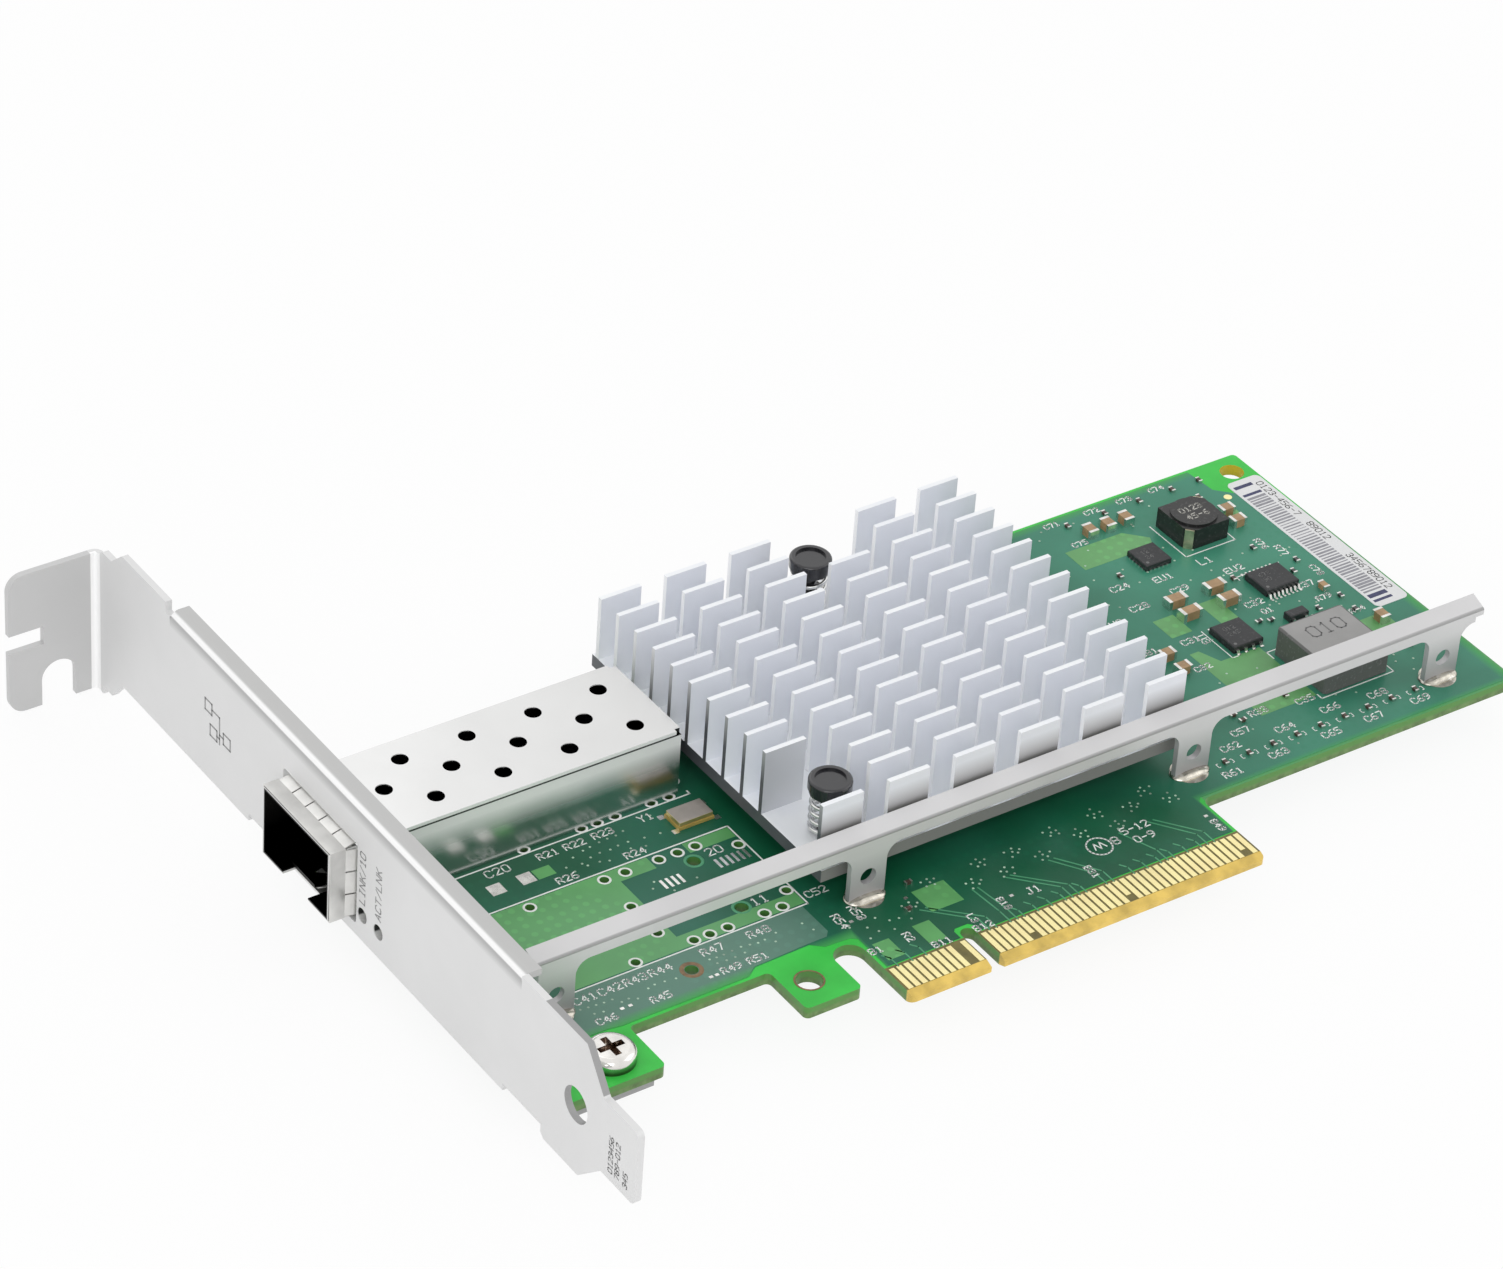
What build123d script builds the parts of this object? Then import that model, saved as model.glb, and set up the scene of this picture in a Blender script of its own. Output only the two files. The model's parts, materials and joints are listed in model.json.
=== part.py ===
from build123d import *
import math
import os

# Sizes are in millimetres. X runs along the card, away from its bracket. Y runs up the card from the
# gold edge that goes into the socket. Z stands out of the component face. The origin is the middle of
# the connector key, at the gold edge and on the component face.

# Circuit board outline
BOARD_THICKNESS = 1.57
BOARD_TOP_Y = 68.8
BOARD_RIGHT_X = 88.5
SHOULDER_Y = 12.45
LEFT_EDGE_Y = 11.65
BOARD_END_RADIUS = 0.6
BOARD_INNER_RADIUS = 1.2
BOARD_TAB_RADIUS = 0.7
FINGER_TAB_LEFT_X = -12.15
FINGER_TAB_RIGHT_X = 39.15
FINGER_BEVEL_HEIGHT = 1.1
FINGER_BEVEL_DEPTH = 0.42
KEY_WIDTH = 1.9
KEY_DEPTH = 6.9
RETENTION_TAB_WIDTH = 7.75
RETENTION_TAB_BOTTOM_Y = 4.1
RETENTION_SLOT_WIDTH = 4.05
RETENTION_SLOT_TOP_Y = 11.4
RETENTION_HOLE_RADIUS = 1.6
RETENTION_HOLE_X = -20.8
RETENTION_HOLE_Y = 8.15
SCREW_TAB_RIGHT_X = -43.05
SCREW_TAB_BOTTOM_Y = 3.95
CORNER_HOLE_RADIUS = 1.6
CORNER_HOLE_INSET_X = 2.8
CORNER_HOLE_INSET_Y = 3.15
TOOLING_HOLE_RADIUS = 0.8
TOOLING_HOLE_X = -31.4
TOOLING_HOLE_Y = 16.4

# Gold contacts on the edge of the board
CONTACT_PITCH = 1.0
CONTACT_WIDTH = 0.7
CONTACT_TOP_Y = 5.15
CONTACT_SHORT_BOTTOM_Y = 2.3
CONTACT_THICKNESS = 0.05
CONTACT_BEVEL_GAP = 0.05
CONTACT_KEY_GAP = 1.5
CONTACT_COUNT_BEFORE_KEY = 11
CONTACT_COUNT_AFTER_KEY = 38
SHORT_CONTACTS = (17, 31, 48)
MISSING_CONTACT = 10

# Bracket sheet
BRACKET_FACE_X = -59.5
BRACKET_SHEET = 0.86
BRACKET_WIDTH = 18.42
BRACKET_TOP_Y = 105.5
BRACKET_LENGTH = 120.0
BOARD_BRACKET_GAP = 0.44
BEND_RADIUS = 1.25
TOP_TAB_REACH = 11.9
TOP_TAB_LOW_Z = -6.6
TOP_TAB_HIGH_Z = 13.5
TOP_TAB_CORNER_RADIUS = 2.2
SCREW_SLOT_RADIUS = 2.32
SCREW_SLOT_SETBACK = 5.2
SCREW_SLOT_CENTRE_Z = -2.95
TAB_NOTCH_DEPTH = 4.7
TAB_NOTCH_WIDTH = 2.6
TAB_NOTCH_CENTRE_Z = 3.75
NECK_LOW_Z = -5.5
NECK_HIGH_Z = 14.5
NECK_END_Y = 100.8
BODY_START_Y = 98.2
WIDE_STRIP_HIGH_Z = 16.85
WIDE_STRIP_END_Y = 87.6
FLANGE_REACH = 2.6
FLANGE_TOP_Y = 86.6
FLANGE_BOTTOM_Y = 9.1
FLANGE_RELIEF = 0.6
FOOT_START_Y = 4.2
FOOT_BULGE = 0.75
FOOT_CHAMFER_LOW_Y = -3.5
FOOT_CHAMFER_HIGH_Y = -4.1
TONGUE_START_Y = -7.8
TONGUE_LOW_Z = 0.75
TONGUE_HIGH_Z = 10.95
TONGUE_CORNER_RADIUS = 0.9
BRACKET_HOLE_RADIUS = 2.3
BRACKET_HOLE_Y = -2.5
BRACKET_HOLE_Z = 6.2

# Screws that hold the board to the bracket's two folded ears
SCREW_X = -47.9
FRONT_SCREW_Y = 8.0
BACK_SCREW_Y = 64.0
SCREW_SHANK_RADIUS = 1.42
SCREW_HEAD_RADIUS = 3.0
SCREW_HEAD_HEIGHT = 1.9
SCREW_HEAD_ROUND = 0.9
SCREW_TIP = 0.35
SCREW_BOARD_CLEARANCE = 0.2
SCREW_EAR_CLEARANCE = 0.04
CROSS_RECESS_LENGTH = 3.3
CROSS_RECESS_WIDTH = 0.85
CROSS_RECESS_DEPTH = 1.1
EAR_WIDTH = 7.8
EAR_MARGIN = 3.4

# Optical module port: cage, spring collar and host connector
PORT_CENTRE_Y = 51.8
PORT_PITCH = 23.9
CAGE_NOSE = 3.2
CAGE_LENGTH = 48.0
CAGE_WIDTH = 14.7
CAGE_HEIGHT = 9.6
CAGE_SHEET = 0.3
CAGE_LIFT = 0.1
CAGE_LIP_THICKNESS = 0.15
CAGE_LIP_HEIGHT = 0.45
CAGE_LIP_START = 6.0
CAGE_CORNER_NOTCH_LENGTH = 0.8
CAGE_CORNER_NOTCH_DEPTH = 0.45
VENT_RADIUS = 1.05
VENT_PITCH_X = 9.13
VENT_PITCH_Y = 4.0
VENT_REAR_INSET = 4.35
VENT_COLUMN_COUNT = 4
LATCH_WINDOW_WIDTH = 5.8
LATCH_WIDTH = 5.0
LATCH_LENGTH = 6.5
LATCH_RISE = 1.2
LATCH_TIP_SETBACK = 1.1
LATCH_EYE_SIDE = 2.6
PIN_WIDTH = 0.6
PIN_LENGTH = 2.6
PIN_HOLE_RADIUS = 0.55
PIN_SETBACKS_BACK = (26.6, 16.4, 13.5, 8.8, 6.2, 3.7)
PIN_SETBACKS_FRONT = (21.5, 13.5, 11.3, 8.8, 3.7, 1.2)
PIN_REAR_OFFSET = 4.95
PIN_REAR_STANDOFF = 0.9
PIN_SETBACK_FLOOR = 16.4
PIN_OFFSETS_FLOOR = (-4.0, 1.5)
PEG_SETBACK = 5.4
PEG_OFFSET = 4.97
PEG_RADIUS = 0.72
PEG_CLEARANCE = 0.08
PORT_OPENING_MARGIN = 0.95
COLLAR_SHEET = 0.15
COLLAR_GAP = 0.05
COLLAR_SETBACK = 0.1
COLLAR_BAND = 2.0
COLLAR_NOTCH_LENGTH = 1.7
COLLAR_TOP_FINGER_COUNT = 5
COLLAR_FLANK_FINGER_COUNT = 3
FINGER_RUN = 1.3
FINGER_TAIL = 0.4
FINGER_RISE = 0.35
FINGER_TAIL_RISE = 0.15
FINGER_SLIT = 0.2
HOST_FRONT_SETBACK = 10.8
HOST_LENGTH = 8.6
HOST_WIDTH = 11.6
HOST_HEIGHT = 5.5
HOST_LIFT = 0.1
HOST_SLOT_WIDTH = 9.7
HOST_SLOT_HEIGHT = 1.7
HOST_SLOT_DEPTH = 6.2
HOST_SLOT_Z = 3.0
HOST_CONTACT_COUNT = 10
HOST_CONTACT_PITCH = 0.8
HOST_CONTACT_WIDTH = 0.38
HOST_CONTACT_SHEET = 0.25
HOST_FOOT_LENGTH = 1.1
HOST_FLOOR_MARGIN = 0.8
HOST_CONTACT_CLEARANCE = 0.02

# Status lights behind the bracket
LIGHT_POSITIONS_Y = (42.2, 38.7)
LIGHT_CENTRE_Z = 1.2
LIGHT_HOLE_RADIUS = 1.0
LIGHT_BODY_LENGTH = 1.5
LIGHT_BODY_WIDTH = 2.6
LIGHT_BODY_HEIGHT = 2.0
LIGHT_DOME_RADIUS = 0.8
LIGHT_EDGE_GAP = 0.35

# Folded stiffener rail over the board, with soldered legs
RAIL_SHEET = 0.8
RAIL_FRONT_Y = 17.2
RAIL_LEFT_X = -52.2
RAIL_RIGHT_X = 86.0
RAIL_LIP_LEFT_INSET = 0.4
RAIL_LIP_RIGHT_INSET = 1.2
RAIL_LIP_BOTTOM_Z = 6.9
RAIL_FOLD_Z = 8.5
RAIL_FLANGE_REACH = 2.3
RAIL_FLANGE_RISE = 0.9
RAIL_FOLD_ROUND_SHARE = 0.45
RAIL_LEG_POSITIONS_X = (-49.3, -6.5, 41.3, 80.2)
RAIL_LEG_WIDTH = 5.0
RAIL_LEG_FLARE = 1.9
RAIL_LEG_HOLE_RADIUS = 1.1
RAIL_LEG_HOLE_Z = 3.2
RAIL_TIP_WIDTH = 2.8
RAIL_TIP_LENGTH = 0.6
RAIL_SLOT_CLEARANCE = 0.25
SOLDER_LENGTH = 5.6
SOLDER_WIDTH = 3.0
SOLDER_HEIGHT = 0.7
SOLDER_TAPER = 38.0

# Heatsink, controller under it, and its two sprung push pins
SINK_CAGE_GAP = 2.9
SINK_FRONT_Y = 19.95
SINK_BASE_THICKNESS = 1.7
SINK_BASE_MARGIN = 0.7
FIN_COLUMN_COUNT = 6
FIN_ROW_COUNT = 13
FIN_PITCH_X = 9.42
FIN_PITCH_Y = 3.88
FIN_WIDTH = 5.75
FIN_THICKNESS = 0.65
FIN_HEIGHT = 8.9
FIN_GAPS_AT_PINS = ((0, 1), (0, 2), (3, 11), (3, 12))
CHIP_SIDE = 25.0
CHIP_SUBSTRATE_THICKNESS = 1.1
CHIP_LID_SIDE = 20.0
CHIP_LID_THICKNESS = 1.1
BALL_RADIUS = 0.42
BALL_HEIGHT = 0.4
BALL_PITCH = 2.0
BALL_SIDE_COUNT = 12
THERMAL_PAD_THICKNESS = 0.3
PUSH_PIN_OFFSETS = ((4.9, 5.35), (28.2, 43.05))
PUSH_PIN_CAP_RADIUS = 2.65
PUSH_PIN_CAP_THICKNESS = 1.4
PUSH_PIN_CAP_ROUND_SHARE = 0.25
PUSH_PIN_DISH_RADIUS = 1.9
PUSH_PIN_DISH_DEPTH = 0.3
PUSH_PIN_COLLAR_RADIUS = 2.45
PUSH_PIN_COLLAR_THICKNESS = 0.6
PUSH_PIN_SHAFT_RADIUS = 0.95
PUSH_PIN_HOLE_CLEARANCE = 0.25
PUSH_PIN_BARB_RADIUS = 1.45
PUSH_PIN_BARB_LENGTH = 1.5
PUSH_PIN_BARB_TIP_SHARE = 0.7
PUSH_PIN_SLIT = 0.4
PUSH_PIN_SLIT_SHARE = 0.7
SPRING_RADIUS = 2.05
SPRING_WIRE_RADIUS = 0.27
SPRING_TURNS = 4.5
SPRING_LENGTH = 5.7
SPRING_SEAT_GAP = 0.02

# Chip parts: each row gives where the middle of a part is
LIFT_OFF_BOARD = 0.08
POWER_COIL_X = 72.6
POWER_COIL_Y = 57.4
POWER_COIL_SIDE = 6.5
POWER_COIL_HEIGHT = 2.9
POWER_COIL_DISC_RADIUS = 3.05
POWER_COIL_DISC_RISE = 0.3
POWER_COIL_CORNER_CUT = 1.25
POWER_COIL_CLIP_WIDTH = 1.2
POWER_COIL_CLIP_TURN = 45
POWER_COIL_CLIP_THICKNESS = 0.2
CORE_COIL_X = 70.4
CORE_COIL_Y = 26.5
CORE_COIL_SIDE = 10.1
CORE_COIL_HEIGHT = 4.0
CORE_COIL_CHAMFER = 0.35
CORE_COIL_TOP_CHAMFER = 0.2
CORE_COIL_CLIP_WIDTH = 2.8
CORE_COIL_CLIP_THICKNESS = 0.25
CORE_COIL_CLIP_HEIGHT = 1.2
DRIVER_X = 63.2
DRIVER_Y = 36.3
DRIVER_LENGTH = 4.6
DRIVER_WIDTH = 5.0
DRIVER_HEIGHT = 0.95
DRIVER_LEAD_COUNT = 4
DRIVER_LEAD_PITCH = 1.2
DRIVER_LEAD_WIDTH = 0.45
DRIVER_LEAD_REACH = 0.65
MEMORY_X = 74.6
MEMORY_Y = 43.5
MEMORY_LENGTH = 5.2
MEMORY_WIDTH = 4.4
MEMORY_HEIGHT = 1.05
MEMORY_LEAD_COUNT = 8
MEMORY_LEAD_PITCH = 0.65
MEMORY_LEAD_WIDTH = 0.3
MEMORY_LEAD_REACH = 1.1
LEAD_SHEET = 0.15
LEAD_EXIT_SHARE = 0.5
LEAD_KNEE_SHARE = 0.35
LEAD_HEEL_SHARE = 0.45
LEAD_TOE_SHARE = 0.55
CHIP_BEVEL_SHARE = 0.12
CONVERTER_X = 64.1
CONVERTER_Y = 55.2
CONVERTER_SIDE = 4.0
CONVERTER_HEIGHT = 0.85
CONVERTER_PAD_COUNT = 5
CONVERTER_PAD_PITCH = 0.65
CONVERTER_PAD_WIDTH = 0.3
CONVERTER_PAD_LENGTH = 0.45
CONVERTER_PAD_HEIGHT = 0.2
CONVERTER_PAD_PROUD = 0.12
SWITCH_X = 72.6
SWITCH_Y = 36.1
SWITCH_LENGTH = 2.9
SWITCH_WIDTH = 1.4
SWITCH_HEIGHT = 1.0
SWITCH_FRONT_LEAD_COUNT = 2
SWITCH_BACK_LEAD_COUNT = 1
SWITCH_LEAD_PITCH = 1.9
SWITCH_LEAD_WIDTH = 0.42
SWITCH_LEAD_REACH = 0.6
CRYSTAL_SETBACK = 1.3
CRYSTAL_PORT_OFFSET = 11.8
CRYSTAL_LENGTH = 5.0
CRYSTAL_WIDTH = 3.2
CRYSTAL_BASE_HEIGHT = 0.45
CRYSTAL_CAN_HEIGHT = 0.6
CRYSTAL_CAN_INSET = 0.12
LABEL_LEFT_X = 83.0
LABEL_BOTTOM_Y = 32.6
LABEL_WIDTH = 5.2
LABEL_LENGTH = 31.0
LABEL_THICKNESS = 0.1
LABEL_CORNER_RADIUS = 0.8

# Chip parts: long side, short side, height and the length of each metal end
LARGE_CAPACITOR = (2.95, 1.45, 1.3, 0.5)
MEDIUM_CAPACITOR = (2.05, 1.35, 1.2, 0.4)
MIDDLING_CAPACITOR = (1.6, 0.85, 0.8, 0.3)
SMALL_CHIP = (1.0, 0.5, 0.42, 0.22)
OUTPUT_CAPACITOR_PLACES = ((60.9, 42.75), (60.9, 45.7), (67.05, 42.75), (67.05, 45.7))
INPUT_CAPACITOR_START_X = 60.75
INPUT_CAPACITOR_Y = 63.3
INPUT_CAPACITOR_PITCH = 2.85
INPUT_CAPACITOR_COUNT = 3
MEDIUM_CAPACITOR_PLACES = ((79.05, 58.5), (78.8, 55.85), (53.0, 37.2), (53.0, 34.0))
EDGE_CAPACITOR_PLACE = (81.7, 30.4)
MIDDLING_CAPACITOR_PLACE = (79.6, 39.3)
TOP_CHIPS_X = (59.3, 65.2, 70.8, 76.1, 80.5)
TOP_CHIPS_Y = 66.0
FRONT_CHIP_START_X = 46.1
FRONT_CHIP_Y = 16.65
FRONT_CHIP_PITCH = 3.72
FRONT_CHIP_COUNT = 9
LOOSE_CAPACITORS_ACROSS = ((78.1, 62.9), (58.5, 53.9), (61.0, 23.7), (70.8, 46.4), (81.4, 24.5))
LOOSE_CAPACITORS_ALONG = ((52.8, 23.7), (53.2, 22.3), (-3.6, 12.9), (-0.8, 16.9))
RESISTORS_ACROSS = ((77.2, 50.5), (80.4, 45.7), (78.5, 43.9), (76.2, 36.0), (80.4, 36.8), (80.2, 33.6))
RESISTORS_ALONG = ((67.8, 37.5), (69.3, 37.0))
TERMINAL_PROUD = 0.03

# Values that follow from the ones above
BOARD_BACK_Z = -BOARD_THICKNESS
BRACKET_INNER_X = BRACKET_FACE_X + BRACKET_SHEET
BOARD_LEFT_X = BRACKET_INNER_X + BOARD_BRACKET_GAP
BRACKET_LOW_Z = BOARD_BACK_Z - BRACKET_SHEET
BRACKET_HIGH_Z = BRACKET_LOW_Z + BRACKET_WIDTH
BRACKET_TIP_Y = BRACKET_TOP_Y - BRACKET_LENGTH
RETENTION_TAB_RIGHT_X = FINGER_TAB_LEFT_X - RETENTION_SLOT_WIDTH
RETENTION_TAB_LEFT_X = RETENTION_TAB_RIGHT_X - RETENTION_TAB_WIDTH
SCREW_HOLE_RADIUS = SCREW_SHANK_RADIUS + SCREW_BOARD_CLEARANCE
CAGE_FRONT_X = BRACKET_FACE_X - CAGE_NOSE
CAGE_REAR_X = CAGE_FRONT_X + CAGE_LENGTH
CAGE_TOP_Z = CAGE_LIFT + CAGE_HEIGHT
PORT_CENTRES_Y = (PORT_CENTRE_Y, PORT_CENTRE_Y - PORT_PITCH)
SINK_LEFT_X = CAGE_REAR_X + SINK_CAGE_GAP
SINK_BOTTOM_Z = BALL_HEIGHT + CHIP_SUBSTRATE_THICKNESS + CHIP_LID_THICKNESS + THERMAL_PAD_THICKNESS
SINK_TOP_Z = SINK_BOTTOM_Z + SINK_BASE_THICKNESS
SINK_WIDTH = (FIN_COLUMN_COUNT - 1) * FIN_PITCH_X + FIN_WIDTH
SINK_DEPTH = (FIN_ROW_COUNT - 1) * FIN_PITCH_Y + FIN_THICKNESS
SINK_CENTRE_X = SINK_LEFT_X + SINK_WIDTH / 2
SINK_CENTRE_Y = SINK_FRONT_Y + SINK_DEPTH / 2
PUSH_PIN_HOLE_RADIUS = PUSH_PIN_SHAFT_RADIUS + PUSH_PIN_HOLE_CLEARANCE
PUSH_PIN_POSITIONS = tuple((SINK_LEFT_X + x, SINK_FRONT_Y + y) for x, y in PUSH_PIN_OFFSETS)
CRYSTAL_X = CAGE_REAR_X - CRYSTAL_SETBACK
CRYSTAL_Y = PORT_CENTRE_Y - CRYSTAL_PORT_OFFSET
RAIL_MIDDLE_Y = RAIL_FRONT_Y + RAIL_SHEET / 2
POWER_COIL_CLIP_REACH = (POWER_COIL_SIDE - POWER_COIL_CORNER_CUT) / math.sqrt(2)
OVERRUN = 1.0


def block(x_low, x_high, y_low, y_high, z_low, z_high):
    """A plain box between two corners."""
    size = (x_high - x_low, y_high - y_low, z_high - z_low)
    middle = ((x_low + x_high) / 2, (y_low + y_high) / 2, (z_low + z_high) / 2)
    return Pos(*middle) * Box(*size)


def centred_block(x, y, length, width, z_low, height):
    """A box that stands on a height, centred on a place."""
    return Pos(x, y, z_low + height / 2) * Box(length, width, height)


def upright_cylinder(x, y, radius, z_low, z_high):
    """A cylinder along Z between two heights."""
    return Pos(x, y, (z_low + z_high) / 2) * Cylinder(radius, z_high - z_low)


def plate_in_xy(points, z_low, thickness):
    """A flat plate with an outline in X and Y."""
    face = make_face(Polyline(*points, close=True))
    return Pos(0, 0, z_low) * extrude(face, amount=thickness)


def plate_in_yz(points, x_low, thickness):
    """A flat plate with an outline in Y and Z."""
    face = Plane.YZ * make_face(Polyline(*points, close=True))
    return Pos(x_low, 0, 0) * extrude(face, amount=thickness)


def bar_in_xz(points, y_low, length):
    """A bar along Y with a section in X and Z."""
    section = Plane(origin=(0, y_low, 0), x_dir=(1, 0, 0), z_dir=(0, -1, 0))
    face = section * make_face(Polyline(*points, close=True))
    return extrude(face, amount=-length)


def rounded_bend(corner, along, across, radius):
    """An angle section: two legs that meet in a rounded outer corner."""
    outer = make_face(Polyline(*along, close=True)) + make_face(Polyline(*across, close=True))
    inner_radius = max(radius - BRACKET_SHEET, 0.1)
    for place, size in ((corner[0], radius), (corner[1], inner_radius)):
        vertex = outer.vertices().sort_by_distance((place[0], place[1], 0))[0]
        outer = fillet(vertex, size)
    return outer


def pin_places(centre_y):
    """Where the cage's pins go through the board, for a port at a height up the card."""
    wall_offset = (CAGE_WIDTH - CAGE_SHEET) / 2
    back = [(CAGE_REAR_X - setback, centre_y + wall_offset) for setback in PIN_SETBACKS_BACK]
    front = [(CAGE_REAR_X - setback, centre_y - wall_offset) for setback in PIN_SETBACKS_FRONT]
    rear = [(CAGE_REAR_X + PIN_REAR_STANDOFF, centre_y + side * PIN_REAR_OFFSET) for side in (-1, 1)]
    floor = [(CAGE_REAR_X - PIN_SETBACK_FLOOR, centre_y + offset) for offset in PIN_OFFSETS_FLOOR]
    return back, front, rear, floor


def peg_places(centre_y):
    """Where the host connector's two pegs go through the board."""
    return [(CAGE_REAR_X - PEG_SETBACK, centre_y + side * PEG_OFFSET) for side in (-1, 1)]


def screw_places():
    """The two screws, front and back."""
    return ((SCREW_X, FRONT_SCREW_Y), (SCREW_X, BACK_SCREW_Y))


def board_outline():
    """The board's edge, from the back left corner round to the screw tab."""
    return [
        (BOARD_LEFT_X, BOARD_TOP_Y), (BOARD_RIGHT_X, BOARD_TOP_Y), (BOARD_RIGHT_X, SHOULDER_Y),
        (FINGER_TAB_RIGHT_X, SHOULDER_Y), (FINGER_TAB_RIGHT_X, 0), (FINGER_TAB_LEFT_X, 0),
        (FINGER_TAB_LEFT_X, SHOULDER_Y), (RETENTION_TAB_RIGHT_X, SHOULDER_Y),
        (RETENTION_TAB_RIGHT_X, RETENTION_TAB_BOTTOM_Y), (RETENTION_TAB_LEFT_X, RETENTION_TAB_BOTTOM_Y),
        (RETENTION_TAB_LEFT_X, LEFT_EDGE_Y), (SCREW_TAB_RIGHT_X, LEFT_EDGE_Y),
        (SCREW_TAB_RIGHT_X, SCREW_TAB_BOTTOM_Y), (BOARD_LEFT_X, SCREW_TAB_BOTTOM_Y),
    ]


def board_holes():
    """Every hole drilled through the board, as a place and a radius."""
    holes = [(x, y, SCREW_HOLE_RADIUS) for x, y in screw_places()]
    holes += [(x, y, PUSH_PIN_HOLE_RADIUS) for x, y in PUSH_PIN_POSITIONS]
    holes.append((BOARD_RIGHT_X - CORNER_HOLE_INSET_X, BOARD_TOP_Y - CORNER_HOLE_INSET_Y, CORNER_HOLE_RADIUS))
    holes.append((RETENTION_HOLE_X, RETENTION_HOLE_Y, RETENTION_HOLE_RADIUS))
    holes.append((TOOLING_HOLE_X, TOOLING_HOLE_Y, TOOLING_HOLE_RADIUS))
    for centre_y in PORT_CENTRES_Y:
        for places in pin_places(centre_y):
            holes += [(x, y, PIN_HOLE_RADIUS) for x, y in places]
        holes += [(x, y, PEG_RADIUS + PEG_CLEARANCE) for x, y in peg_places(centre_y)]
    return holes


def corner_radius(x, y):
    """How far a corner of the board's outline is rounded."""
    if x == BOARD_RIGHT_X:
        return BOARD_END_RADIUS
    if (x, y) == (FINGER_TAB_RIGHT_X, SHOULDER_Y):
        return BOARD_INNER_RADIUS
    return BOARD_TAB_RADIUS


def rounded_board_outline():
    """The board's outline with its corners rounded, and a round-ended slot beside the gold edge."""
    outline = make_face(Polyline(*board_outline(), close=True))
    for x, y in board_outline():
        if y == SHOULDER_Y and x < 0:
            continue
        corner = outline.vertices().sort_by_distance((x, y, 0))[0]
        outline = fillet(corner, corner_radius(x, y))
    half = RETENTION_SLOT_WIDTH / 2
    slot_x = FINGER_TAB_LEFT_X - half
    filled_y = RETENTION_SLOT_TOP_Y - half
    bridge = Pos(slot_x, (filled_y + SHOULDER_Y) / 2) * Rectangle(RETENTION_SLOT_WIDTH, SHOULDER_Y - filled_y)
    return outline + (bridge - Pos(slot_x, filled_y) * Circle(half))


def circuit_board():
    """The glass-fibre board with its tabs, key, drilled holes and bevelled gold edge."""
    outline = rounded_board_outline()
    key_straight = KEY_DEPTH - KEY_WIDTH / 2
    key = Pos(0, (key_straight - OVERRUN) / 2) * Rectangle(KEY_WIDTH, key_straight + OVERRUN)
    key += Pos(0, key_straight) * Circle(KEY_WIDTH / 2)
    outline -= key
    for x, y, radius in board_holes():
        outline -= Pos(x, y) * Circle(radius)
    slot_length = RAIL_TIP_WIDTH + 2 * RAIL_SLOT_CLEARANCE
    slot_width = RAIL_SHEET + 2 * RAIL_SLOT_CLEARANCE
    for x in RAIL_LEG_POSITIONS_X:
        outline -= Pos(x, RAIL_MIDDLE_Y) * Rectangle(slot_length, slot_width)
    board = extrude(outline, amount=-BOARD_THICKNESS)
    for face_z, inward in ((0, -1), (BOARD_BACK_Z, 1)):
        section = [
            (-OVERRUN, face_z - inward * OVERRUN),
            (FINGER_BEVEL_HEIGHT, face_z - inward * OVERRUN),
            (FINGER_BEVEL_HEIGHT, face_z),
            (0, face_z + inward * FINGER_BEVEL_DEPTH),
            (-OVERRUN, face_z + inward * FINGER_BEVEL_DEPTH),
        ]
        start = FINGER_TAB_LEFT_X - OVERRUN
        board -= plate_in_yz(section, start, FINGER_TAB_RIGHT_X + OVERRUN - start)
    return board


def contact_row(face_z, outward, short, missing):
    """The flat gold contacts along one face of the board's edge."""
    low = FINGER_BEVEL_HEIGHT + CONTACT_BEVEL_GAP
    contacts = []
    for number in range(1, CONTACT_COUNT_BEFORE_KEY + CONTACT_COUNT_AFTER_KEY + 1):
        if number in missing:
            continue
        before = number <= CONTACT_COUNT_BEFORE_KEY
        steps = number - CONTACT_COUNT_BEFORE_KEY if before else number - CONTACT_COUNT_BEFORE_KEY - 1
        x = steps * CONTACT_PITCH + (-CONTACT_KEY_GAP if before else CONTACT_KEY_GAP)
        bottom = CONTACT_SHORT_BOTTOM_Y if number in short else low
        z_low = min(face_z, face_z + outward * CONTACT_THICKNESS)
        contacts.append(block(x - CONTACT_WIDTH / 2, x + CONTACT_WIDTH / 2, bottom, CONTACT_TOP_Y,
                              z_low, z_low + CONTACT_THICKNESS))
    return Compound(children=contacts)


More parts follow.
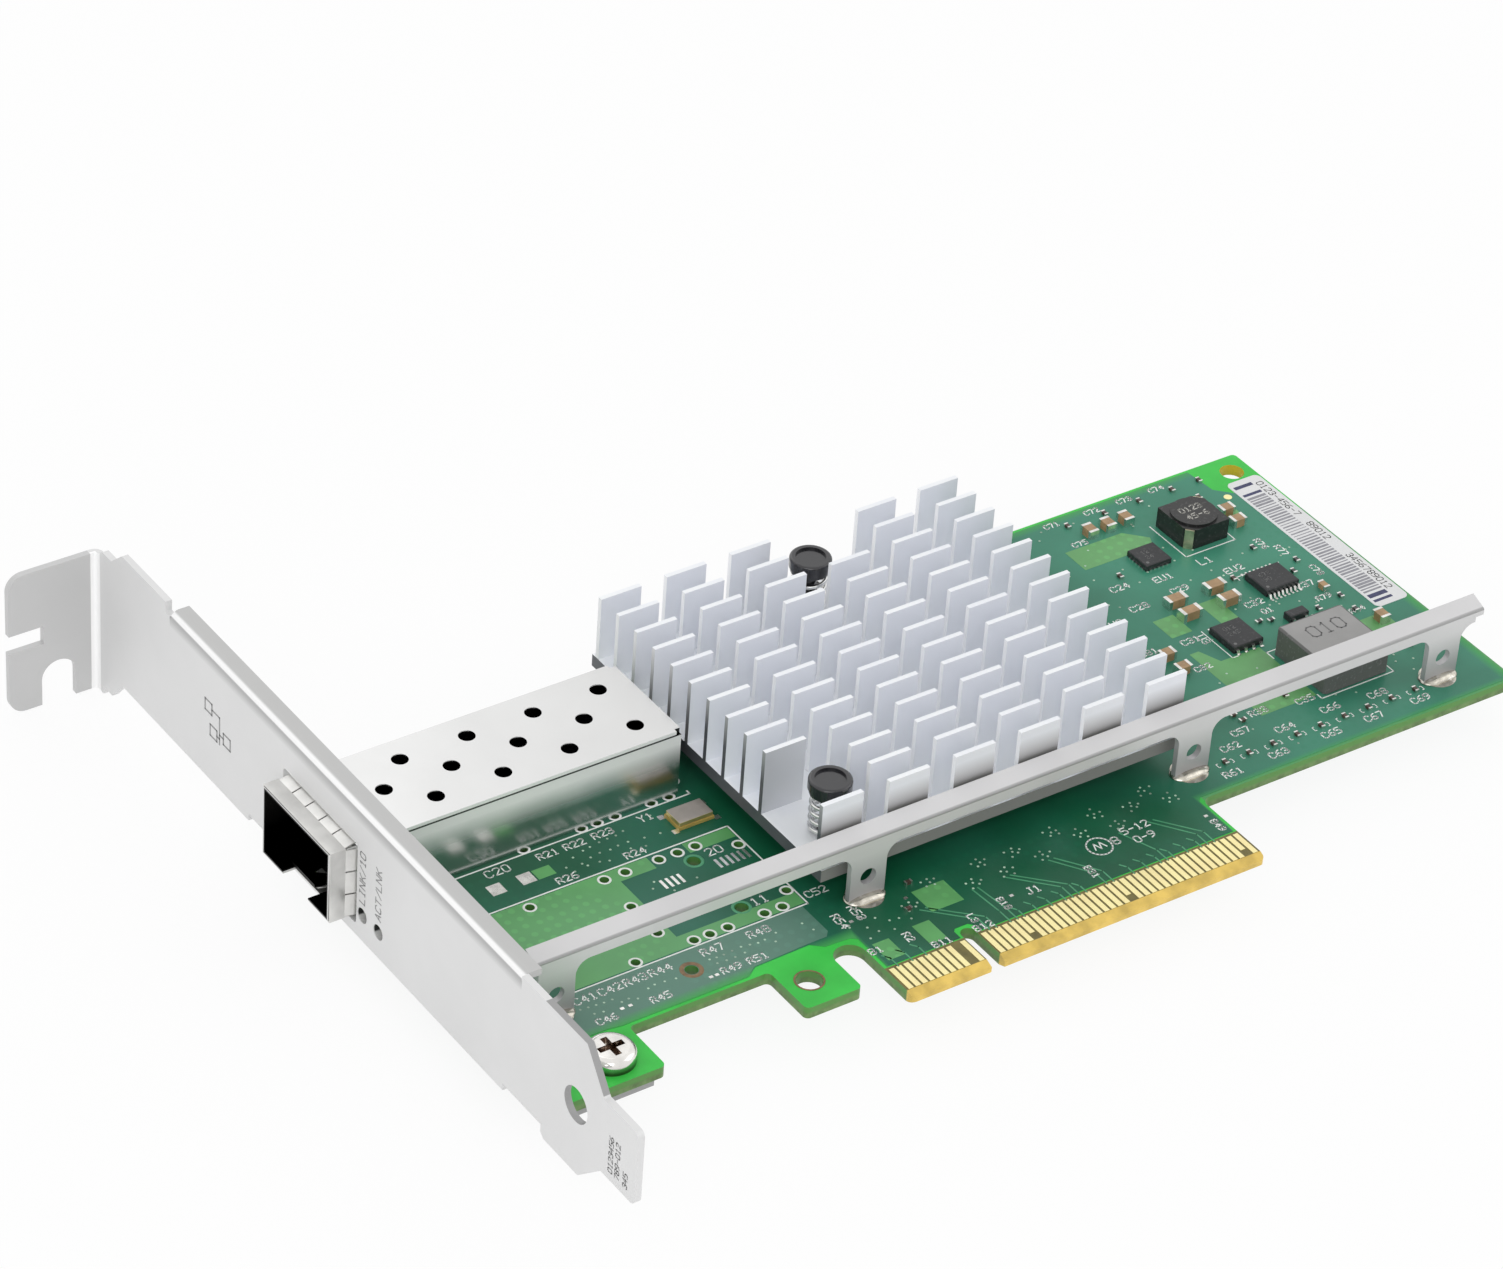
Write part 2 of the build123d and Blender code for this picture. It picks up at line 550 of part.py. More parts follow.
def bracket_plate():
    """The bracket's flat face, from the neck under the top tab to the tongue."""
    low = BRACKET_LOW_Z
    outline = [
        (BRACKET_TOP_Y - BEND_RADIUS, TOP_TAB_LOW_Z), (BRACKET_TOP_Y - BEND_RADIUS, TOP_TAB_HIGH_Z),
        (BRACKET_TOP_Y - 2 * BEND_RADIUS, NECK_HIGH_Z), (NECK_END_Y, NECK_HIGH_Z),
        (BODY_START_Y, WIDE_STRIP_HIGH_Z), (WIDE_STRIP_END_Y, WIDE_STRIP_HIGH_Z),
        (WIDE_STRIP_END_Y, BRACKET_HIGH_Z - FLANGE_RELIEF), (FLANGE_TOP_Y, BRACKET_HIGH_Z - FLANGE_RELIEF),
        (FLANGE_TOP_Y, BRACKET_HIGH_Z), (FOOT_CHAMFER_HIGH_Y, BRACKET_HIGH_Z),
        (TONGUE_START_Y, TONGUE_HIGH_Z), (BRACKET_TIP_Y, TONGUE_HIGH_Z), (BRACKET_TIP_Y, TONGUE_LOW_Z),
        (TONGUE_START_Y, TONGUE_LOW_Z), (FOOT_CHAMFER_LOW_Y, low - FOOT_BULGE),
        (FOOT_START_Y - FOOT_BULGE, low - FOOT_BULGE), (FOOT_START_Y, low), (BODY_START_Y, low),
        (NECK_END_Y, NECK_LOW_Z), (BRACKET_TOP_Y - 2 * BEND_RADIUS, NECK_LOW_Z),
    ]
    face = make_face(Polyline(*outline, close=True))
    for corner_z in (TONGUE_HIGH_Z, TONGUE_LOW_Z):
        vertex = face.vertices().sort_by_distance((BRACKET_TIP_Y, corner_z, 0))[0]
        face = fillet(vertex, TONGUE_CORNER_RADIUS)
    half = CAGE_WIDTH / 2 + PORT_OPENING_MARGIN
    opening_height = CAGE_HEIGHT + 2 * PORT_OPENING_MARGIN
    opening = Pos(PORT_CENTRE_Y, CAGE_LIFT + CAGE_HEIGHT / 2) * Rectangle(2 * half, opening_height)
    face -= fillet(opening.vertices(), PORT_OPENING_MARGIN / 2)
    for y in LIGHT_POSITIONS_Y:
        face -= Pos(y, LIGHT_CENTRE_Z) * Circle(LIGHT_HOLE_RADIUS)
    face -= Pos(BRACKET_HOLE_Y, BRACKET_HOLE_Z) * Circle(BRACKET_HOLE_RADIUS)
    return Pos(BRACKET_FACE_X, 0, 0) * extrude(Plane.YZ * face, amount=BRACKET_SHEET)


def bracket_fold(corner_z, outward, reach, y_low, y_high):
    """A strip folded from the bracket's long edge towards the board, with a rounded bend."""
    inner_z = corner_z - outward * BRACKET_SHEET
    run_z = corner_z - outward * 2 * BEND_RADIUS
    upright = [(BRACKET_FACE_X, run_z), (BRACKET_INNER_X, run_z), (BRACKET_INNER_X, corner_z),
               (BRACKET_FACE_X, corner_z)]
    flat = [(BRACKET_FACE_X, inner_z), (BRACKET_FACE_X + reach, inner_z), (BRACKET_FACE_X + reach, corner_z),
            (BRACKET_FACE_X, corner_z)]
    corners = ((BRACKET_FACE_X, corner_z), (BRACKET_INNER_X, inner_z))
    face = rounded_bend(corners, upright, flat, BEND_RADIUS)
    section = Plane(origin=(0, y_low, 0), x_dir=(1, 0, 0), z_dir=(0, -1, 0))
    strip = extrude(section * face, amount=-(y_high - y_low))
    sheet_end = BRACKET_INNER_X + OVERRUN
    low_z, high_z = sorted((run_z, corner_z + outward * OVERRUN))
    waste = block(BRACKET_FACE_X - OVERRUN, sheet_end, y_low, y_high, low_z, high_z)
    return strip, waste


def top_tab():
    """The tab folded outwards at the top, which the case clamps with one screw."""
    run_y = BRACKET_TOP_Y - 2 * BEND_RADIUS
    inner_y = BRACKET_TOP_Y - BRACKET_SHEET
    tip_x = BRACKET_FACE_X - TOP_TAB_REACH
    upright = [(BRACKET_FACE_X, run_y), (BRACKET_INNER_X, run_y), (BRACKET_INNER_X, BRACKET_TOP_Y),
               (BRACKET_FACE_X, BRACKET_TOP_Y)]
    flat = [(tip_x, inner_y), (BRACKET_INNER_X, inner_y), (BRACKET_INNER_X, BRACKET_TOP_Y),
            (tip_x, BRACKET_TOP_Y)]
    corners = ((BRACKET_INNER_X, BRACKET_TOP_Y), (BRACKET_FACE_X, inner_y))
    face = rounded_bend(corners, upright, flat, BEND_RADIUS)
    tab = Pos(0, 0, TOP_TAB_LOW_Z) * extrude(face, amount=TOP_TAB_HIGH_Z - TOP_TAB_LOW_Z)
    corner_edges = tab.edges().filter_by(Axis.Y).group_by(Axis.X)[0]
    tab = fillet(corner_edges, TOP_TAB_CORNER_RADIUS)
    slot_x = BRACKET_FACE_X - SCREW_SLOT_SETBACK
    mouth = TOP_TAB_LOW_Z - OVERRUN
    y_low, y_high = inner_y - OVERRUN, BRACKET_TOP_Y + OVERRUN
    tab -= block(slot_x - SCREW_SLOT_RADIUS, slot_x + SCREW_SLOT_RADIUS, y_low, y_high, mouth,
                 SCREW_SLOT_CENTRE_Z)
    round_end = Cylinder(SCREW_SLOT_RADIUS, y_high - y_low, rotation=(90, 0, 0))
    tab -= Pos(slot_x, (y_low + y_high) / 2, SCREW_SLOT_CENTRE_Z) * round_end
    notch_low = TAB_NOTCH_CENTRE_Z - TAB_NOTCH_WIDTH / 2
    tab -= block(tip_x - OVERRUN, tip_x + TAB_NOTCH_DEPTH, y_low, y_high, notch_low,
                 notch_low + TAB_NOTCH_WIDTH)
    return tab


def bracket():
    """The full-height bracket, folded from one sheet."""
    plate = bracket_plate()
    strips = []
    strip, waste = bracket_fold(BRACKET_HIGH_Z, 1, FLANGE_REACH, FLANGE_BOTTOM_Y, FLANGE_TOP_Y)
    plate -= waste
    strips.append(strip)
    ear_reach = SCREW_X + EAR_MARGIN - BRACKET_FACE_X
    for x, y in screw_places():
        strip, waste = bracket_fold(BRACKET_LOW_Z, -1, ear_reach, y - EAR_WIDTH / 2, y + EAR_WIDTH / 2)
        ear_hole = SCREW_SHANK_RADIUS + SCREW_EAR_CLEARANCE
        strip -= upright_cylinder(x, y, ear_hole, BRACKET_LOW_Z - OVERRUN, BOARD_BACK_Z + OVERRUN)
        plate -= waste
        strips.append(strip)
    whole = plate + top_tab()
    for strip in strips:
        whole += strip
    return whole


def bracket_screw(x, y):
    """A pan-head screw with a cross recess, down through the board into the bracket's ear."""
    tip_z = BRACKET_LOW_Z - SCREW_TIP
    head = upright_cylinder(x, y, SCREW_HEAD_RADIUS, 0, SCREW_HEAD_HEIGHT)
    head = fillet(head.faces().sort_by(Axis.Z)[-1].edges(), SCREW_HEAD_ROUND)
    recess_z = SCREW_HEAD_HEIGHT - CROSS_RECESS_DEPTH
    for length, width in ((CROSS_RECESS_LENGTH, CROSS_RECESS_WIDTH), (CROSS_RECESS_WIDTH, CROSS_RECESS_LENGTH)):
        head -= centred_block(x, y, length, width, recess_z, CROSS_RECESS_DEPTH + OVERRUN)
    return head + upright_cylinder(x, y, SCREW_SHANK_RADIUS, tip_z, 0)


def rail_flare(x, side, room):
    """The rounded fillet between a leg's edge and the lip, where there is room for one."""
    flare = min(RAIL_LEG_FLARE, room)
    edge_x = x + side * RAIL_LEG_WIDTH / 2
    corner = Pos(edge_x + side * flare / 2, RAIL_LIP_BOTTOM_Z - flare / 2) * Rectangle(flare, flare)
    return corner - Pos(edge_x + side * flare, RAIL_LIP_BOTTOM_Z - flare) * Circle(flare)


def rail_face():
    """The rail's upright face: the lip and its four flared legs, seen from the front."""
    lip_left = RAIL_LEFT_X + RAIL_LIP_LEFT_INSET
    lip_right = RAIL_RIGHT_X - RAIL_LIP_RIGHT_INSET
    face = Pos((lip_left + lip_right) / 2, (RAIL_LIP_BOTTOM_Z + RAIL_FOLD_Z) / 2) * Rectangle(
        lip_right - lip_left, RAIL_FOLD_Z - RAIL_LIP_BOTTOM_Z)
    tip_z = BOARD_BACK_Z - RAIL_TIP_LENGTH
    for x in RAIL_LEG_POSITIONS_X:
        face += Pos(x, RAIL_LIP_BOTTOM_Z / 2) * Rectangle(RAIL_LEG_WIDTH, RAIL_LIP_BOTTOM_Z)
        for side, lip_end in ((-1, lip_left), (1, lip_right)):
            room = side * (lip_end - x) - RAIL_LEG_WIDTH / 2
            if room > RAIL_LEG_FLARE / 2:
                face += rail_flare(x, side, room)
        face += Pos(x, tip_z / 2) * Rectangle(RAIL_TIP_WIDTH, -tip_z)
        face -= Pos(x, RAIL_LEG_HOLE_Z) * Circle(RAIL_LEG_HOLE_RADIUS)
    return face


def stiffener_rail():
    """The folded strip over the board: upright lip and legs, and a flange that slopes up and back."""
    front = Plane(origin=(0, RAIL_FRONT_Y, 0), x_dir=(1, 0, 0), z_dir=(0, -1, 0))
    rail = extrude(front * rail_face(), amount=-RAIL_SHEET)
    slope = math.atan2(RAIL_FLANGE_RISE, RAIL_FLANGE_REACH)
    drop = RAIL_SHEET / math.cos(slope)
    back_y = RAIL_FRONT_Y + RAIL_FLANGE_REACH
    section = [
        (RAIL_FRONT_Y, RAIL_FOLD_Z - drop), (RAIL_FRONT_Y, RAIL_FOLD_Z),
        (back_y, RAIL_FOLD_Z + RAIL_FLANGE_RISE), (back_y, RAIL_FOLD_Z + RAIL_FLANGE_RISE - drop),
    ]
    flange = plate_in_yz(section, RAIL_LEFT_X, RAIL_RIGHT_X - RAIL_LEFT_X)
    fold = flange.edges().filter_by(Axis.X).sort_by_distance((0, RAIL_FRONT_Y, RAIL_FOLD_Z))[0]
    return rail + fillet(fold, RAIL_SHEET * RAIL_FOLD_ROUND_SHARE)


def rail_solder():
    """The oval solder joints where the rail's legs go through the board."""
    joints = []
    for x in RAIL_LEG_POSITIONS_X:
        oval = Pos(x, RAIL_MIDDLE_Y) * SlotOverall(SOLDER_LENGTH, SOLDER_WIDTH)
        joint = extrude(oval, amount=SOLDER_HEIGHT, taper=SOLDER_TAPER)
        joint -= centred_block(x, RAIL_MIDDLE_Y, RAIL_LEG_WIDTH, RAIL_SHEET, -OVERRUN,
                               2 * OVERRUN + SOLDER_HEIGHT)
        joints += joint.solids()
    return Compound(children=joints)


def cage_vents():
    """The round vents in the cage's top: three staggered rows."""
    vents = []
    for row in (-1, 0, 1):
        shift = VENT_PITCH_X / 2 if row == 0 else 0
        for column in range(VENT_COLUMN_COUNT):
            x = CAGE_REAR_X - VENT_REAR_INSET - column * VENT_PITCH_X - shift
            y = PORT_CENTRE_Y + row * VENT_PITCH_Y
            low_z = CAGE_TOP_Z - CAGE_SHEET - OVERRUN
            vents.append(upright_cylinder(x, y, VENT_RADIUS, low_z, CAGE_TOP_Z + OVERRUN))
    return vents


def cage_latch():
    """The sprung tongue in the cage's floor, raised at its front, with a three-sided eye."""
    tip_x = CAGE_FRONT_X + LATCH_TIP_SETBACK
    root_x = CAGE_FRONT_X + LATCH_LENGTH
    floor_top = CAGE_LIFT + CAGE_SHEET
    section = [
        (tip_x, CAGE_LIFT + LATCH_RISE), (root_x, CAGE_LIFT), (root_x + CAGE_SHEET, CAGE_LIFT),
        (root_x + CAGE_SHEET, floor_top), (root_x, floor_top), (tip_x, floor_top + LATCH_RISE),
    ]
    tongue = bar_in_xz(section, PORT_CENTRE_Y - LATCH_WIDTH / 2, LATCH_WIDTH)
    eye_x = tip_x + LATCH_EYE_SIDE
    half = LATCH_EYE_SIDE / 2
    corners = [
        (eye_x - half, PORT_CENTRE_Y), (eye_x + half, PORT_CENTRE_Y - half),
        (eye_x + half, PORT_CENTRE_Y + half),
    ]
    eye = plate_in_xy(corners, CAGE_LIFT - OVERRUN, CAGE_HEIGHT)
    return tongue - eye


def port_cage():
    """The folded sheet cage of the optical module port, with pins that go through the board."""
    half = CAGE_WIDTH / 2
    low_y, high_y = PORT_CENTRE_Y - half, PORT_CENTRE_Y + half
    cage = block(CAGE_FRONT_X, CAGE_REAR_X, low_y, high_y, CAGE_LIFT, CAGE_TOP_Z)
    cage -= block(CAGE_FRONT_X - OVERRUN, CAGE_REAR_X - CAGE_SHEET, low_y + CAGE_SHEET, high_y - CAGE_SHEET,
                  CAGE_LIFT + CAGE_SHEET, CAGE_TOP_Z - CAGE_SHEET)
    window = LATCH_WINDOW_WIDTH / 2
    cage -= block(CAGE_FRONT_X - OVERRUN, CAGE_FRONT_X + LATCH_LENGTH, PORT_CENTRE_Y - window,
                  PORT_CENTRE_Y + window, CAGE_LIFT - OVERRUN, CAGE_LIFT + CAGE_SHEET + OVERRUN / 2)
    floor_start = CAGE_REAR_X - HOST_FRONT_SETBACK - HOST_FOOT_LENGTH - HOST_FLOOR_MARGIN
    cage -= block(floor_start, CAGE_REAR_X - CAGE_SHEET, PORT_CENTRE_Y - HOST_WIDTH / 2 - HOST_FLOOR_MARGIN / 2,
                  PORT_CENTRE_Y + HOST_WIDTH / 2 + HOST_FLOOR_MARGIN / 2, -OVERRUN, CAGE_LIFT + CAGE_SHEET)
    cage += cage_latch()
    for vent in cage_vents():
        cage -= vent
    for y_low, y_high in ((low_y - CAGE_LIP_THICKNESS, low_y), (high_y, high_y + CAGE_LIP_THICKNESS)):
        cage += block(CAGE_FRONT_X + CAGE_LIP_START, CAGE_REAR_X, y_low, y_high, CAGE_TOP_Z - CAGE_LIP_HEIGHT,
                      CAGE_TOP_Z)
    notch_x = CAGE_REAR_X - CAGE_CORNER_NOTCH_LENGTH
    notch_z = CAGE_TOP_Z - CAGE_CORNER_NOTCH_LENGTH
    for y in (low_y + CAGE_CORNER_NOTCH_DEPTH - OVERRUN, high_y - CAGE_CORNER_NOTCH_DEPTH):
        cage -= block(notch_x, CAGE_REAR_X + OVERRUN, y, y + OVERRUN, notch_z, CAGE_TOP_Z + OVERRUN)
    back, front, rear, floor = pin_places(PORT_CENTRE_Y)
    for x, y in back + front + floor:
        cage += centred_block(x, y, PIN_WIDTH, CAGE_SHEET, CAGE_LIFT - PIN_LENGTH, PIN_LENGTH + CAGE_SHEET)
    for x, y in rear:
        cage += centred_block(x, y, CAGE_SHEET, PIN_WIDTH, CAGE_LIFT - PIN_LENGTH, PIN_LENGTH + CAGE_SHEET)
        cage += block(CAGE_REAR_X - CAGE_SHEET, x, y - PIN_WIDTH / 2, y + PIN_WIDTH / 2, CAGE_LIFT,
                      CAGE_LIFT + CAGE_SHEET)
    return cage


def collar_finger(width):
    """One bowed finger of the spring collar, lying along X on a surface at height 0."""
    lift = COLLAR_SHEET
    root = -COLLAR_SHEET
    tip = FINGER_RUN + FINGER_TAIL
    section = [
        (root, 0), (0, 0), (FINGER_RUN, FINGER_RISE), (tip, FINGER_TAIL_RISE), (tip, FINGER_TAIL_RISE + lift),
        (FINGER_RUN, FINGER_RISE + lift), (0, lift), (root, lift),
    ]
    return bar_in_xz(section, -width / 2, width)


def spring_collar():
    """The thin sprung collar round the cage's nose, which earths it to the bracket."""
    half_y = CAGE_WIDTH / 2 + COLLAR_GAP
    half_z = CAGE_HEIGHT / 2 + COLLAR_GAP
    middle_z = CAGE_LIFT + CAGE_HEIGHT / 2
    start = CAGE_FRONT_X + COLLAR_SETBACK
    band_x = start + COLLAR_BAND / 2
    outer = Box(COLLAR_BAND, 2 * (half_y + COLLAR_SHEET), 2 * (half_z + COLLAR_SHEET))
    collar = Pos(band_x, PORT_CENTRE_Y, middle_z) * (outer - Box(COLLAR_BAND + OVERRUN, 2 * half_y, 2 * half_z))
    sides = ((0, half_z, half_y, COLLAR_TOP_FINGER_COUNT), (90, half_y, half_z, COLLAR_FLANK_FINGER_COUNT),
             (180, half_z, half_y, COLLAR_TOP_FINGER_COUNT), (270, half_y, half_z, COLLAR_FLANK_FINGER_COUNT))
    for angle, height, half_span, count in sides:
        pitch = 2 * half_span / count
        for number in range(count):
            offset = (number + 0.5) * pitch - half_span
            finger = Pos(0, offset, height) * collar_finger(pitch - FINGER_SLIT)
            collar += Pos(start + COLLAR_BAND, PORT_CENTRE_Y, middle_z) * Rot(angle, 0, 0) * finger
    window = LATCH_WINDOW_WIDTH / 2
    return collar - block(start - OVERRUN, start + COLLAR_NOTCH_LENGTH, PORT_CENTRE_Y - window,
                          PORT_CENTRE_Y + window, middle_z - half_z - OVERRUN, middle_z)


def host_contact_shapes(grow):
    """The host connector's contacts, grown by a clearance so that the body can be cut to match."""
    front_x = CAGE_REAR_X - HOST_FRONT_SETBACK
    back_x = front_x + HOST_LENGTH
    slot_end = front_x + HOST_SLOT_DEPTH
    slot_low = HOST_SLOT_Z - HOST_SLOT_HEIGHT / 2
    slot_high = HOST_SLOT_Z + HOST_SLOT_HEIGHT / 2
    sheet = HOST_CONTACT_SHEET
    shapes = []
    for number in range(HOST_CONTACT_COUNT):
        y = PORT_CENTRE_Y + (number - (HOST_CONTACT_COUNT - 1) / 2) * HOST_CONTACT_PITCH
        low_y, high_y = y - HOST_CONTACT_WIDTH / 2 - grow, y + HOST_CONTACT_WIDTH / 2 + grow
        lower = block(front_x - sheet - grow, slot_end, low_y, high_y, slot_low - sheet - grow, slot_low + grow)
        lower += block(front_x - sheet - grow, front_x + grow, low_y, high_y, 0, slot_low + grow)
        lower += block(front_x - HOST_FOOT_LENGTH, front_x + grow, low_y, high_y, 0, sheet)
        end_x, roof_z = back_x + sheet + grow, slot_high + sheet + grow
        upper = block(front_x + sheet, end_x, low_y, high_y, slot_high - grow, roof_z)
        upper += block(back_x - grow, end_x, low_y, high_y, 0, roof_z)
        upper += block(back_x - grow, back_x + HOST_FOOT_LENGTH, low_y, high_y, 0, sheet)
        shapes += [lower, upper]
    return shapes


def host_connector():
    """The black connector body at the back of the cage, with a slot that takes the module's card edge."""
    front_x = CAGE_REAR_X - HOST_FRONT_SETBACK
    back_x = front_x + HOST_LENGTH
    half = HOST_WIDTH / 2
    body = block(front_x, back_x, PORT_CENTRE_Y - half, PORT_CENTRE_Y + half, HOST_LIFT, HOST_HEIGHT)
    slot_half = HOST_SLOT_WIDTH / 2
    body -= block(front_x - OVERRUN, front_x + HOST_SLOT_DEPTH, PORT_CENTRE_Y - slot_half,
                  PORT_CENTRE_Y + slot_half, HOST_SLOT_Z - HOST_SLOT_HEIGHT / 2, HOST_SLOT_Z + HOST_SLOT_HEIGHT / 2)
    for shape in host_contact_shapes(HOST_CONTACT_CLEARANCE):
        body -= shape
    for x, y in peg_places(PORT_CENTRE_Y):
        body += upright_cylinder(x, y, PEG_RADIUS, BOARD_BACK_Z, HOST_LIFT + HOST_SLOT_HEIGHT / 2)
    return body


def status_lights():
    """The bodies of the two side-facing lights on the board's edge."""
    bodies = []
    for y in LIGHT_POSITIONS_Y:
        x = BOARD_LEFT_X + LIGHT_EDGE_GAP
        bodies.append(block(x, x + LIGHT_BODY_LENGTH, y - LIGHT_BODY_WIDTH / 2, y + LIGHT_BODY_WIDTH / 2, 0,
                            LIGHT_BODY_HEIGHT))
    return Compound(children=bodies)


def light_domes():
    """The clear domes of the two lights, which face the bracket's small holes."""
    domes = []
    for y in LIGHT_POSITIONS_Y:
        x = BOARD_LEFT_X + LIGHT_EDGE_GAP
        dome = Pos(x, y, LIGHT_CENTRE_Z) * Sphere(LIGHT_DOME_RADIUS)
        dome &= block(x - 2 * LIGHT_DOME_RADIUS, x, y - LIGHT_DOME_RADIUS, y + LIGHT_DOME_RADIUS,
                      LIGHT_CENTRE_Z - LIGHT_DOME_RADIUS, LIGHT_CENTRE_Z + LIGHT_DOME_RADIUS)
        domes += dome.solids()
    return Compound(children=domes)


def heatsink():
    """The cross-cut heatsink: a base plate with columns of thin upright fins."""
    right_x = SINK_LEFT_X + SINK_WIDTH
    back_y = SINK_FRONT_Y + SINK_DEPTH
    sink = block(SINK_LEFT_X, right_x, SINK_FRONT_Y - SINK_BASE_MARGIN, back_y + SINK_BASE_MARGIN,
                 SINK_BOTTOM_Z, SINK_TOP_Z)
    fins = []
    for column in range(FIN_COLUMN_COUNT):
        for row in range(FIN_ROW_COUNT):
            if (column, row) in FIN_GAPS_AT_PINS:
                continue
            x = SINK_LEFT_X + column * FIN_PITCH_X
            y = SINK_FRONT_Y + row * FIN_PITCH_Y
            fins.append(block(x, x + FIN_WIDTH, y, y + FIN_THICKNESS, SINK_TOP_Z, SINK_TOP_Z + FIN_HEIGHT))
    sink = sink.fuse(*fins)
    for x, y in PUSH_PIN_POSITIONS:
        sink -= upright_cylinder(x, y, PUSH_PIN_HOLE_RADIUS, SINK_BOTTOM_Z - OVERRUN, SINK_TOP_Z + OVERRUN)
    return sink


def controller_substrate():
    """The controller's flat carrier."""
    return centred_block(SINK_CENTRE_X, SINK_CENTRE_Y, CHIP_SIDE, CHIP_SIDE, BALL_HEIGHT,
                         CHIP_SUBSTRATE_THICKNESS)


def controller_lid():
    """The controller's metal lid, under the thermal pad."""
    z = BALL_HEIGHT + CHIP_SUBSTRATE_THICKNESS
    return centred_block(SINK_CENTRE_X, SINK_CENTRE_Y, CHIP_LID_SIDE, CHIP_LID_SIDE, z, CHIP_LID_THICKNESS)


def controller_balls():
    """The grid of solder balls between the controller and the board."""
    balls = []
    start = -(BALL_SIDE_COUNT - 1) / 2 * BALL_PITCH
    for column in range(BALL_SIDE_COUNT):
        for row in range(BALL_SIDE_COUNT):
            x = SINK_CENTRE_X + start + column * BALL_PITCH
            y = SINK_CENTRE_Y + start + row * BALL_PITCH
            balls.append(upright_cylinder(x, y, BALL_RADIUS, 0, BALL_HEIGHT))
    return Compound(children=balls)


def thermal_pad():
    """The soft pad between the controller's lid and the heatsink."""
    z = SINK_BOTTOM_Z - THERMAL_PAD_THICKNESS
    return centred_block(SINK_CENTRE_X, SINK_CENTRE_Y, CHIP_LID_SIDE, CHIP_LID_SIDE, z, THERMAL_PAD_THICKNESS)


def push_pin(x, y):
    """A black push pin: cap, collar, shaft and a split barb under the board."""
    collar_z = SINK_TOP_Z + SPRING_LENGTH
    cap_z = collar_z + PUSH_PIN_COLLAR_THICKNESS
    barb_z = BOARD_BACK_Z - PUSH_PIN_BARB_LENGTH
    cap = upright_cylinder(x, y, PUSH_PIN_CAP_RADIUS, cap_z, cap_z + PUSH_PIN_CAP_THICKNESS)
    cap = fillet(cap.faces().sort_by(Axis.Z)[-1].edges(), PUSH_PIN_CAP_THICKNESS * PUSH_PIN_CAP_ROUND_SHARE)
    top_z = cap_z + PUSH_PIN_CAP_THICKNESS
    cap -= upright_cylinder(x, y, PUSH_PIN_DISH_RADIUS, top_z - PUSH_PIN_DISH_DEPTH, top_z + OVERRUN)
    pin = cap + upright_cylinder(x, y, PUSH_PIN_COLLAR_RADIUS, collar_z, cap_z)
    pin += upright_cylinder(x, y, PUSH_PIN_SHAFT_RADIUS, BOARD_BACK_Z, collar_z)
    barb = Pos(x, y, barb_z + PUSH_PIN_BARB_LENGTH / 2) * Cone(
        PUSH_PIN_SHAFT_RADIUS * PUSH_PIN_BARB_TIP_SHARE, PUSH_PIN_BARB_RADIUS, PUSH_PIN_BARB_LENGTH)
    barb -= centred_block(x, y, PUSH_PIN_SLIT, 4 * PUSH_PIN_BARB_RADIUS, barb_z - OVERRUN,
                          OVERRUN + PUSH_PIN_BARB_LENGTH * PUSH_PIN_SLIT_SHARE)
    return pin + barb


def pin_spring(x, y):
    """The coil spring between a push pin's cap and the heatsink."""
    seat = SPRING_WIRE_RADIUS + SPRING_SEAT_GAP
    height = SPRING_LENGTH - 2 * seat
    path = Helix(pitch=height / SPRING_TURNS, height=height, radius=SPRING_RADIUS)
    start = Plane(origin=path @ 0, z_dir=path % 0)
    coil = sweep(start * Circle(SPRING_WIRE_RADIUS), path=path)
    return Pos(x, y, SINK_TOP_Z + seat) * coil


def group(maker, places):
    """The same piece at several places."""
    pieces = []
    for x, y in places:
        pieces += maker(x, y).solids()
    return Compound(children=pieces)


def power_coil_body():
    """The black power inductor: a square base with two corners cut off, and a round ferrite disc on top."""
    z = LIFT_OFF_BOARD
    body = centred_block(POWER_COIL_X, POWER_COIL_Y, POWER_COIL_SIDE, POWER_COIL_SIDE, z, POWER_COIL_HEIGHT)
    corners = body.edges().filter_by(Axis.Z).sort_by(lambda edge: edge.center().X + edge.center().Y)
    body = chamfer([corners[0], corners[-1]], POWER_COIL_CORNER_CUT)
    top = z + POWER_COIL_HEIGHT
    disc_top = top + POWER_COIL_DISC_RISE
    return body + upright_cylinder(POWER_COIL_X, POWER_COIL_Y, POWER_COIL_DISC_RADIUS, top, disc_top)


def end_clips(x, y, reach, width, thickness, height, turn):
    """A pair of bent metal clips under and up two opposite faces, each face a reach from the middle."""
    clips = []
    for direction in (-1, 1):
        foot = centred_block(direction * (reach - width / 2), 0, width, width, 0, LIFT_OFF_BOARD)
        upright = centred_block(direction * (reach + thickness / 2), 0, thickness, width, 0, height)
        clips.append(Pos(x, y, 0) * Rot(0, 0, turn) * (foot + upright))
    return Compound(children=clips)


def core_coil_body():
    """The moulded grey inductor: a square block, narrower at its chamfered top."""
    z = LIFT_OFF_BOARD
    body = centred_block(CORE_COIL_X, CORE_COIL_Y, CORE_COIL_SIDE, CORE_COIL_SIDE, z, CORE_COIL_HEIGHT)
    body = chamfer(body.edges().filter_by(Axis.Z), CORE_COIL_CHAMFER)
    return chamfer(body.faces().sort_by(Axis.Z)[-1].edges(), CORE_COIL_TOP_CHAMFER)


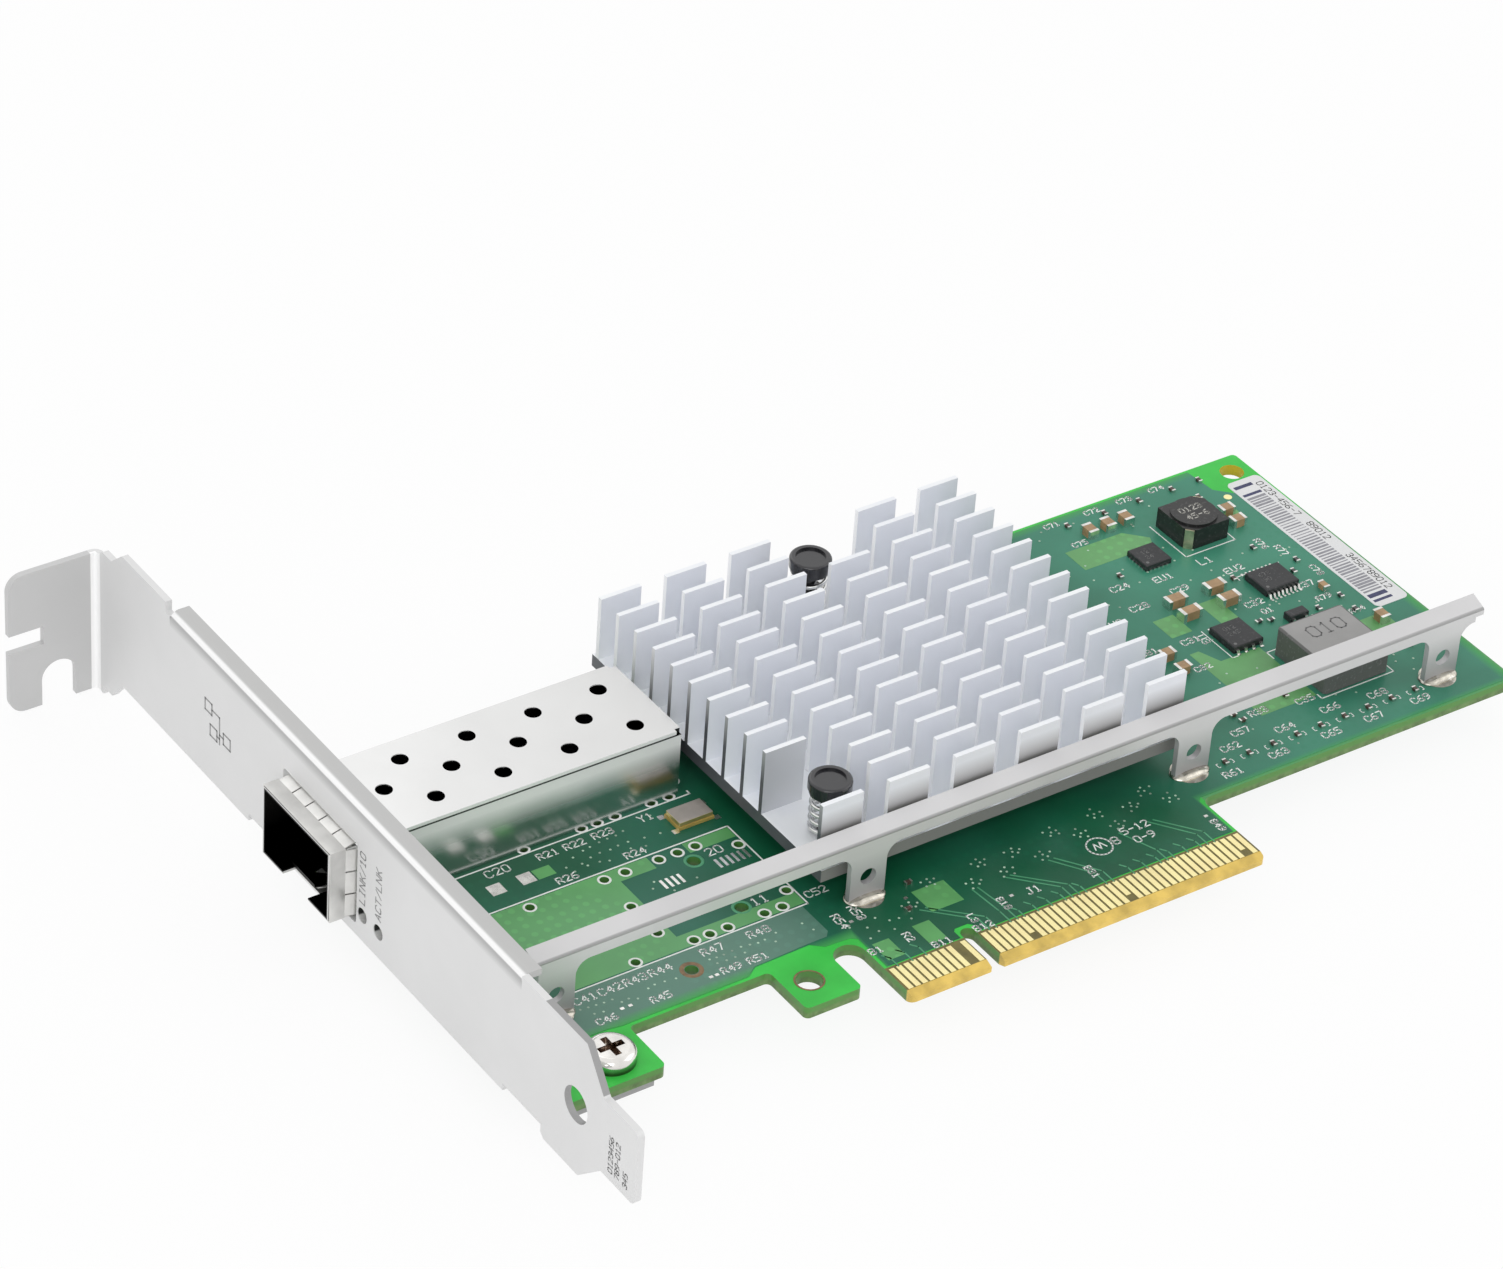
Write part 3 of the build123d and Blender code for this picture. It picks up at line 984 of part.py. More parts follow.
def gull_leads(x, y, width, height, count, pitch, lead_width, reach, sides):
    """Bent leads along the long sides of a chip: out of the body, down and flat on the board."""
    exit_z = LIFT_OFF_BOARD + height * LEAD_EXIT_SHARE
    half = width / 2
    knee = half + reach * LEAD_KNEE_SHARE
    heel = half + reach * LEAD_HEEL_SHARE
    toe = half + reach * LEAD_TOE_SHARE
    end = half + reach
    section = [
        (half, exit_z), (knee, exit_z), (toe, LEAD_SHEET), (end, LEAD_SHEET), (end, 0), (heel, 0),
        (knee - LEAD_SHEET, exit_z - LEAD_SHEET), (half, exit_z - LEAD_SHEET),
    ]
    leads = []
    for side in sides:
        for number in range(count):
            offset = (number - (count - 1) / 2) * pitch
            lead = bar_in_xz(section, -lead_width / 2, lead_width)
            turn = Rot(0, 0, 90 * side)
            leads.append(Pos(x + offset, y, 0) * turn * lead)
    return leads


def chip_body(x, y, length, width, height):
    """A moulded chip body with a bevelled top edge."""
    body = centred_block(x, y, length, width, LIFT_OFF_BOARD, height)
    return chamfer(body.faces().sort_by(Axis.Z)[-1].edges(), height * CHIP_BEVEL_SHARE)


def switch_leads():
    """The three leads of the small transistor: two in front and one behind."""
    common = (SWITCH_WIDTH, SWITCH_HEIGHT)
    lead = (SWITCH_LEAD_PITCH, SWITCH_LEAD_WIDTH, SWITCH_LEAD_REACH)
    front = gull_leads(SWITCH_X, SWITCH_Y, *common, SWITCH_FRONT_LEAD_COUNT, *lead, (-1,))
    back = gull_leads(SWITCH_X, SWITCH_Y, *common, SWITCH_BACK_LEAD_COUNT, *lead, (1,))
    return Compound(children=front + back)


def converter_pads():
    """The flat solder pads that show round the converter chip."""
    pads = []
    half = CONVERTER_SIDE / 2
    for angle in range(0, 360, 90):
        for number in range(CONVERTER_PAD_COUNT):
            offset = (number - (CONVERTER_PAD_COUNT - 1) / 2) * CONVERTER_PAD_PITCH
            foot = centred_block(half - CONVERTER_PAD_LENGTH / 2 + CONVERTER_PAD_PROUD / 2, offset,
                                 CONVERTER_PAD_LENGTH + CONVERTER_PAD_PROUD, CONVERTER_PAD_WIDTH, 0,
                                 LIFT_OFF_BOARD)
            heel = centred_block(half + CONVERTER_PAD_PROUD / 2, offset, CONVERTER_PAD_PROUD,
                                 CONVERTER_PAD_WIDTH, 0, CONVERTER_PAD_HEIGHT)
            pads.append(Pos(CONVERTER_X, CONVERTER_Y, 0) * Rot(0, 0, angle) * (foot + heel))
    return Compound(children=pads)


def crystal_base():
    """The ceramic base of the crystal."""
    return centred_block(CRYSTAL_X, CRYSTAL_Y, CRYSTAL_LENGTH, CRYSTAL_WIDTH, 0, CRYSTAL_BASE_HEIGHT)


def crystal_can():
    """The welded metal lid of the crystal."""
    length = CRYSTAL_LENGTH - 2 * CRYSTAL_CAN_INSET
    width = CRYSTAL_WIDTH - 2 * CRYSTAL_CAN_INSET
    can = centred_block(CRYSTAL_X, CRYSTAL_Y, length, width, CRYSTAL_BASE_HEIGHT, CRYSTAL_CAN_HEIGHT)
    can = fillet(can.edges().filter_by(Axis.Z), CRYSTAL_CAN_INSET)
    return fillet(can.faces().sort_by(Axis.Z)[-1].edges(), CRYSTAL_CAN_INSET / 2)


def label():
    """The paper label along the board's right edge."""
    middle = (LABEL_LEFT_X + LABEL_WIDTH / 2, LABEL_BOTTOM_Y + LABEL_LENGTH / 2)
    outline = RectangleRounded(LABEL_WIDTH, LABEL_LENGTH, LABEL_CORNER_RADIUS)
    return extrude(Pos(*middle) * outline, LABEL_THICKNESS)


def chip_block(size, x, y, along_y):
    """The ceramic block of a chip part, between its metal ends."""
    length, width, height, end = size
    block_length = length - 2 * end
    spans = (width, block_length) if along_y else (block_length, width)
    return centred_block(x, y, *spans, 0, height)


def chip_ends(size, x, y, along_y):
    """The two metal ends of a chip part."""
    length, width, height, end = size
    ends = []
    for side in (-1, 1):
        shift = side * (length - end) / 2
        across = width + 2 * TERMINAL_PROUD
        spans = (across, end) if along_y else (end, across)
        place = (x, y + shift) if along_y else (x + shift, y)
        ends.append(centred_block(*place, *spans, 0, height + TERMINAL_PROUD))
    return ends


def chip_row(start_x, y, pitch, count):
    """Places in a row along X."""
    return [(start_x + number * pitch, y) for number in range(count)]


def large_capacitors():
    """Every large ceramic capacitor, as a size, a place and whether it lies along Y."""
    parts = [(LARGE_CAPACITOR, x, y, False) for x, y in OUTPUT_CAPACITOR_PLACES]
    inputs = chip_row(INPUT_CAPACITOR_START_X, INPUT_CAPACITOR_Y, INPUT_CAPACITOR_PITCH, INPUT_CAPACITOR_COUNT)
    parts += [(MEDIUM_CAPACITOR, x, y, True) for x, y in inputs]
    parts += [(MEDIUM_CAPACITOR, x, y, False) for x, y in MEDIUM_CAPACITOR_PLACES]
    parts.append((MEDIUM_CAPACITOR, *EDGE_CAPACITOR_PLACE, True))
    parts.append((MIDDLING_CAPACITOR, *MIDDLING_CAPACITOR_PLACE, True))
    return parts


def small_capacitors():
    """Every small capacitor: the rows along the board's edges and the loose ones."""
    across = [(x, TOP_CHIPS_Y) for x in TOP_CHIPS_X]
    across += chip_row(FRONT_CHIP_START_X, FRONT_CHIP_Y, FRONT_CHIP_PITCH, FRONT_CHIP_COUNT)
    across += LOOSE_CAPACITORS_ACROSS
    parts = [(SMALL_CHIP, x, y, True) for x, y in across]
    return parts + [(SMALL_CHIP, x, y, False) for x, y in LOOSE_CAPACITORS_ALONG]


def small_resistors():
    """Every small resistor."""
    parts = [(SMALL_CHIP, x, y, True) for x, y in RESISTORS_ACROSS]
    return parts + [(SMALL_CHIP, x, y, False) for x, y in RESISTORS_ALONG]


def chip_blocks(parts):
    """The blocks of several chip parts, together."""
    return Compound(children=[chip_block(*part) for part in parts])


def chip_terminals(parts):
    """The metal ends of several chip parts, together."""
    ends = []
    for part in parts:
        ends += chip_ends(*part)
    return Compound(children=ends)


def assembly():
    """Every node of the card, by name."""
    driver = (DRIVER_X, DRIVER_Y, DRIVER_WIDTH, DRIVER_HEIGHT, DRIVER_LEAD_COUNT, DRIVER_LEAD_PITCH,
              DRIVER_LEAD_WIDTH, DRIVER_LEAD_REACH)
    memory = (MEMORY_X, MEMORY_Y, MEMORY_WIDTH, MEMORY_HEIGHT, MEMORY_LEAD_COUNT, MEMORY_LEAD_PITCH,
              MEMORY_LEAD_WIDTH, MEMORY_LEAD_REACH)
    both_sides = (-1, 1)
    return {
        "circuit_board": circuit_board(),
        "edge_contacts_front": contact_row(0, 1, SHORT_CONTACTS, (MISSING_CONTACT,)),
        "edge_contacts_back": contact_row(BOARD_BACK_Z, -1, (1,), ()),
        "bracket": bracket(),
        "bracket_screws": group(bracket_screw, screw_places()),
        "stiffener_rail": stiffener_rail(),
        "rail_solder": rail_solder(),
        "port_cage": port_cage(),
        "spring_collar": spring_collar(),
        "host_connector": host_connector(),
        "host_contacts": Compound(children=host_contact_shapes(0)),
        "status_lights": status_lights(),
        "light_domes": light_domes(),
        "heatsink": heatsink(),
        "thermal_pad": thermal_pad(),
        "controller_lid": controller_lid(),
        "controller_substrate": controller_substrate(),
        "controller_balls": controller_balls(),
        "push_pins": group(push_pin, PUSH_PIN_POSITIONS),
        "push_pin_springs": group(pin_spring, PUSH_PIN_POSITIONS),
        "power_coil": power_coil_body(),
        "power_coil_clips": end_clips(POWER_COIL_X, POWER_COIL_Y, POWER_COIL_CLIP_REACH, POWER_COIL_CLIP_WIDTH,
                                      POWER_COIL_CLIP_THICKNESS, POWER_COIL_HEIGHT, POWER_COIL_CLIP_TURN),
        "core_coil": core_coil_body(),
        "core_coil_clips": end_clips(CORE_COIL_X, CORE_COIL_Y, CORE_COIL_SIDE / 2, CORE_COIL_CLIP_WIDTH,
                                     CORE_COIL_CLIP_THICKNESS, CORE_COIL_CLIP_HEIGHT, 0),
        "driver_chip": chip_body(DRIVER_X, DRIVER_Y, DRIVER_LENGTH, DRIVER_WIDTH, DRIVER_HEIGHT),
        "driver_leads": Compound(children=gull_leads(*driver, both_sides)),
        "memory_chip": chip_body(MEMORY_X, MEMORY_Y, MEMORY_LENGTH, MEMORY_WIDTH, MEMORY_HEIGHT),
        "memory_leads": Compound(children=gull_leads(*memory, both_sides)),
        "converter_chip": chip_body(CONVERTER_X, CONVERTER_Y, CONVERTER_SIDE, CONVERTER_SIDE, CONVERTER_HEIGHT),
        "converter_pads": converter_pads(),
        "switch_transistor": chip_body(SWITCH_X, SWITCH_Y, SWITCH_LENGTH, SWITCH_WIDTH, SWITCH_HEIGHT),
        "switch_leads": switch_leads(),
        "crystal_base": crystal_base(),
        "crystal_can": crystal_can(),
        "large_capacitors": chip_blocks(large_capacitors()),
        "large_capacitor_ends": chip_terminals(large_capacitors()),
        "small_capacitors": chip_blocks(small_capacitors()),
        "small_capacitor_ends": chip_terminals(small_capacitors()),
        "small_resistors": chip_blocks(small_resistors()),
        "small_resistor_ends": chip_terminals(small_resistors()),
        "label": label(),
    }


os.makedirs("parts", exist_ok=True)
for name, shape in assembly().items():
    export_step(shape, f"parts/{name}.step")
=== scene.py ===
"""Network interface card: the dressed model, with its finishes, board artwork, printing, lights and camera."""
from __future__ import annotations

import json
import logging
import math
import random
from dataclasses import dataclass, field
from enum import Enum
from typing import Iterable, Sequence

import bmesh
import bpy
from mathutils import Matrix, Vector
from mathutils.geometry import tessellate_polygon

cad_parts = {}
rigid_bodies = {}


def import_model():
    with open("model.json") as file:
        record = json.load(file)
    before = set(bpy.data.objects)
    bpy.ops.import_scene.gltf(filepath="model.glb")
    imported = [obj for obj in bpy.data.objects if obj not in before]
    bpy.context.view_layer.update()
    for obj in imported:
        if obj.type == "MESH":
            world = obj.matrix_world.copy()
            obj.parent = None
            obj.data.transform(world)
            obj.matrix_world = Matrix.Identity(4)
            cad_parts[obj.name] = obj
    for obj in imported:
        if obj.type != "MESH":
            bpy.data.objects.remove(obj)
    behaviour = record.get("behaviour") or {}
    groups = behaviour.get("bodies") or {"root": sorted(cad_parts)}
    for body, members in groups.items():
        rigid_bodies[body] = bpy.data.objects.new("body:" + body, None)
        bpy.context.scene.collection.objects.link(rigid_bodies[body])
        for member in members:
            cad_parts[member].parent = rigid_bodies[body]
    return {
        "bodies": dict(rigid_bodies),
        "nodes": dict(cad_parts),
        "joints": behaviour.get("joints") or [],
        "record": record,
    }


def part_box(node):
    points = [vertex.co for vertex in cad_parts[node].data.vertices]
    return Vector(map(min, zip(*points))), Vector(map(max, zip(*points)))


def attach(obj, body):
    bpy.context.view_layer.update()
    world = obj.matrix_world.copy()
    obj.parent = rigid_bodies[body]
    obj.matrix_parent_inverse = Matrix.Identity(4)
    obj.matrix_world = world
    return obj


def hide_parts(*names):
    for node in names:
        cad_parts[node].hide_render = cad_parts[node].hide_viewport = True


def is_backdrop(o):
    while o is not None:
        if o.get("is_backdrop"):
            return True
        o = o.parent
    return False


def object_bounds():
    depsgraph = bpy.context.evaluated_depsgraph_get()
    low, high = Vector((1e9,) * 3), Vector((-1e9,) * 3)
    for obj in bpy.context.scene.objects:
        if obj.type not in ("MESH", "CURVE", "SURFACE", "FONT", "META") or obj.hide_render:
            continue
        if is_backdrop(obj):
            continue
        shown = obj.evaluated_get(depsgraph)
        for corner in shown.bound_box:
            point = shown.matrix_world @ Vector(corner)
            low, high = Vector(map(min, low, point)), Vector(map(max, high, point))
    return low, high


LOG = logging.getLogger("card")
MM = 0.001
BODY = "root"

Point = tuple[float, float]
Span = tuple[float, float]
Place = tuple[float, float, float]
Colour = tuple[float, float, float]
Socket = bpy.types.NodeSocket

NUMBER = "NodeSocketFloat"
COUNT = "NodeSocketInt"
TINT = "NodeSocketColor"
VECTOR = "NodeSocketVector"
WHITE = (1.0, 1.0, 1.0, 1.0)

BOARD_THICKNESS = 1.57
BRACKET_FACE_X = -59.5
RAIL_LEGS: tuple[Point, ...] = ((-49.3, 17.6), (-6.5, 17.6), (41.3, 17.6), (80.2, 17.6))


class Grainway(Enum):
    """The direction in which a metal sheet was rolled or brushed."""

    NONE = (1.0, 1.0, 1.0)
    ALONG_X = (0.04, 1.0, 1.0)
    ALONG_Y = (1.0, 0.04, 1.0)


class Side(Enum):
    """The two faces of the board, as the sign of the outward direction."""

    FRONT = 1.0
    BACK = -1.0


# Node drawing


def rgba(colour: Colour) -> tuple[float, float, float, float]:
    """The colour with full opacity."""
    return (*colour, 1.0)


def shifted(colour: Colour, factor: float) -> Colour:
    """The colour made lighter or darker by a factor, held at white."""
    return tuple(min(1.0, channel * factor) for channel in colour)


def add_inputs(tree: bpy.types.NodeTree, inputs: dict[str, tuple[str, object]]) -> None:
    """Gives a tree its named inputs.

    Args:
        tree: the shader or geometry tree.
        inputs: each input's socket type and starting value.
    """
    for label, (kind, start) in inputs.items():
        socket = tree.interface.new_socket(label, in_out="INPUT", socket_type=kind)
        if start is not None:
            socket.default_value = start


class NodePen:
    """Draws nodes and links in one node tree."""

    def __init__(self, tree: bpy.types.NodeTree) -> None:
        """Keeps the tree that is drawn in."""
        self.tree = tree

    def node(self, kind: str, **settings: object) -> bpy.types.Node:
        """Adds a node.

        Args:
            kind: the node's type name.
            settings: properties to set on the node.

        Returns:
            The new node.
        """
        made = self.tree.nodes.new(kind)
        for name, value in settings.items():
            setattr(made, name, value)
        return made

    def feed(self, socket: Socket, source: object) -> None:
        """Links an output to a socket, or sets the socket's own value.

        Args:
            socket: the input socket.
            source: an output socket, or a plain value.
        """
        if isinstance(source, Socket):
            self.tree.links.new(source, socket)
        else:
            socket.default_value = source

    def fill(self, node: bpy.types.Node, inputs: dict[str, object]) -> bpy.types.Node:
        """Feeds several inputs of a node.

        Args:
            node: the node.
            inputs: the value or output for each input, by name.

        Returns:
            The same node.
        """
        for name, source in inputs.items():
            self.feed(node.inputs[name], source)
        return node

    def math(self, operation: str, first: object, second: object = 0.0, clamp: bool = False) -> Socket:
        """Adds a math node.

        Args:
            operation: the operation's name.
            first: the first value or output.
            second: the second value or output.
            clamp: whether the result is held between 0 and 1.

        Returns:
            The result's socket.
        """
        made = self.node("ShaderNodeMath", operation=operation, use_clamp=clamp)
        self.feed(made.inputs[0], first)
        self.feed(made.inputs[1], second)
        return made.outputs[0]

    def product(self, first: Socket, *others: Socket) -> Socket:
        """Multiplies masks, so that the result shows only where all of them do.

        Args:
            first: the first mask.
            others: the masks to multiply it by.

        Returns:
            The product's socket.
        """
        for other in others:
            first = self.math("MULTIPLY", first, other)
        return first

    def blend(self, share: object, low: Socket | Colour, high: Socket | Colour) -> Socket:
        """Mixes two colours.

        Args:
            share: how much of the second colour shows.
            low: the first colour.
            high: the second colour.

        Returns:
            The mixed colour's socket.
        """
        made = self.node("ShaderNodeMix", data_type="RGBA")
        self.feed(made.inputs[0], share)
        for socket, colour in ((made.inputs[6], low), (made.inputs[7], high)):
            self.feed(socket, rgba(colour) if isinstance(colour, tuple) else colour)
        return made.outputs[2]

    def spread(self, value: object, low: float, high: float, to_low: float = 0.0, to_high: float = 1.0) -> Socket:
        """Maps a value from one range to another, held at its ends.

        Args:
            value: the value or output to map.
            low: the start of the range it comes from.
            high: the end of the range it comes from.
            to_low: the start of the range it goes to.
            to_high: the end of the range it goes to.

        Returns:
            The mapped value's socket.
        """
        made = self.node("ShaderNodeMapRange")
        self.feed(made.inputs[0], value)
        for index, number in enumerate((low, high, to_low, to_high), start=1):
            made.inputs[index].default_value = number
        return made.outputs[0]

    def noise(self, place: Socket, scale: object, detail: float = 3.0) -> Socket:
        """Adds a noise texture.

        Args:
            place: the coordinates' socket.
            scale: the noise's scale, as a value or output.
            detail: how many finer layers it has.

        Returns:
            The noise value's socket.
        """
        made = self.node("ShaderNodeTexNoise")
        return self.fill(made, {"Vector": place, "Scale": scale, "Detail": detail}).outputs["Fac"]

    def vector(self, operation: str, first: Socket, second: Socket | None = None) -> Socket:
        """Adds a vector math node.

        Args:
            operation: the operation's name.
            first: the first vector.
            second: the second vector, where the operation has one.

        Returns:
            The result's socket.
        """
        made = self.node("ShaderNodeVectorMath", operation=operation)
        self.feed(made.inputs[0], first)
        if second is not None:
            self.feed(made.inputs[1], second)
        return made.outputs[0]

    def parts(self, vector: Socket) -> Sequence[Socket]:
        """Splits a vector.

        Args:
            vector: the vector's socket.

        Returns:
            The sockets of its X, Y and Z.
        """
        split = self.node("ShaderNodeSeparateXYZ")
        self.feed(split.inputs[0], vector)
        return split.outputs


class SharedEffects:
    """The shader groups that several finishes use, each built once."""

    def __init__(self) -> None:
        """Builds the four groups."""
        self.drift = self._drift()
        self.grain = self._grain()
        self.streaks = self._streaks()
        self.zone = self._zone()

    @staticmethod
    def _group(name: str, inputs: dict[str, tuple[str, object]],
               outputs: dict[str, str]) -> tuple[NodePen, Sequence[Socket], Sequence[Socket]]:
        """Makes an empty group with named sockets.

        Args:
            name: the group's name.
            inputs: each input's socket type and starting value.
            outputs: each output's socket type.

        Returns:
            The pen on the group's tree, the sockets that come in and those that go out.
        """
        tree = bpy.data.node_groups.new(name, "ShaderNodeTree")
        add_inputs(tree, inputs)
        for label, kind in outputs.items():
            tree.interface.new_socket(label, in_out="OUTPUT", socket_type=kind)
        pen = NodePen(tree)
        return pen, pen.node("NodeGroupInput").outputs, pen.node("NodeGroupOutput").inputs

    def _drift(self) -> bpy.types.NodeTree:
        """Slow changes of tone between two colours over a surface.

        Returns:
            The group's tree.
        """
        pen, given, result = self._group(
            "tone drift",
            {"Place": (VECTOR, None), "Low": (TINT, (0.5, 0.5, 0.5, 1.0)), "High": (TINT, (0.6, 0.6, 0.6, 1.0)),
             "Scale": (NUMBER, 60.0)},
            {"Colour": TINT, "Mask": NUMBER},
        )
        mask = pen.spread(pen.noise(given["Place"], given["Scale"], 4.0), 0.35, 0.65)
        pen.feed(result["Colour"], pen.blend(mask, given["Low"], given["High"]))
        pen.feed(result["Mask"], mask)
        return pen.tree

    def _grain(self) -> bpy.types.NodeTree:
        """Fine grain, as on a moulded or cast skin, with a roughness that follows it.

        Returns:
            The group's tree.
        """
        pen, given, result = self._group(
            "fine grain",
            {"Place": (VECTOR, None), "Scale": (NUMBER, 3000.0), "Roughness": (NUMBER, 0.5), "Swing": (NUMBER, 0.1)},
            {"Height": NUMBER, "Roughness": NUMBER},
        )
        fine = pen.noise(given["Place"], given["Scale"], 2.0)
        coarse = pen.noise(given["Place"], pen.math("MULTIPLY", given["Scale"], 0.13), 2.0)
        offset = pen.math("MULTIPLY", pen.math("SUBTRACT", coarse, 0.5), given["Swing"])
        pen.feed(result["Height"], fine)
        pen.feed(result["Roughness"], pen.math("ADD", given["Roughness"], offset, clamp=True))
        return pen.tree

    def _streaks(self) -> bpy.types.NodeTree:
        """Long fine lines, as rolling or brushing leaves in sheet metal.

        Returns:
            The group's tree.
        """
        pen, given, result = self._group(
            "rolling streaks",
            {"Place": (VECTOR, None), "Stretch": (VECTOR, (1.0, 1.0, 1.0)), "Scale": (NUMBER, 2500.0)},
            {"Height": NUMBER},
        )
        stretched = pen.vector("MULTIPLY", given["Place"], given["Stretch"])
        pen.feed(result["Height"], pen.noise(stretched, given["Scale"], 2.0))
        return pen.tree

    def _zone(self) -> bpy.types.NodeTree:
        """A mask that is 1 inside a box in X and Y, with a soft border.

        Returns:
            The group's tree.
        """
        pen, given, result = self._group(
            "board zone",
            {"Place": (VECTOR, None), "Centre": (VECTOR, (0.0, 0.0, 0.0)), "Half size": (VECTOR, (0.01, 0.01, 0.0)),
             "Softness": (NUMBER, 0.0005)},
            {"Mask": NUMBER},
        )
        size = pen.vector("ABSOLUTE", pen.vector("SUBTRACT", given["Place"], given["Centre"]))
        x, y, _ = pen.parts(pen.vector("SUBTRACT", given["Half size"], size))
        share = pen.math("DIVIDE", pen.math("MINIMUM", x, y), given["Softness"])
        pen.feed(result["Mask"], pen.math("ADD", share, 0.5, clamp=True))
        return pen.tree


class SurfacePen(NodePen):
    """Draws a material with the shared effects, in the object's own coordinates. Its lengths are in mm."""

    def __init__(self, tree: bpy.types.NodeTree, effects: SharedEffects) -> None:
        """Starts on a material's tree.

        Args:
            tree: the material's tree.
            effects: the shared shader groups.
        """
        super().__init__(tree)
        self.effects = effects
        self.place = self.node("ShaderNodeTexCoord").outputs["Object"]

    def group(self, tree: bpy.types.NodeTree, inputs: dict[str, object]) -> Sequence[Socket]:
        """Places a shared group.

        Args:
            tree: the group's tree.
            inputs: the value or output for each input but the coordinates.

        Returns:
            The group's outputs.
        """
        return self.fill(self.node("ShaderNodeGroup", node_tree=tree), {"Place": self.place, **inputs}).outputs

    def toned(self, colour: Colour, drift: float, scale: float) -> Socket:
        """One colour with slow changes of tone.

        Args:
            colour: the middle colour.
            drift: how far the tone goes each way.
            scale: the scale of the changes.

        Returns:
            The colour's socket.
        """
        low, high = rgba(shifted(colour, 1.0 - drift)), rgba(shifted(colour, 1.0 + drift))
        return self.group(self.effects.drift, {"Low": low, "High": high, "Scale": scale})["Colour"]

    def boxed(self, low: Point, high: Point, softness: float) -> Socket:
        """A mask that is 1 inside a rectangle seen from above.

        Args:
            low: the rectangle's lower corner.
            high: the rectangle's upper corner.
            softness: the width of the soft border.

        Returns:
            The mask's socket.
        """
        return self.group(self.effects.zone, {
            "Centre": ((low[0] + high[0]) / 2 * MM, (low[1] + high[1]) / 2 * MM, 0.0),
            "Half size": ((high[0] - low[0]) / 2 * MM, (high[1] - low[1]) / 2 * MM, 0.0),
            "Softness": softness * MM,
        })["Mask"]

    def ramp(self, length: Socket, low: float, high: float, start: float = 0.0, end: float = 1.0) -> Socket:
        """Turns a length into a share that changes between two limits.

        Args:
            length: the length's socket.
            low: the lower limit.
            high: the upper limit.
            start: the share up to the lower limit.
            end: the share from the upper limit on.

        Returns:
            The share's socket.
        """
        return self.spread(length, low * MM, high * MM, start, end)

    def between(self, length: Socket, low: float, high: float, softness: float) -> Socket:
        """A mask that is 1 where a length lies between two limits.

        Args:
            length: the length's socket.
            low: the lower limit.
            high: the upper limit.
            softness: the width of each soft border.

        Returns:
            The mask's socket.
        """
        rising = self.ramp(length, low - softness, low)
        return self.product(rising, self.ramp(length, high, high + softness, 1.0, 0.0))

    def axes(self) -> Sequence[Socket]:
        """The sockets of the place's X, Y and Z."""
        return self.parts(self.place)

    def facing(self) -> Sequence[Socket]:
        """The sockets of the normal's X, Y and Z, in the object's own axes."""
        return self.parts(self.node("ShaderNodeTexCoord").outputs["Normal"])

    def relief(self, height: Socket, strength: float, depth: float, under: Socket | None = None) -> Socket:
        """Turns a height into a normal.

        Args:
            height: the height's socket.
            strength: how strongly it shows.
            depth: how deep it is.
            under: the normal that it is laid on, where there is one.

        Returns:
            The normal's socket.
        """
        bump = self.node("ShaderNodeBump")
        self.fill(bump, {"Strength": strength, "Distance": depth * MM, "Height": height})
        if under is not None:
            self.feed(bump.inputs["Normal"], under)
        return bump.outputs["Normal"]


# Finishes


@dataclass(frozen=True)
class Finish:
    """A plain surface with tone drift, grain and, on sheet metal, rolling streaks."""

    name: str
    colour: Colour
    roughness: float = 0.5
    metallic: float = 0.0
    drift: float = 0.08
    drift_scale: float = 70.0
    swing: float = 0.12
    grain_scale: float = 3000.0
    grain_depth: float = 0.06
    grainway: Grainway = Grainway.NONE
    streak_depth: float = 0.0
    specular: float = 0.5
    coat: float = 0.0
    coat_roughness: float = 0.12
    transmission: float = 0.0

    def build(self, effects: SharedEffects) -> bpy.types.Material:
        """Makes the material.

        Args:
            effects: the shared shader groups.

        Returns:
            The finished material.
        """
        material = bpy.data.materials.new(self.name)
        material.use_nodes = True
        pen = SurfacePen(material.node_tree, effects)
        grain = pen.group(effects.grain, {
            "Scale": self.grain_scale, "Roughness": self.roughness, "Swing": self.swing,
        })
        normal = pen.relief(grain["Height"], self.grain_depth, 0.02)
        if self.streak_depth > 0.0:
            streaks = pen.group(effects.streaks, {"Stretch": self.grainway.value})
            normal = pen.relief(streaks["Height"], self.streak_depth, 0.01, normal)
        pen.fill(material.node_tree.nodes["Principled BSDF"], {
            "Base Color": self.paint(pen), "Metallic": self.shine(pen), "Roughness": grain["Roughness"],
            "Specular IOR Level": self.specular, "Coat Weight": self.coat, "Coat Roughness": self.coat_roughness,
            "Transmission Weight": self.transmission, "Normal": normal,
        })
        return material

    def paint(self, pen: SurfacePen) -> Socket:
        """The surface's colour, with slow changes of tone."""
        return pen.toned(self.colour, self.drift, self.drift_scale)

    def shine(self, pen: SurfacePen) -> Socket | float:
        """How metallic the surface is."""
        return self.metallic


@dataclass(frozen=True)
class CageShade:
    """Where the port's cage keeps the light from the board."""

    low: Point = (-58.4, 44.8)
    high: Point = (-14.8, 58.8)
    depth: float = -1.4
    softness: float = 0.1
    colour: Colour = (0.006, 0.006, 0.006)

    def over(self, pen: SurfacePen, colour: Socket) -> Socket:
        """Darkens a colour inside the cage.

        Args:
            pen: the pen on the material's tree.
            colour: the colour outside the cage.

        Returns:
            The colour's socket.
        """
        above = pen.ramp(pen.axes()[2], self.depth, self.depth + 0.05)
        return pen.blend(pen.product(above, pen.boxed(self.low, self.high, self.softness)), colour, self.colour)


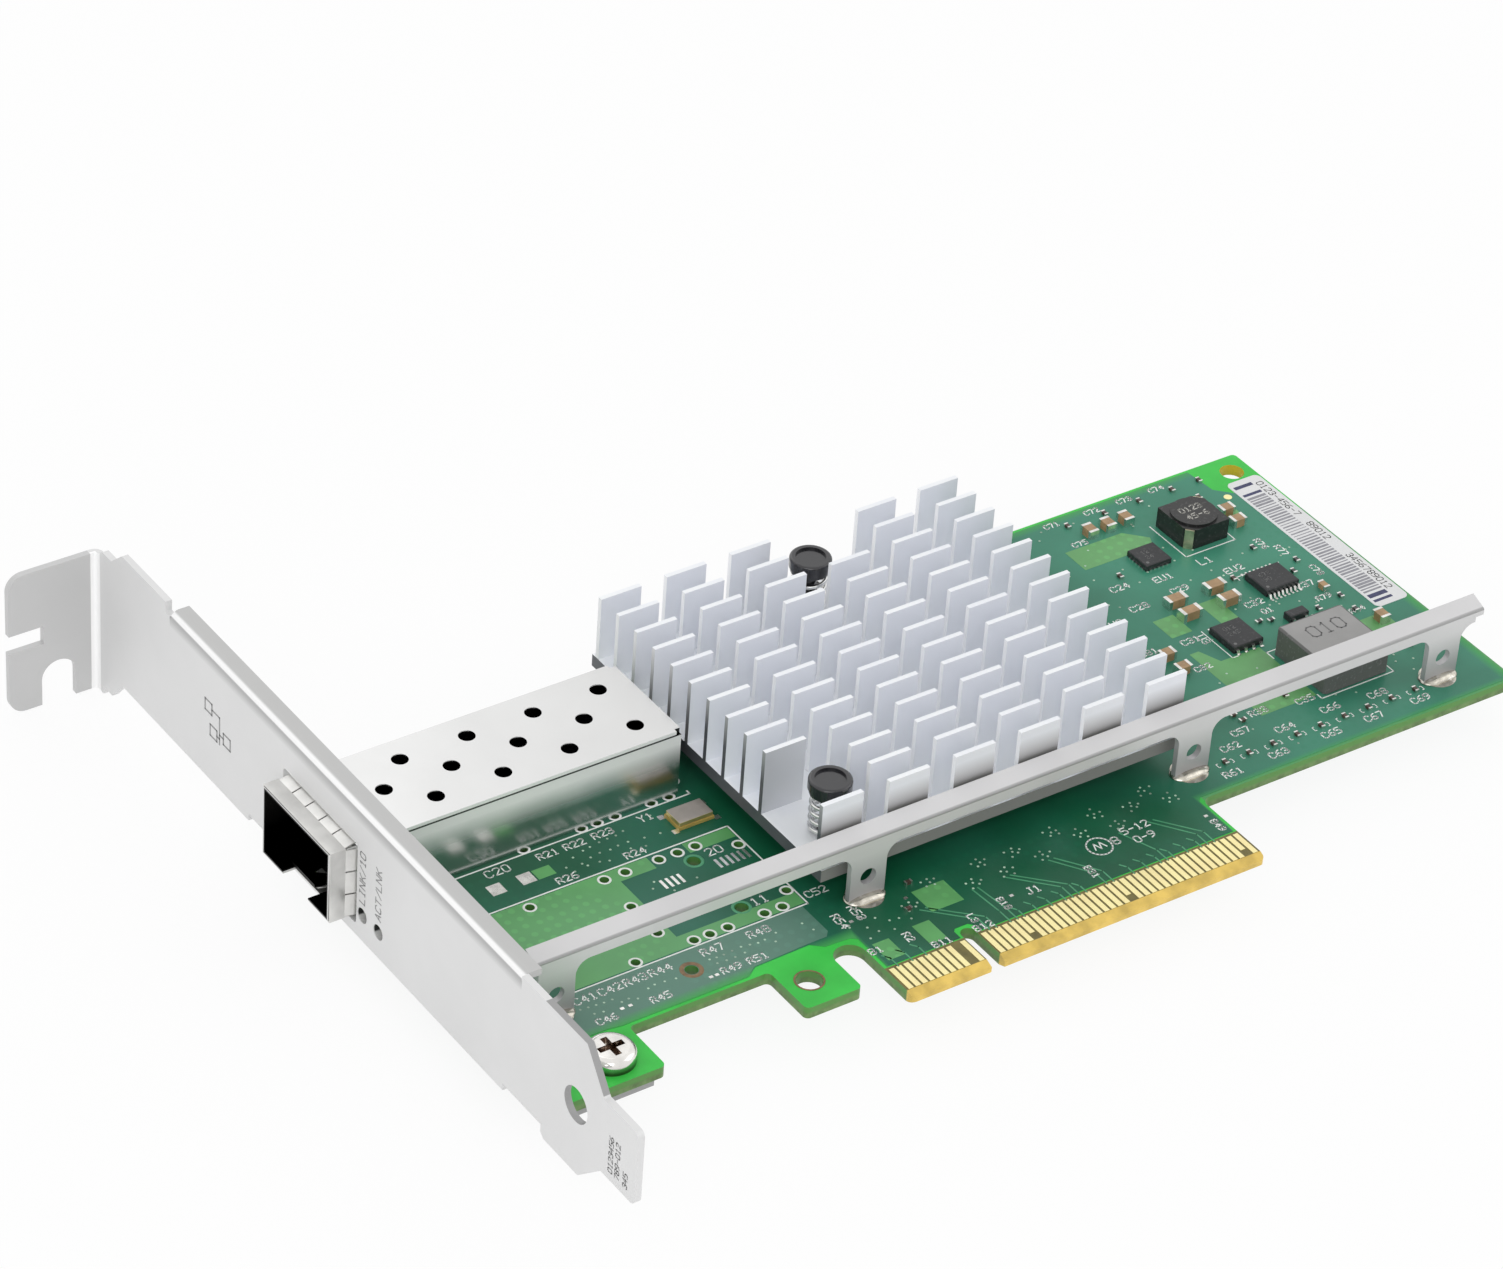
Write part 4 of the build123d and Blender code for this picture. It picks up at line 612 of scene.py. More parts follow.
@dataclass(frozen=True)
class LaminateFinish(Finish):
    """The bare board: green mask on its faces, brown glass fibre on its edges and round the gold contacts."""

    edge: Colour = (0.135, 0.235, 0.078)
    edge_top: Colour = (0.10, 0.28, 0.06)
    edge_z: Span = (-1.0, -0.6)
    far_rim: Colour = (0.085, 0.34, 0.11)
    far_low: Point = (39.4, 10.0)
    far_high: Point = (92.0, 55.0)
    # Painted glow: the wall of the far corner hole is painted a bright yellow, for light coming through the hole.
    corner_hole_glow: Colour = (0.62, 0.52, 0.03)
    corner_hole_glow_low: Point = (83.9, 63.85)
    corner_hole_glow_high: Point = (87.5, 67.45)
    field: Colour = (0.17, 0.145, 0.045)
    bevel: Colour = (0.74, 0.52, 0.12)
    field_top: float = 5.55
    bevel_top: float = 1.12
    tab: Span = (-12.2, 39.2)
    tab_margin: float = 2.0

    def paint(self, pen: SurfacePen) -> Socket:
        """The board's colours by place and by which way the surface faces.

        Args:
            pen: the pen on the material's tree.

        Returns:
            The colour's socket.
        """
        face = pen.blend(pen.boxed(self.far_low, self.far_high, 0.2), super().paint(pen), self.far_rim)
        edge = pen.blend(pen.ramp(pen.axes()[2], *self.edge_z), pen.toned(self.edge, 0.25, 900.0), self.edge_top)
        # Painted glow on the wall of the far corner hole.
        edge = pen.blend(pen.boxed(self.corner_hole_glow_low, self.corner_hole_glow_high, 0.05), edge, self.corner_hole_glow)
        on_side = pen.spread(pen.math("ABSOLUTE", pen.facing()[2]), 0.3, 0.5, 1.0, 0.0)
        colour = pen.blend(self.tab_up_to(pen, self.field_top), face, pen.toned(self.field, 0.2, 700.0))
        colour = pen.blend(on_side, colour, edge)
        colour = pen.blend(self.tab_up_to(pen, self.bevel_top), colour, pen.toned(self.bevel, 0.2, 350.0))
        return CageShade().over(pen, colour)

    def tab_up_to(self, pen: SurfacePen, top: float) -> Socket:
        """A mask over the gold edge's tab, from its edge up to a line in mm."""
        (left, right), margin = self.tab, self.tab_margin
        return pen.boxed((left - margin, -margin), (right + margin, top), 0.08)


@dataclass(frozen=True)
class CopperMaskFinish(Finish):
    """Green mask over copper: darker, with buried tracks, a grey-blue bloom, a pale far end and a green rim."""

    far: Colour = (0.045, 0.225, 0.145)
    far_range: Span = (34.0, 56.0)
    rim: Colour = (0.055, 0.36, 0.09)
    rim_low: Point = (-80.0, 12.95)
    rim_high: Point = (87.5, 67.8)
    edge_low: Point = (-11.6, -5.0)
    edge_high: Point = (38.7, 20.0)
    bloom: Colour = (0.035, 0.19, 0.13)
    bloom_scale: float = 28.0
    bloom_share: float = 0.7
    dot_scale: float = 620.0
    dot_share: float = 0.12
    dot_lift: float = 1.9
    patch_scale: float = 55.0

    def paint(self, pen: SurfacePen) -> Socket:
        """The mask's colour with its bloom, its buried dots and its rim.

        Args:
            pen: the pen on the material's tree.

        Returns:
            The colour's socket.
        """
        along = pen.ramp(pen.axes()[0], *self.far_range)
        base = pen.blend(along, super().paint(pen), pen.toned(self.far, self.drift, self.drift_scale))
        bloom = pen.spread(pen.noise(pen.place, self.bloom_scale, 2.0), 0.42, 0.62, 0.0, self.bloom_share)
        colour = pen.blend(bloom, base, pen.blend(along, self.bloom, shifted(self.far, 1.25)))
        cells = pen.node("ShaderNodeTexVoronoi", feature="F1")
        pen.fill(cells, {"Vector": pen.place, "Scale": self.dot_scale, "Randomness": 0.15})
        dots = pen.spread(cells.outputs["Distance"], 0.22, 0.3, self.dot_share, 0.0)
        patches = pen.spread(pen.noise(pen.place, self.patch_scale, 1.0), 0.5, 0.56)
        colour = pen.blend(pen.product(dots, patches), colour, shifted(self.colour, self.dot_lift))
        inner = pen.math("MAXIMUM", pen.boxed(self.rim_low, self.rim_high, 1.3),
                         pen.boxed(self.edge_low, self.edge_high, 0.5))
        return CageShade().over(pen, pen.blend(pen.math("SUBTRACT", 1.0, inner), colour, self.rim))


@dataclass(frozen=True)
class CutEndFinish(Finish):
    """The heatsink's metal, with painted light: fins painted darker at the top to even out the shade lower down, sawn
    ends painted bright, painted shade on the first column's ends and the base's sides, and painted shade on the front
    fins behind the rail and at a corner.
    """

    # Painted highlight: the sawn ends are painted near white, against the shade of the neighbouring fins.
    ends: Colour = (0.97, 0.98, 1.0)
    # Painted shade on the first column's sawn ends, lighter upwards, and on the base's sides.
    dark: Colour = (0.11, 0.115, 0.13)
    # Painted shade: the broad faces of the fins are painted darker towards the top, to even out the shade lower down.
    top: Colour = (0.80, 0.82, 0.875)
    fin_z: Span = (4.6, 12.6)
    first_x: float = -9.5
    first_y: Span = (44.0, 64.0)
    first_z: Span = (9.0, 13.5)
    first_top_share: float = 0.6
    front_y: float = 20.3
    # Painted shadow of the rail on the front fins, fading upwards.
    front: Colour = (0.20, 0.19, 0.18)
    front_z: Span = (9.2, 12.4)
    front_share: float = 0.9
    # Painted shade on the front faces at a corner, darker towards the left.
    corner: Colour = (0.52, 0.53, 0.57)
    corner_x: Span = (-11.5, -5.5)
    corner_y: Span = (31.0, 32.4)
    corner_shares: Span = (0.95, 0.4)

    def paint(self, pen: SurfacePen) -> Socket:
        """The metal's colour, with its painted light and shade, by place and by which way the surface faces.

        Args:
            pen: the pen on the material's tree.

        Returns:
            The colour's socket.
        """
        x, y, z = pen.axes()
        along, across, _ = pen.facing()
        frontwards = pen.spread(across, -0.9, -0.6, 1.0, 0.0)
        broadside = pen.spread(pen.math("ABSOLUTE", across), 0.3, 0.6)
        # Broad faces painted darker towards the top.
        drawn = pen.blend(pen.product(pen.ramp(z, *self.fin_z), broadside), super().paint(pen), self.top)
        # The rail's painted shadow on the front fins.
        rail_shadow_share = pen.product(pen.ramp(y, self.front_y, self.front_y + 0.1, 1.0, 0.0), frontwards,
                              pen.ramp(z, *self.front_z, self.front_share, 0.0))
        drawn = pen.blend(rail_shadow_share, drawn, self.front)
        end = self.corner_x[1]
        # Painted shade at the corner.
        corner_shade_share = pen.product(pen.ramp(x, *self.corner_x, *self.corner_shares), frontwards,
                                pen.ramp(x, end, end + 0.1, 1.0, 0.0), pen.between(y, *self.corner_y, 0.1))
        drawn = pen.blend(corner_shade_share, drawn, self.corner)
        # Painted shade on the first column's ends, and below it on the base's sides.
        first = pen.product(pen.ramp(x, self.first_x, self.first_x + 0.5, 1.0, 0.0),
                            pen.ramp(y, *self.first_y, 1.0, 0.0),
                            pen.ramp(z, *self.first_z, 1.0, self.first_top_share))
        base_top = self.fin_z[0]
        sawn = pen.blend(first, self.ends, self.dark)
        sawn = pen.blend(pen.ramp(z, base_top, base_top + 0.05, 1.0, 0.0), sawn, self.dark)
        return pen.blend(pen.spread(pen.math("ABSOLUTE", along), 0.6, 0.9), drawn, sawn)


@dataclass(frozen=True)
class BentSheetFinish(Finish):
    """The bracket's sheet: painted shade before its long bend, a painted highlight on the bend and on the tab's bend,
    the flange and the tab painted darker for how the light falls on them, painted shade in the lights' holes, and
    darker on the foot's cut edges.

    The spans named from_face and from_bend are measured from the bracket's outer face and from bend_z.
    """

    bend_z: float = 15.99
    bend_y: Span = (9.1, 86.6)
    # Painted shade on the outer face just below the long bend.
    shade: Colour = (0.40, 0.40, 0.40)
    shade_from_bend: Span = (-2.1, -0.75)
    shade_end_from_bend: Span = (-0.7, -0.6)
    shade_share: float = 0.8
    outer_from_face: Span = (0.5, 0.7)
    # Painted highlight on the long bend and on the tab's bend.
    bright: Colour = (1.0, 1.0, 1.0)
    bright_from_bend: Span = (-0.65, -0.55)
    # The flange, painted darker than the face for how the light falls on it.
    flange: Colour = (0.54, 0.54, 0.535)
    flange_from_face: Span = (0.6, 0.8)
    flange_from_bend: Span = (-0.9, -0.8)
    cut: Colour = (0.36, 0.36, 0.36)
    foot_y: Span = (-7.6, 4.2)
    # The top tab, painted darker than the face for how the light falls on it.
    tab: Colour = (0.60, 0.60, 0.60)
    tab_from_face: Span = (-0.8, -0.7)
    tab_bend_y: Span = (103.7, 104.9)
    tab_bend_from_face: Span = (-0.7, 0.04)
    light_y: Span = (37.6, 43.3)
    light_z: Span = (0.1, 2.3)
    light_from_face: Span = (0.12, 0.78)
    # Painted shade on the walls of the lights' holes, their lower wall painted lighter where the light falls.
    light_wall: Colour = (0.03, 0.03, 0.03)
    light_floor: Colour = (0.62, 0.62, 0.61)
    light_floor_z: Span = (0.62, 0.78)

    def paint(self, pen: SurfacePen) -> Socket:
        """The sheet's colour, with its painted light and shade, by its place on the bend, the tab, the lights' holes
        and the foot.

        Args:
            pen: the pen on the material's tree.

        Returns:
            The colour's socket.
        """
        x, y, z = pen.axes()
        beside = pen.between(y, *self.bend_y, 0.1)
        outer = pen.product(beside, pen.ramp(x, *self.past_face(self.outer_from_face), 1.0, 0.0))
        # Painted shade before the bend.
        before = pen.product(pen.ramp(z, *self.past_bend(self.shade_from_bend), 0.0, self.shade_share),
                             pen.ramp(z, *self.past_bend(self.shade_end_from_bend), 1.0, 0.0))
        colour = pen.blend(pen.product(outer, before), super().paint(pen), self.shade)
        # Painted highlight on the bend.
        bend_highlight_share = pen.ramp(z, *self.past_bend(self.bright_from_bend))
        colour = pen.blend(pen.product(outer, bend_highlight_share), colour, self.bright)
        on_flange = pen.product(beside, pen.ramp(x, *self.past_face(self.flange_from_face)),
                                pen.ramp(z, *self.past_bend(self.flange_from_bend)))
        colour = pen.blend(on_flange, colour, self.flange)
        # The tab's painted darker tone.
        colour = pen.blend(pen.ramp(x, *self.past_face(self.tab_from_face), 1.0, 0.0), colour, self.tab)
        # Painted highlight on the tab's bend.
        tab_bend = pen.product(pen.between(y, *self.tab_bend_y, 0.1),
                               pen.between(x, *self.past_face(self.tab_bend_from_face), 0.05))
        colour = pen.blend(tab_bend, colour, self.bright)
        # Painted shade in the lights' holes.
        by_lights = pen.product(pen.between(y, *self.light_y, 0.05), pen.between(z, *self.light_z, 0.05),
                                pen.between(x, *self.past_face(self.light_from_face), 0.04))
        wall = pen.blend(pen.ramp(z, *self.light_floor_z, 1.0, 0.0), self.light_wall, self.light_floor)
        colour = pen.blend(by_lights, colour, wall)
        edge_on = pen.spread(pen.math("ABSOLUTE", pen.facing()[0]), 0.3, 0.6, 1.0, 0.0)
        return pen.blend(pen.product(edge_on, pen.between(y, *self.foot_y, 0.05)), colour, self.cut)

    def past_face(self, span: Span) -> Span:
        """A span measured from the bracket's outer face, as places along the card."""
        return BRACKET_FACE_X + span[0], BRACKET_FACE_X + span[1]

    def past_bend(self, span: Span) -> Span:
        """A span measured from the long bend's top, as heights."""
        return self.bend_z + span[0], self.bend_z + span[1]


@dataclass(frozen=True)
class CreasedFinish(Finish):
    """The rail's folded strip: painted shade along the crease where the strip bends, and legs painted darker towards
    the board as painted shade.
    """

    front_y: float = 17.2
    crease_z: Span = (8.36, 8.56)
    # Painted shade in the crease.
    crease: Colour = (0.36, 0.36, 0.36)
    # Painted shade on the legs, darker towards the board.
    leg: Colour = (0.30, 0.29, 0.30)
    leg_range: Span = (0.6, 6.4)
    leg_share: float = 0.7

    def paint(self, pen: SurfacePen) -> Socket:
        """The strip's colour by its height, with its painted shade.

        Args:
            pen: the pen on the material's tree.

        Returns:
            The colour's socket.
        """
        _, y, z = pen.axes()
        # Legs painted darker towards the board.
        colour = pen.blend(pen.ramp(z, *self.leg_range, self.leg_share, 0.0), super().paint(pen), self.leg)
        front = pen.ramp(y, self.front_y + 0.3, self.front_y + 0.4, 1.0, 0.0)
        # Painted shade along the crease.
        return pen.blend(pen.product(front, pen.between(z, *self.crease_z, 0.12)), colour, self.crease)


@dataclass(frozen=True)
class RecessFinish(Finish):
    """A bright screw, with painted shade in the driver's recess and round the foot of its head."""

    centres: tuple[Point, Point] = ((-47.9, 8.0), (-47.9, 64.0))
    reach: float = 1.5
    recess_top: float = 1.45
    foot_range: Span = (0.3, 1.2)
    # Painted shade in the driver's recess.
    dark: Colour = (0.16, 0.115, 0.09)
    # Painted shade round the foot of the head.
    foot: Colour = (0.16, 0.135, 0.11)

    def paint(self, pen: SurfacePen) -> Socket:
        """The screw's colour on its head, with painted shade in its recess and at its foot.

        Args:
            pen: the pen on the material's tree.

        Returns:
            The colour's socket.
        """
        height, reach = pen.axes()[2], self.reach
        colour = pen.blend(pen.ramp(height, *self.foot_range, 1.0, 0.0), super().paint(pen), self.foot)
        heads = [pen.boxed((x - reach, y - reach), (x + reach, y + reach), 0.1) for x, y in self.centres]
        below = pen.ramp(height, self.recess_top, self.recess_top + 0.15, 1.0, 0.0)
        return pen.blend(pen.product(below, pen.math("MAXIMUM", *heads)), colour, self.dark)


@dataclass(frozen=True)
class LinedFinish(Finish):
    """Bright sheet of a folded cage: painted black within as painted shade, with a painted shadow under the folded
    edge of its top, and its upper side walls less metallic and painted near white as a painted reflection of the
    white surroundings.
    """

    low: Point = (-62.8, 44.6)
    high: Point = (-14.6, 59.0)
    inner_z: Span = (0.22, 9.58)
    # Painted shade inside the cage.
    within: Colour = (0.008, 0.008, 0.007)
    # Painted shadow under the folded edge of the top.
    lip_shadow: Colour = (0.06, 0.06, 0.06)
    lip_shadow_z: Span = (8.88, 9.22)
    lip_shadow_start: Span = (-56.7, -56.6)
    # Painted reflection on the upper side walls, rising between these heights.
    painted_reflection_z: Span = (3.8, 7.6)
    painted_reflection_share: float = 0.95
    # The near white of the painted reflection.
    wall: Colour = (0.93, 0.93, 0.92)

    def painted_reflection(self, pen: SurfacePen) -> Socket:
        """How much of the side walls carries the painted reflection, from the board upwards.

        Args:
            pen: the pen on the material's tree.

        Returns:
            The share's socket.
        """
        reflection_rise = pen.ramp(pen.axes()[2], *self.painted_reflection_z, 0.0, self.painted_reflection_share)
        return pen.product(reflection_rise, pen.spread(pen.math("ABSOLUTE", pen.facing()[1]), 0.6, 0.9))

    def shine(self, pen: SurfacePen) -> Socket:
        """How metallic the sheet is, less so where its side walls carry the painted reflection."""
        return pen.math("SUBTRACT", self.metallic, self.painted_reflection(pen))

    def paint(self, pen: SurfacePen) -> Socket:
        """The sheet's colour outside with its painted reflection, with painted shade inside and a painted shadow
        under the folded edge.

        Args:
            pen: the pen on the material's tree.

        Returns:
            The colour's socket.
        """
        x, _, z = pen.axes()
        outside = pen.blend(self.painted_reflection(pen), super().paint(pen), self.wall)
        inside_walls = pen.boxed(self.low, self.high, 0.02)
        # Painted shade inside.
        colour = pen.blend(pen.product(inside_walls, pen.between(z, *self.inner_z, 0.02)), outside, self.within)
        aside = pen.math("SUBTRACT", 1.0, inside_walls)
        # Painted shadow under the folded edge.
        lip_shadow = pen.product(pen.between(z, *self.lip_shadow_z, 0.03), aside, pen.ramp(x, *self.lip_shadow_start))
        return pen.blend(lip_shadow, colour, self.lip_shadow)


@dataclass(frozen=True)
class TwoToneFinish(Finish):
    """A body whose faces that look upwards have a colour of their own."""

    top: Colour = (0.5, 0.5, 0.5)

    def paint(self, pen: SurfacePen) -> Socket:
        """The body's colour by which way the surface faces."""
        upper = pen.toned(self.top, self.drift, self.drift_scale)
        return pen.blend(pen.spread(pen.facing()[2], 0.75, 0.9), super().paint(pen), upper)


@dataclass(frozen=True)
class SpeckledFinish(Finish):
    """A moulded or pressed body with fine lighter specks."""

    speck: Colour = (0.2, 0.2, 0.2)
    speck_scale: float = 2600.0
    speck_share: float = 0.5

    def paint(self, pen: SurfacePen) -> Socket:
        """The body's colour with its specks."""
        specks = pen.spread(pen.noise(pen.place, self.speck_scale, 1.0), 0.6, 0.72, 0.0, self.speck_share)
        return pen.blend(specks, super().paint(pen), self.speck)


FINISHES: dict[str, Finish] = {
    finish.name: finish
    for finish in (
        LaminateFinish("board_green", (0.045, 0.58, 0.07), roughness=0.36, drift=0.12, drift_scale=120.0,
                       grain_scale=1500.0, grain_depth=0.1, specular=0.35),
        Finish("gold", (1.0, 0.86, 0.44), roughness=0.26, metallic=1.0, drift=0.05, drift_scale=300.0,
               grainway=Grainway.ALONG_Y, streak_depth=0.15),
        BentSheetFinish("bracket_steel", (0.76, 0.76, 0.76), roughness=0.5, metallic=0.25, drift=0.02,
                        grainway=Grainway.ALONG_Y, streak_depth=0.1),
        RecessFinish("screw_steel", (0.78, 0.76, 0.73), roughness=0.14, metallic=1.0, drift=0.1, drift_scale=500.0),
        CreasedFinish("rail_steel", (0.66, 0.655, 0.66), roughness=0.4, metallic=0.25, drift=0.04,
                      grainway=Grainway.ALONG_X, streak_depth=0.25),
        SpeckledFinish("solder", (0.56, 0.53, 0.46), roughness=0.22, metallic=1.0, drift=0.3, drift_scale=700.0,
                       grain_scale=900.0, grain_depth=0.5, speck=(0.95, 0.94, 0.9), speck_scale=1200.0),
        LinedFinish("cage_steel", (0.67, 0.67, 0.665), roughness=0.24, metallic=1.0, drift=0.03, swing=0.05,
                    grainway=Grainway.ALONG_X, streak_depth=0.06),
        Finish("collar_steel", (0.74, 0.735, 0.715), roughness=0.3, metallic=0.85, drift=0.08, drift_scale=300.0),
        Finish("black_plastic", (0.013, 0.013, 0.016), roughness=0.22, drift=0.2, coat=0.5),
        # The lights' bodies and domes are painted near black, as painted shade behind the bracket's holes.
        Finish("light_body", (0.10, 0.105, 0.10), roughness=0.35, drift=0.05),
        Finish("light_dome", (0.03, 0.033, 0.03), roughness=0.08, drift=0.04, transmission=0.2),
        CutEndFinish("heatsink_metal", (0.935, 0.955, 1.0), roughness=0.42, metallic=0.1, drift=0.03,
                     drift_scale=120.0, grainway=Grainway.ALONG_X, streak_depth=0.2),
        Finish("pad_grey", (0.20, 0.21, 0.23), roughness=0.7, grain_depth=0.4),
        Finish("lid_metal", (0.55, 0.55, 0.54), roughness=0.35, metallic=1.0),
        Finish("carrier_green", (0.02, 0.11, 0.05), roughness=0.4),
        Finish("spring_steel", (0.74, 0.74, 0.73), roughness=0.2, metallic=1.0, drift=0.1, drift_scale=900.0),
        SpeckledFinish("ferrite_black", (0.018, 0.018, 0.018), roughness=0.3, drift=0.25, grain_depth=0.25,
                       speck=(0.09, 0.09, 0.09)),
        SpeckledFinish("coil_grey", (0.13, 0.13, 0.125), roughness=0.42, drift=0.08, grain_depth=0.2,
                       speck=(0.3, 0.3, 0.3), speck_share=0.4),
        Finish("terminal_brass", (0.62, 0.56, 0.40), roughness=0.3, metallic=0.9, drift=0.2, drift_scale=900.0,
               grain_depth=0.3),
        SpeckledFinish("chip_black", (0.022, 0.023, 0.025), roughness=0.5, drift=0.12, grain_depth=0.3,
                       speck=(0.08, 0.08, 0.085)),
        Finish("lead_tin", (0.78, 0.77, 0.74), roughness=0.24, metallic=1.0, drift=0.15, drift_scale=900.0,
               grain_depth=0.2),
        Finish("crystal_ceramic", (0.50, 0.36, 0.10), roughness=0.4, drift=0.15, drift_scale=600.0),
        TwoToneFinish("crystal_metal", (0.62, 0.50, 0.22), roughness=0.36, metallic=0.7, drift=0.08,
                      drift_scale=500.0, grainway=Grainway.ALONG_X, streak_depth=0.4, top=(0.50, 0.45, 0.40)),
        SpeckledFinish("capacitor_tan", (0.40, 0.255, 0.13), roughness=0.4, drift=0.14, drift_scale=800.0,
                       speck=(0.52, 0.36, 0.20), speck_share=0.4),
        SpeckledFinish("capacitor_dark", (0.075, 0.047, 0.035), roughness=0.38, drift=0.2, drift_scale=900.0,
                       speck=(0.16, 0.11, 0.08), speck_share=0.3),
        Finish("resistor_black", (0.03, 0.03, 0.03), roughness=0.25, drift=0.2, coat=0.3),
        Finish("paper", (0.80, 0.805, 0.81), roughness=0.62, drift=0.02, grain_scale=2200.0, grain_depth=0.25),
        CopperMaskFinish("copper_mask", (0.006, 0.105, 0.048), roughness=0.34, drift=0.12, drift_scale=90.0,
                         grain_scale=1500.0, grain_depth=0.1, specular=0.33),
        # Painted reflection of the rail: the mask in front of the rail is painted greyer and lighter.
        CopperMaskFinish("rail_reflection_mask", (0.092, 0.222, 0.165), roughness=0.34, drift=0.1, drift_scale=90.0,
                         grain_scale=1500.0, grain_depth=0.1, specular=0.4, bloom=(0.12, 0.25, 0.19)),
        CopperMaskFinish("bare_patch", (0.115, 0.39, 0.12), roughness=0.36, drift=0.12, drift_scale=160.0,
                         grain_scale=1500.0, grain_depth=0.12, specular=0.4, bloom=(0.14, 0.40, 0.17),
                         far=(0.13, 0.36, 0.13), dot_share=0.2),
        Finish("print_white", (0.90, 0.92, 0.89), roughness=0.55, drift=0.06, drift_scale=900.0),
        Finish("track_green", (0.07, 0.33, 0.16), roughness=0.32, drift=0.1, drift_scale=500.0),
        Finish("via_tin", (0.42, 0.58, 0.45), roughness=0.4, drift=0.4, drift_scale=400.0),
        Finish("tan_ring", (0.22, 0.13, 0.06), roughness=0.4, drift=0.25, drift_scale=1200.0),
        Finish("bracket_ink", (0.30, 0.30, 0.30), roughness=0.6, drift=0.1, drift_scale=900.0),
        Finish("label_ink", (0.05, 0.055, 0.13), roughness=0.6, drift=0.15, drift_scale=1200.0),
        Finish("label_bars_grey", (0.30, 0.30, 0.33), roughness=0.6, drift=0.1, drift_scale=1200.0),
        Finish("mark_grey", (0.16, 0.16, 0.16), roughness=0.5, drift=0.1, drift_scale=1200.0),
        Finish("mark_pale", (0.50, 0.49, 0.45), roughness=0.5, drift=0.1, drift_scale=1200.0),
        Finish("coil_top_grey", (0.34, 0.335, 0.33), roughness=0.5, drift=0.05, drift_scale=300.0, grain_depth=0.2),
    )
}


class Palette:
    """Builds each finish the first time that it is asked for."""

    def __init__(self) -> None:
        """Builds the shared effects and starts with no material."""
        self.effects = SharedEffects()
        self.made: dict[str, bpy.types.Material] = {}

    def get(self, name: str) -> bpy.types.Material:
        """The material of a finish.

        Args:
            name: the finish's name.

        Returns:
            The material.
        """
        if name not in self.made:
            self.made[name] = FINISHES[name].build(self.effects)
        return self.made[name]


# Meshes of flat and thin things


class ThinMesh:
    """Collects thin closed solids in mm, each drawn on a plane, and makes one piece of them."""

    def __init__(self, placing: Matrix | None = None) -> None:
        """Starts an empty mesh.

        Args:
            placing: turns the plane's own coordinates, in mm, into the card's.
        """
        self.placing = placing or Matrix.Identity(4)
        self.mesh = bmesh.new()

    def prism(self, outline: Sequence[Point], layer: Span, holes: Iterable[Sequence[Point]] = ()) -> None:
        """Adds a flat plate with holes.

        Args:
            outline: the plate's outer corners.
            layer: the heights of its lower and upper face.
            holes: each hole's corners.
        """
        low, high = layer
        loops = [list(outline), *(list(hole) for hole in holes)]
        flat = [[Vector((x, y, 0.0)) for x, y in loop] for loop in loops]
        corners = [point for loop in flat for point in loop]
        lower = [self.mesh.verts.new(self.placing @ Vector((p.x, p.y, low))) for p in corners]
        upper = [self.mesh.verts.new(self.placing @ Vector((p.x, p.y, high))) for p in corners]
        for a, b, c in tessellate_polygon(flat):
            turn = (corners[b] - corners[a]).cross(corners[c] - corners[a]).z
            a, b, c = (a, b, c) if turn > 0 else (a, c, b)
            self.mesh.faces.new((upper[a], upper[b], upper[c]))
            self.mesh.faces.new((lower[a], lower[c], lower[b]))
        start = 0
        for index, loop in enumerate(flat):
            count = len(loop)
            area = sum(p.x * q.y - q.x * p.y for p, q in zip(loop, [*loop[1:], loop[0]]))
            outward = (area > 0) == (index == 0)
            for i in range(count):
                a, b = start + i, start + (i + 1) % count
                a, b = (a, b) if outward else (b, a)
                self.mesh.faces.new((lower[a], lower[b], upper[b], upper[a]))
            start += count

    def box(self, centre: Point, size: Point, layer: Span) -> None:
        """Adds a rectangular plate.

        Args:
            centre: the plate's middle.
            size: its width and depth.
            layer: the heights of its lower and upper face.
        """
        self.prism(rectangle(centre, size), layer)

    def line(self, points: Sequence[Point], width: float, layer: Span) -> None:
        """Adds a drawn line of straight strokes.

        Args:
            points: the line's points.
            width: the line's width.
            layer: the heights of its lower and upper face.
        """
        for (x0, y0), (x1, y1) in zip(points, points[1:]):
            length = math.hypot(x1 - x0, y1 - y0)
            ux, uy = (x1 - x0) / length * width / 2, (y1 - y0) / length * width / 2
            past_x, past_y = ux * STROKE_OVERLAP, uy * STROKE_OVERLAP
            self.prism(
                [
                    (x0 - past_x + uy, y0 - past_y - ux),
                    (x1 + past_x + uy, y1 + past_y - ux),
                    (x1 + past_x - uy, y1 + past_y + ux),
                    (x0 - past_x - uy, y0 - past_y + ux),
                ],
                layer,
            )

    def words(self, text: str, start: Point, height: float, layer: Span, turn: float, weight: float) -> None:
        """Adds plain single-stroke lettering.

        Args:
            text: the characters.
            start: the lower left corner of the first one.
            height: their height.
            layer: the heights of their lower and upper face.
            turn: the line's direction in degrees.
            weight: the stroke's width.
        """
        scale = height / GLYPH_HEIGHT
        cosine, sine = math.cos(math.radians(turn)), math.sin(math.radians(turn))
        advance = 0.0
        for letter in text:
            for stroke in GLYPHS.get(letter, ()):
                points = [
                    (
                        start[0] + (advance + x * scale) * cosine - y * scale * sine,
                        start[1] + (advance + x * scale) * sine + y * scale * cosine,
                    )
                    for x, y in stroke
                ]
                self.line(points, weight, layer)
            advance += (GLYPH_WIDTH + GLYPH_GAP) * scale

    def piece(self, name: str, material: bpy.types.Material, slot: str) -> bpy.types.Object:
        """Turns what was collected into a piece of the card.

        Args:
            name: the piece's name.
            material: its material.
            slot: not used.

        Returns:
            The piece.
        """
        data = bpy.data.meshes.new(name)
        self.mesh.transform(Matrix.Scale(MM, 4))
        if self.placing.to_3x3().determinant() < 0:
            bmesh.ops.reverse_faces(self.mesh, faces=self.mesh.faces[:])
        self.mesh.to_mesh(data)
        self.mesh.free()
        return adopt(bpy.data.objects.new(name, data), material)


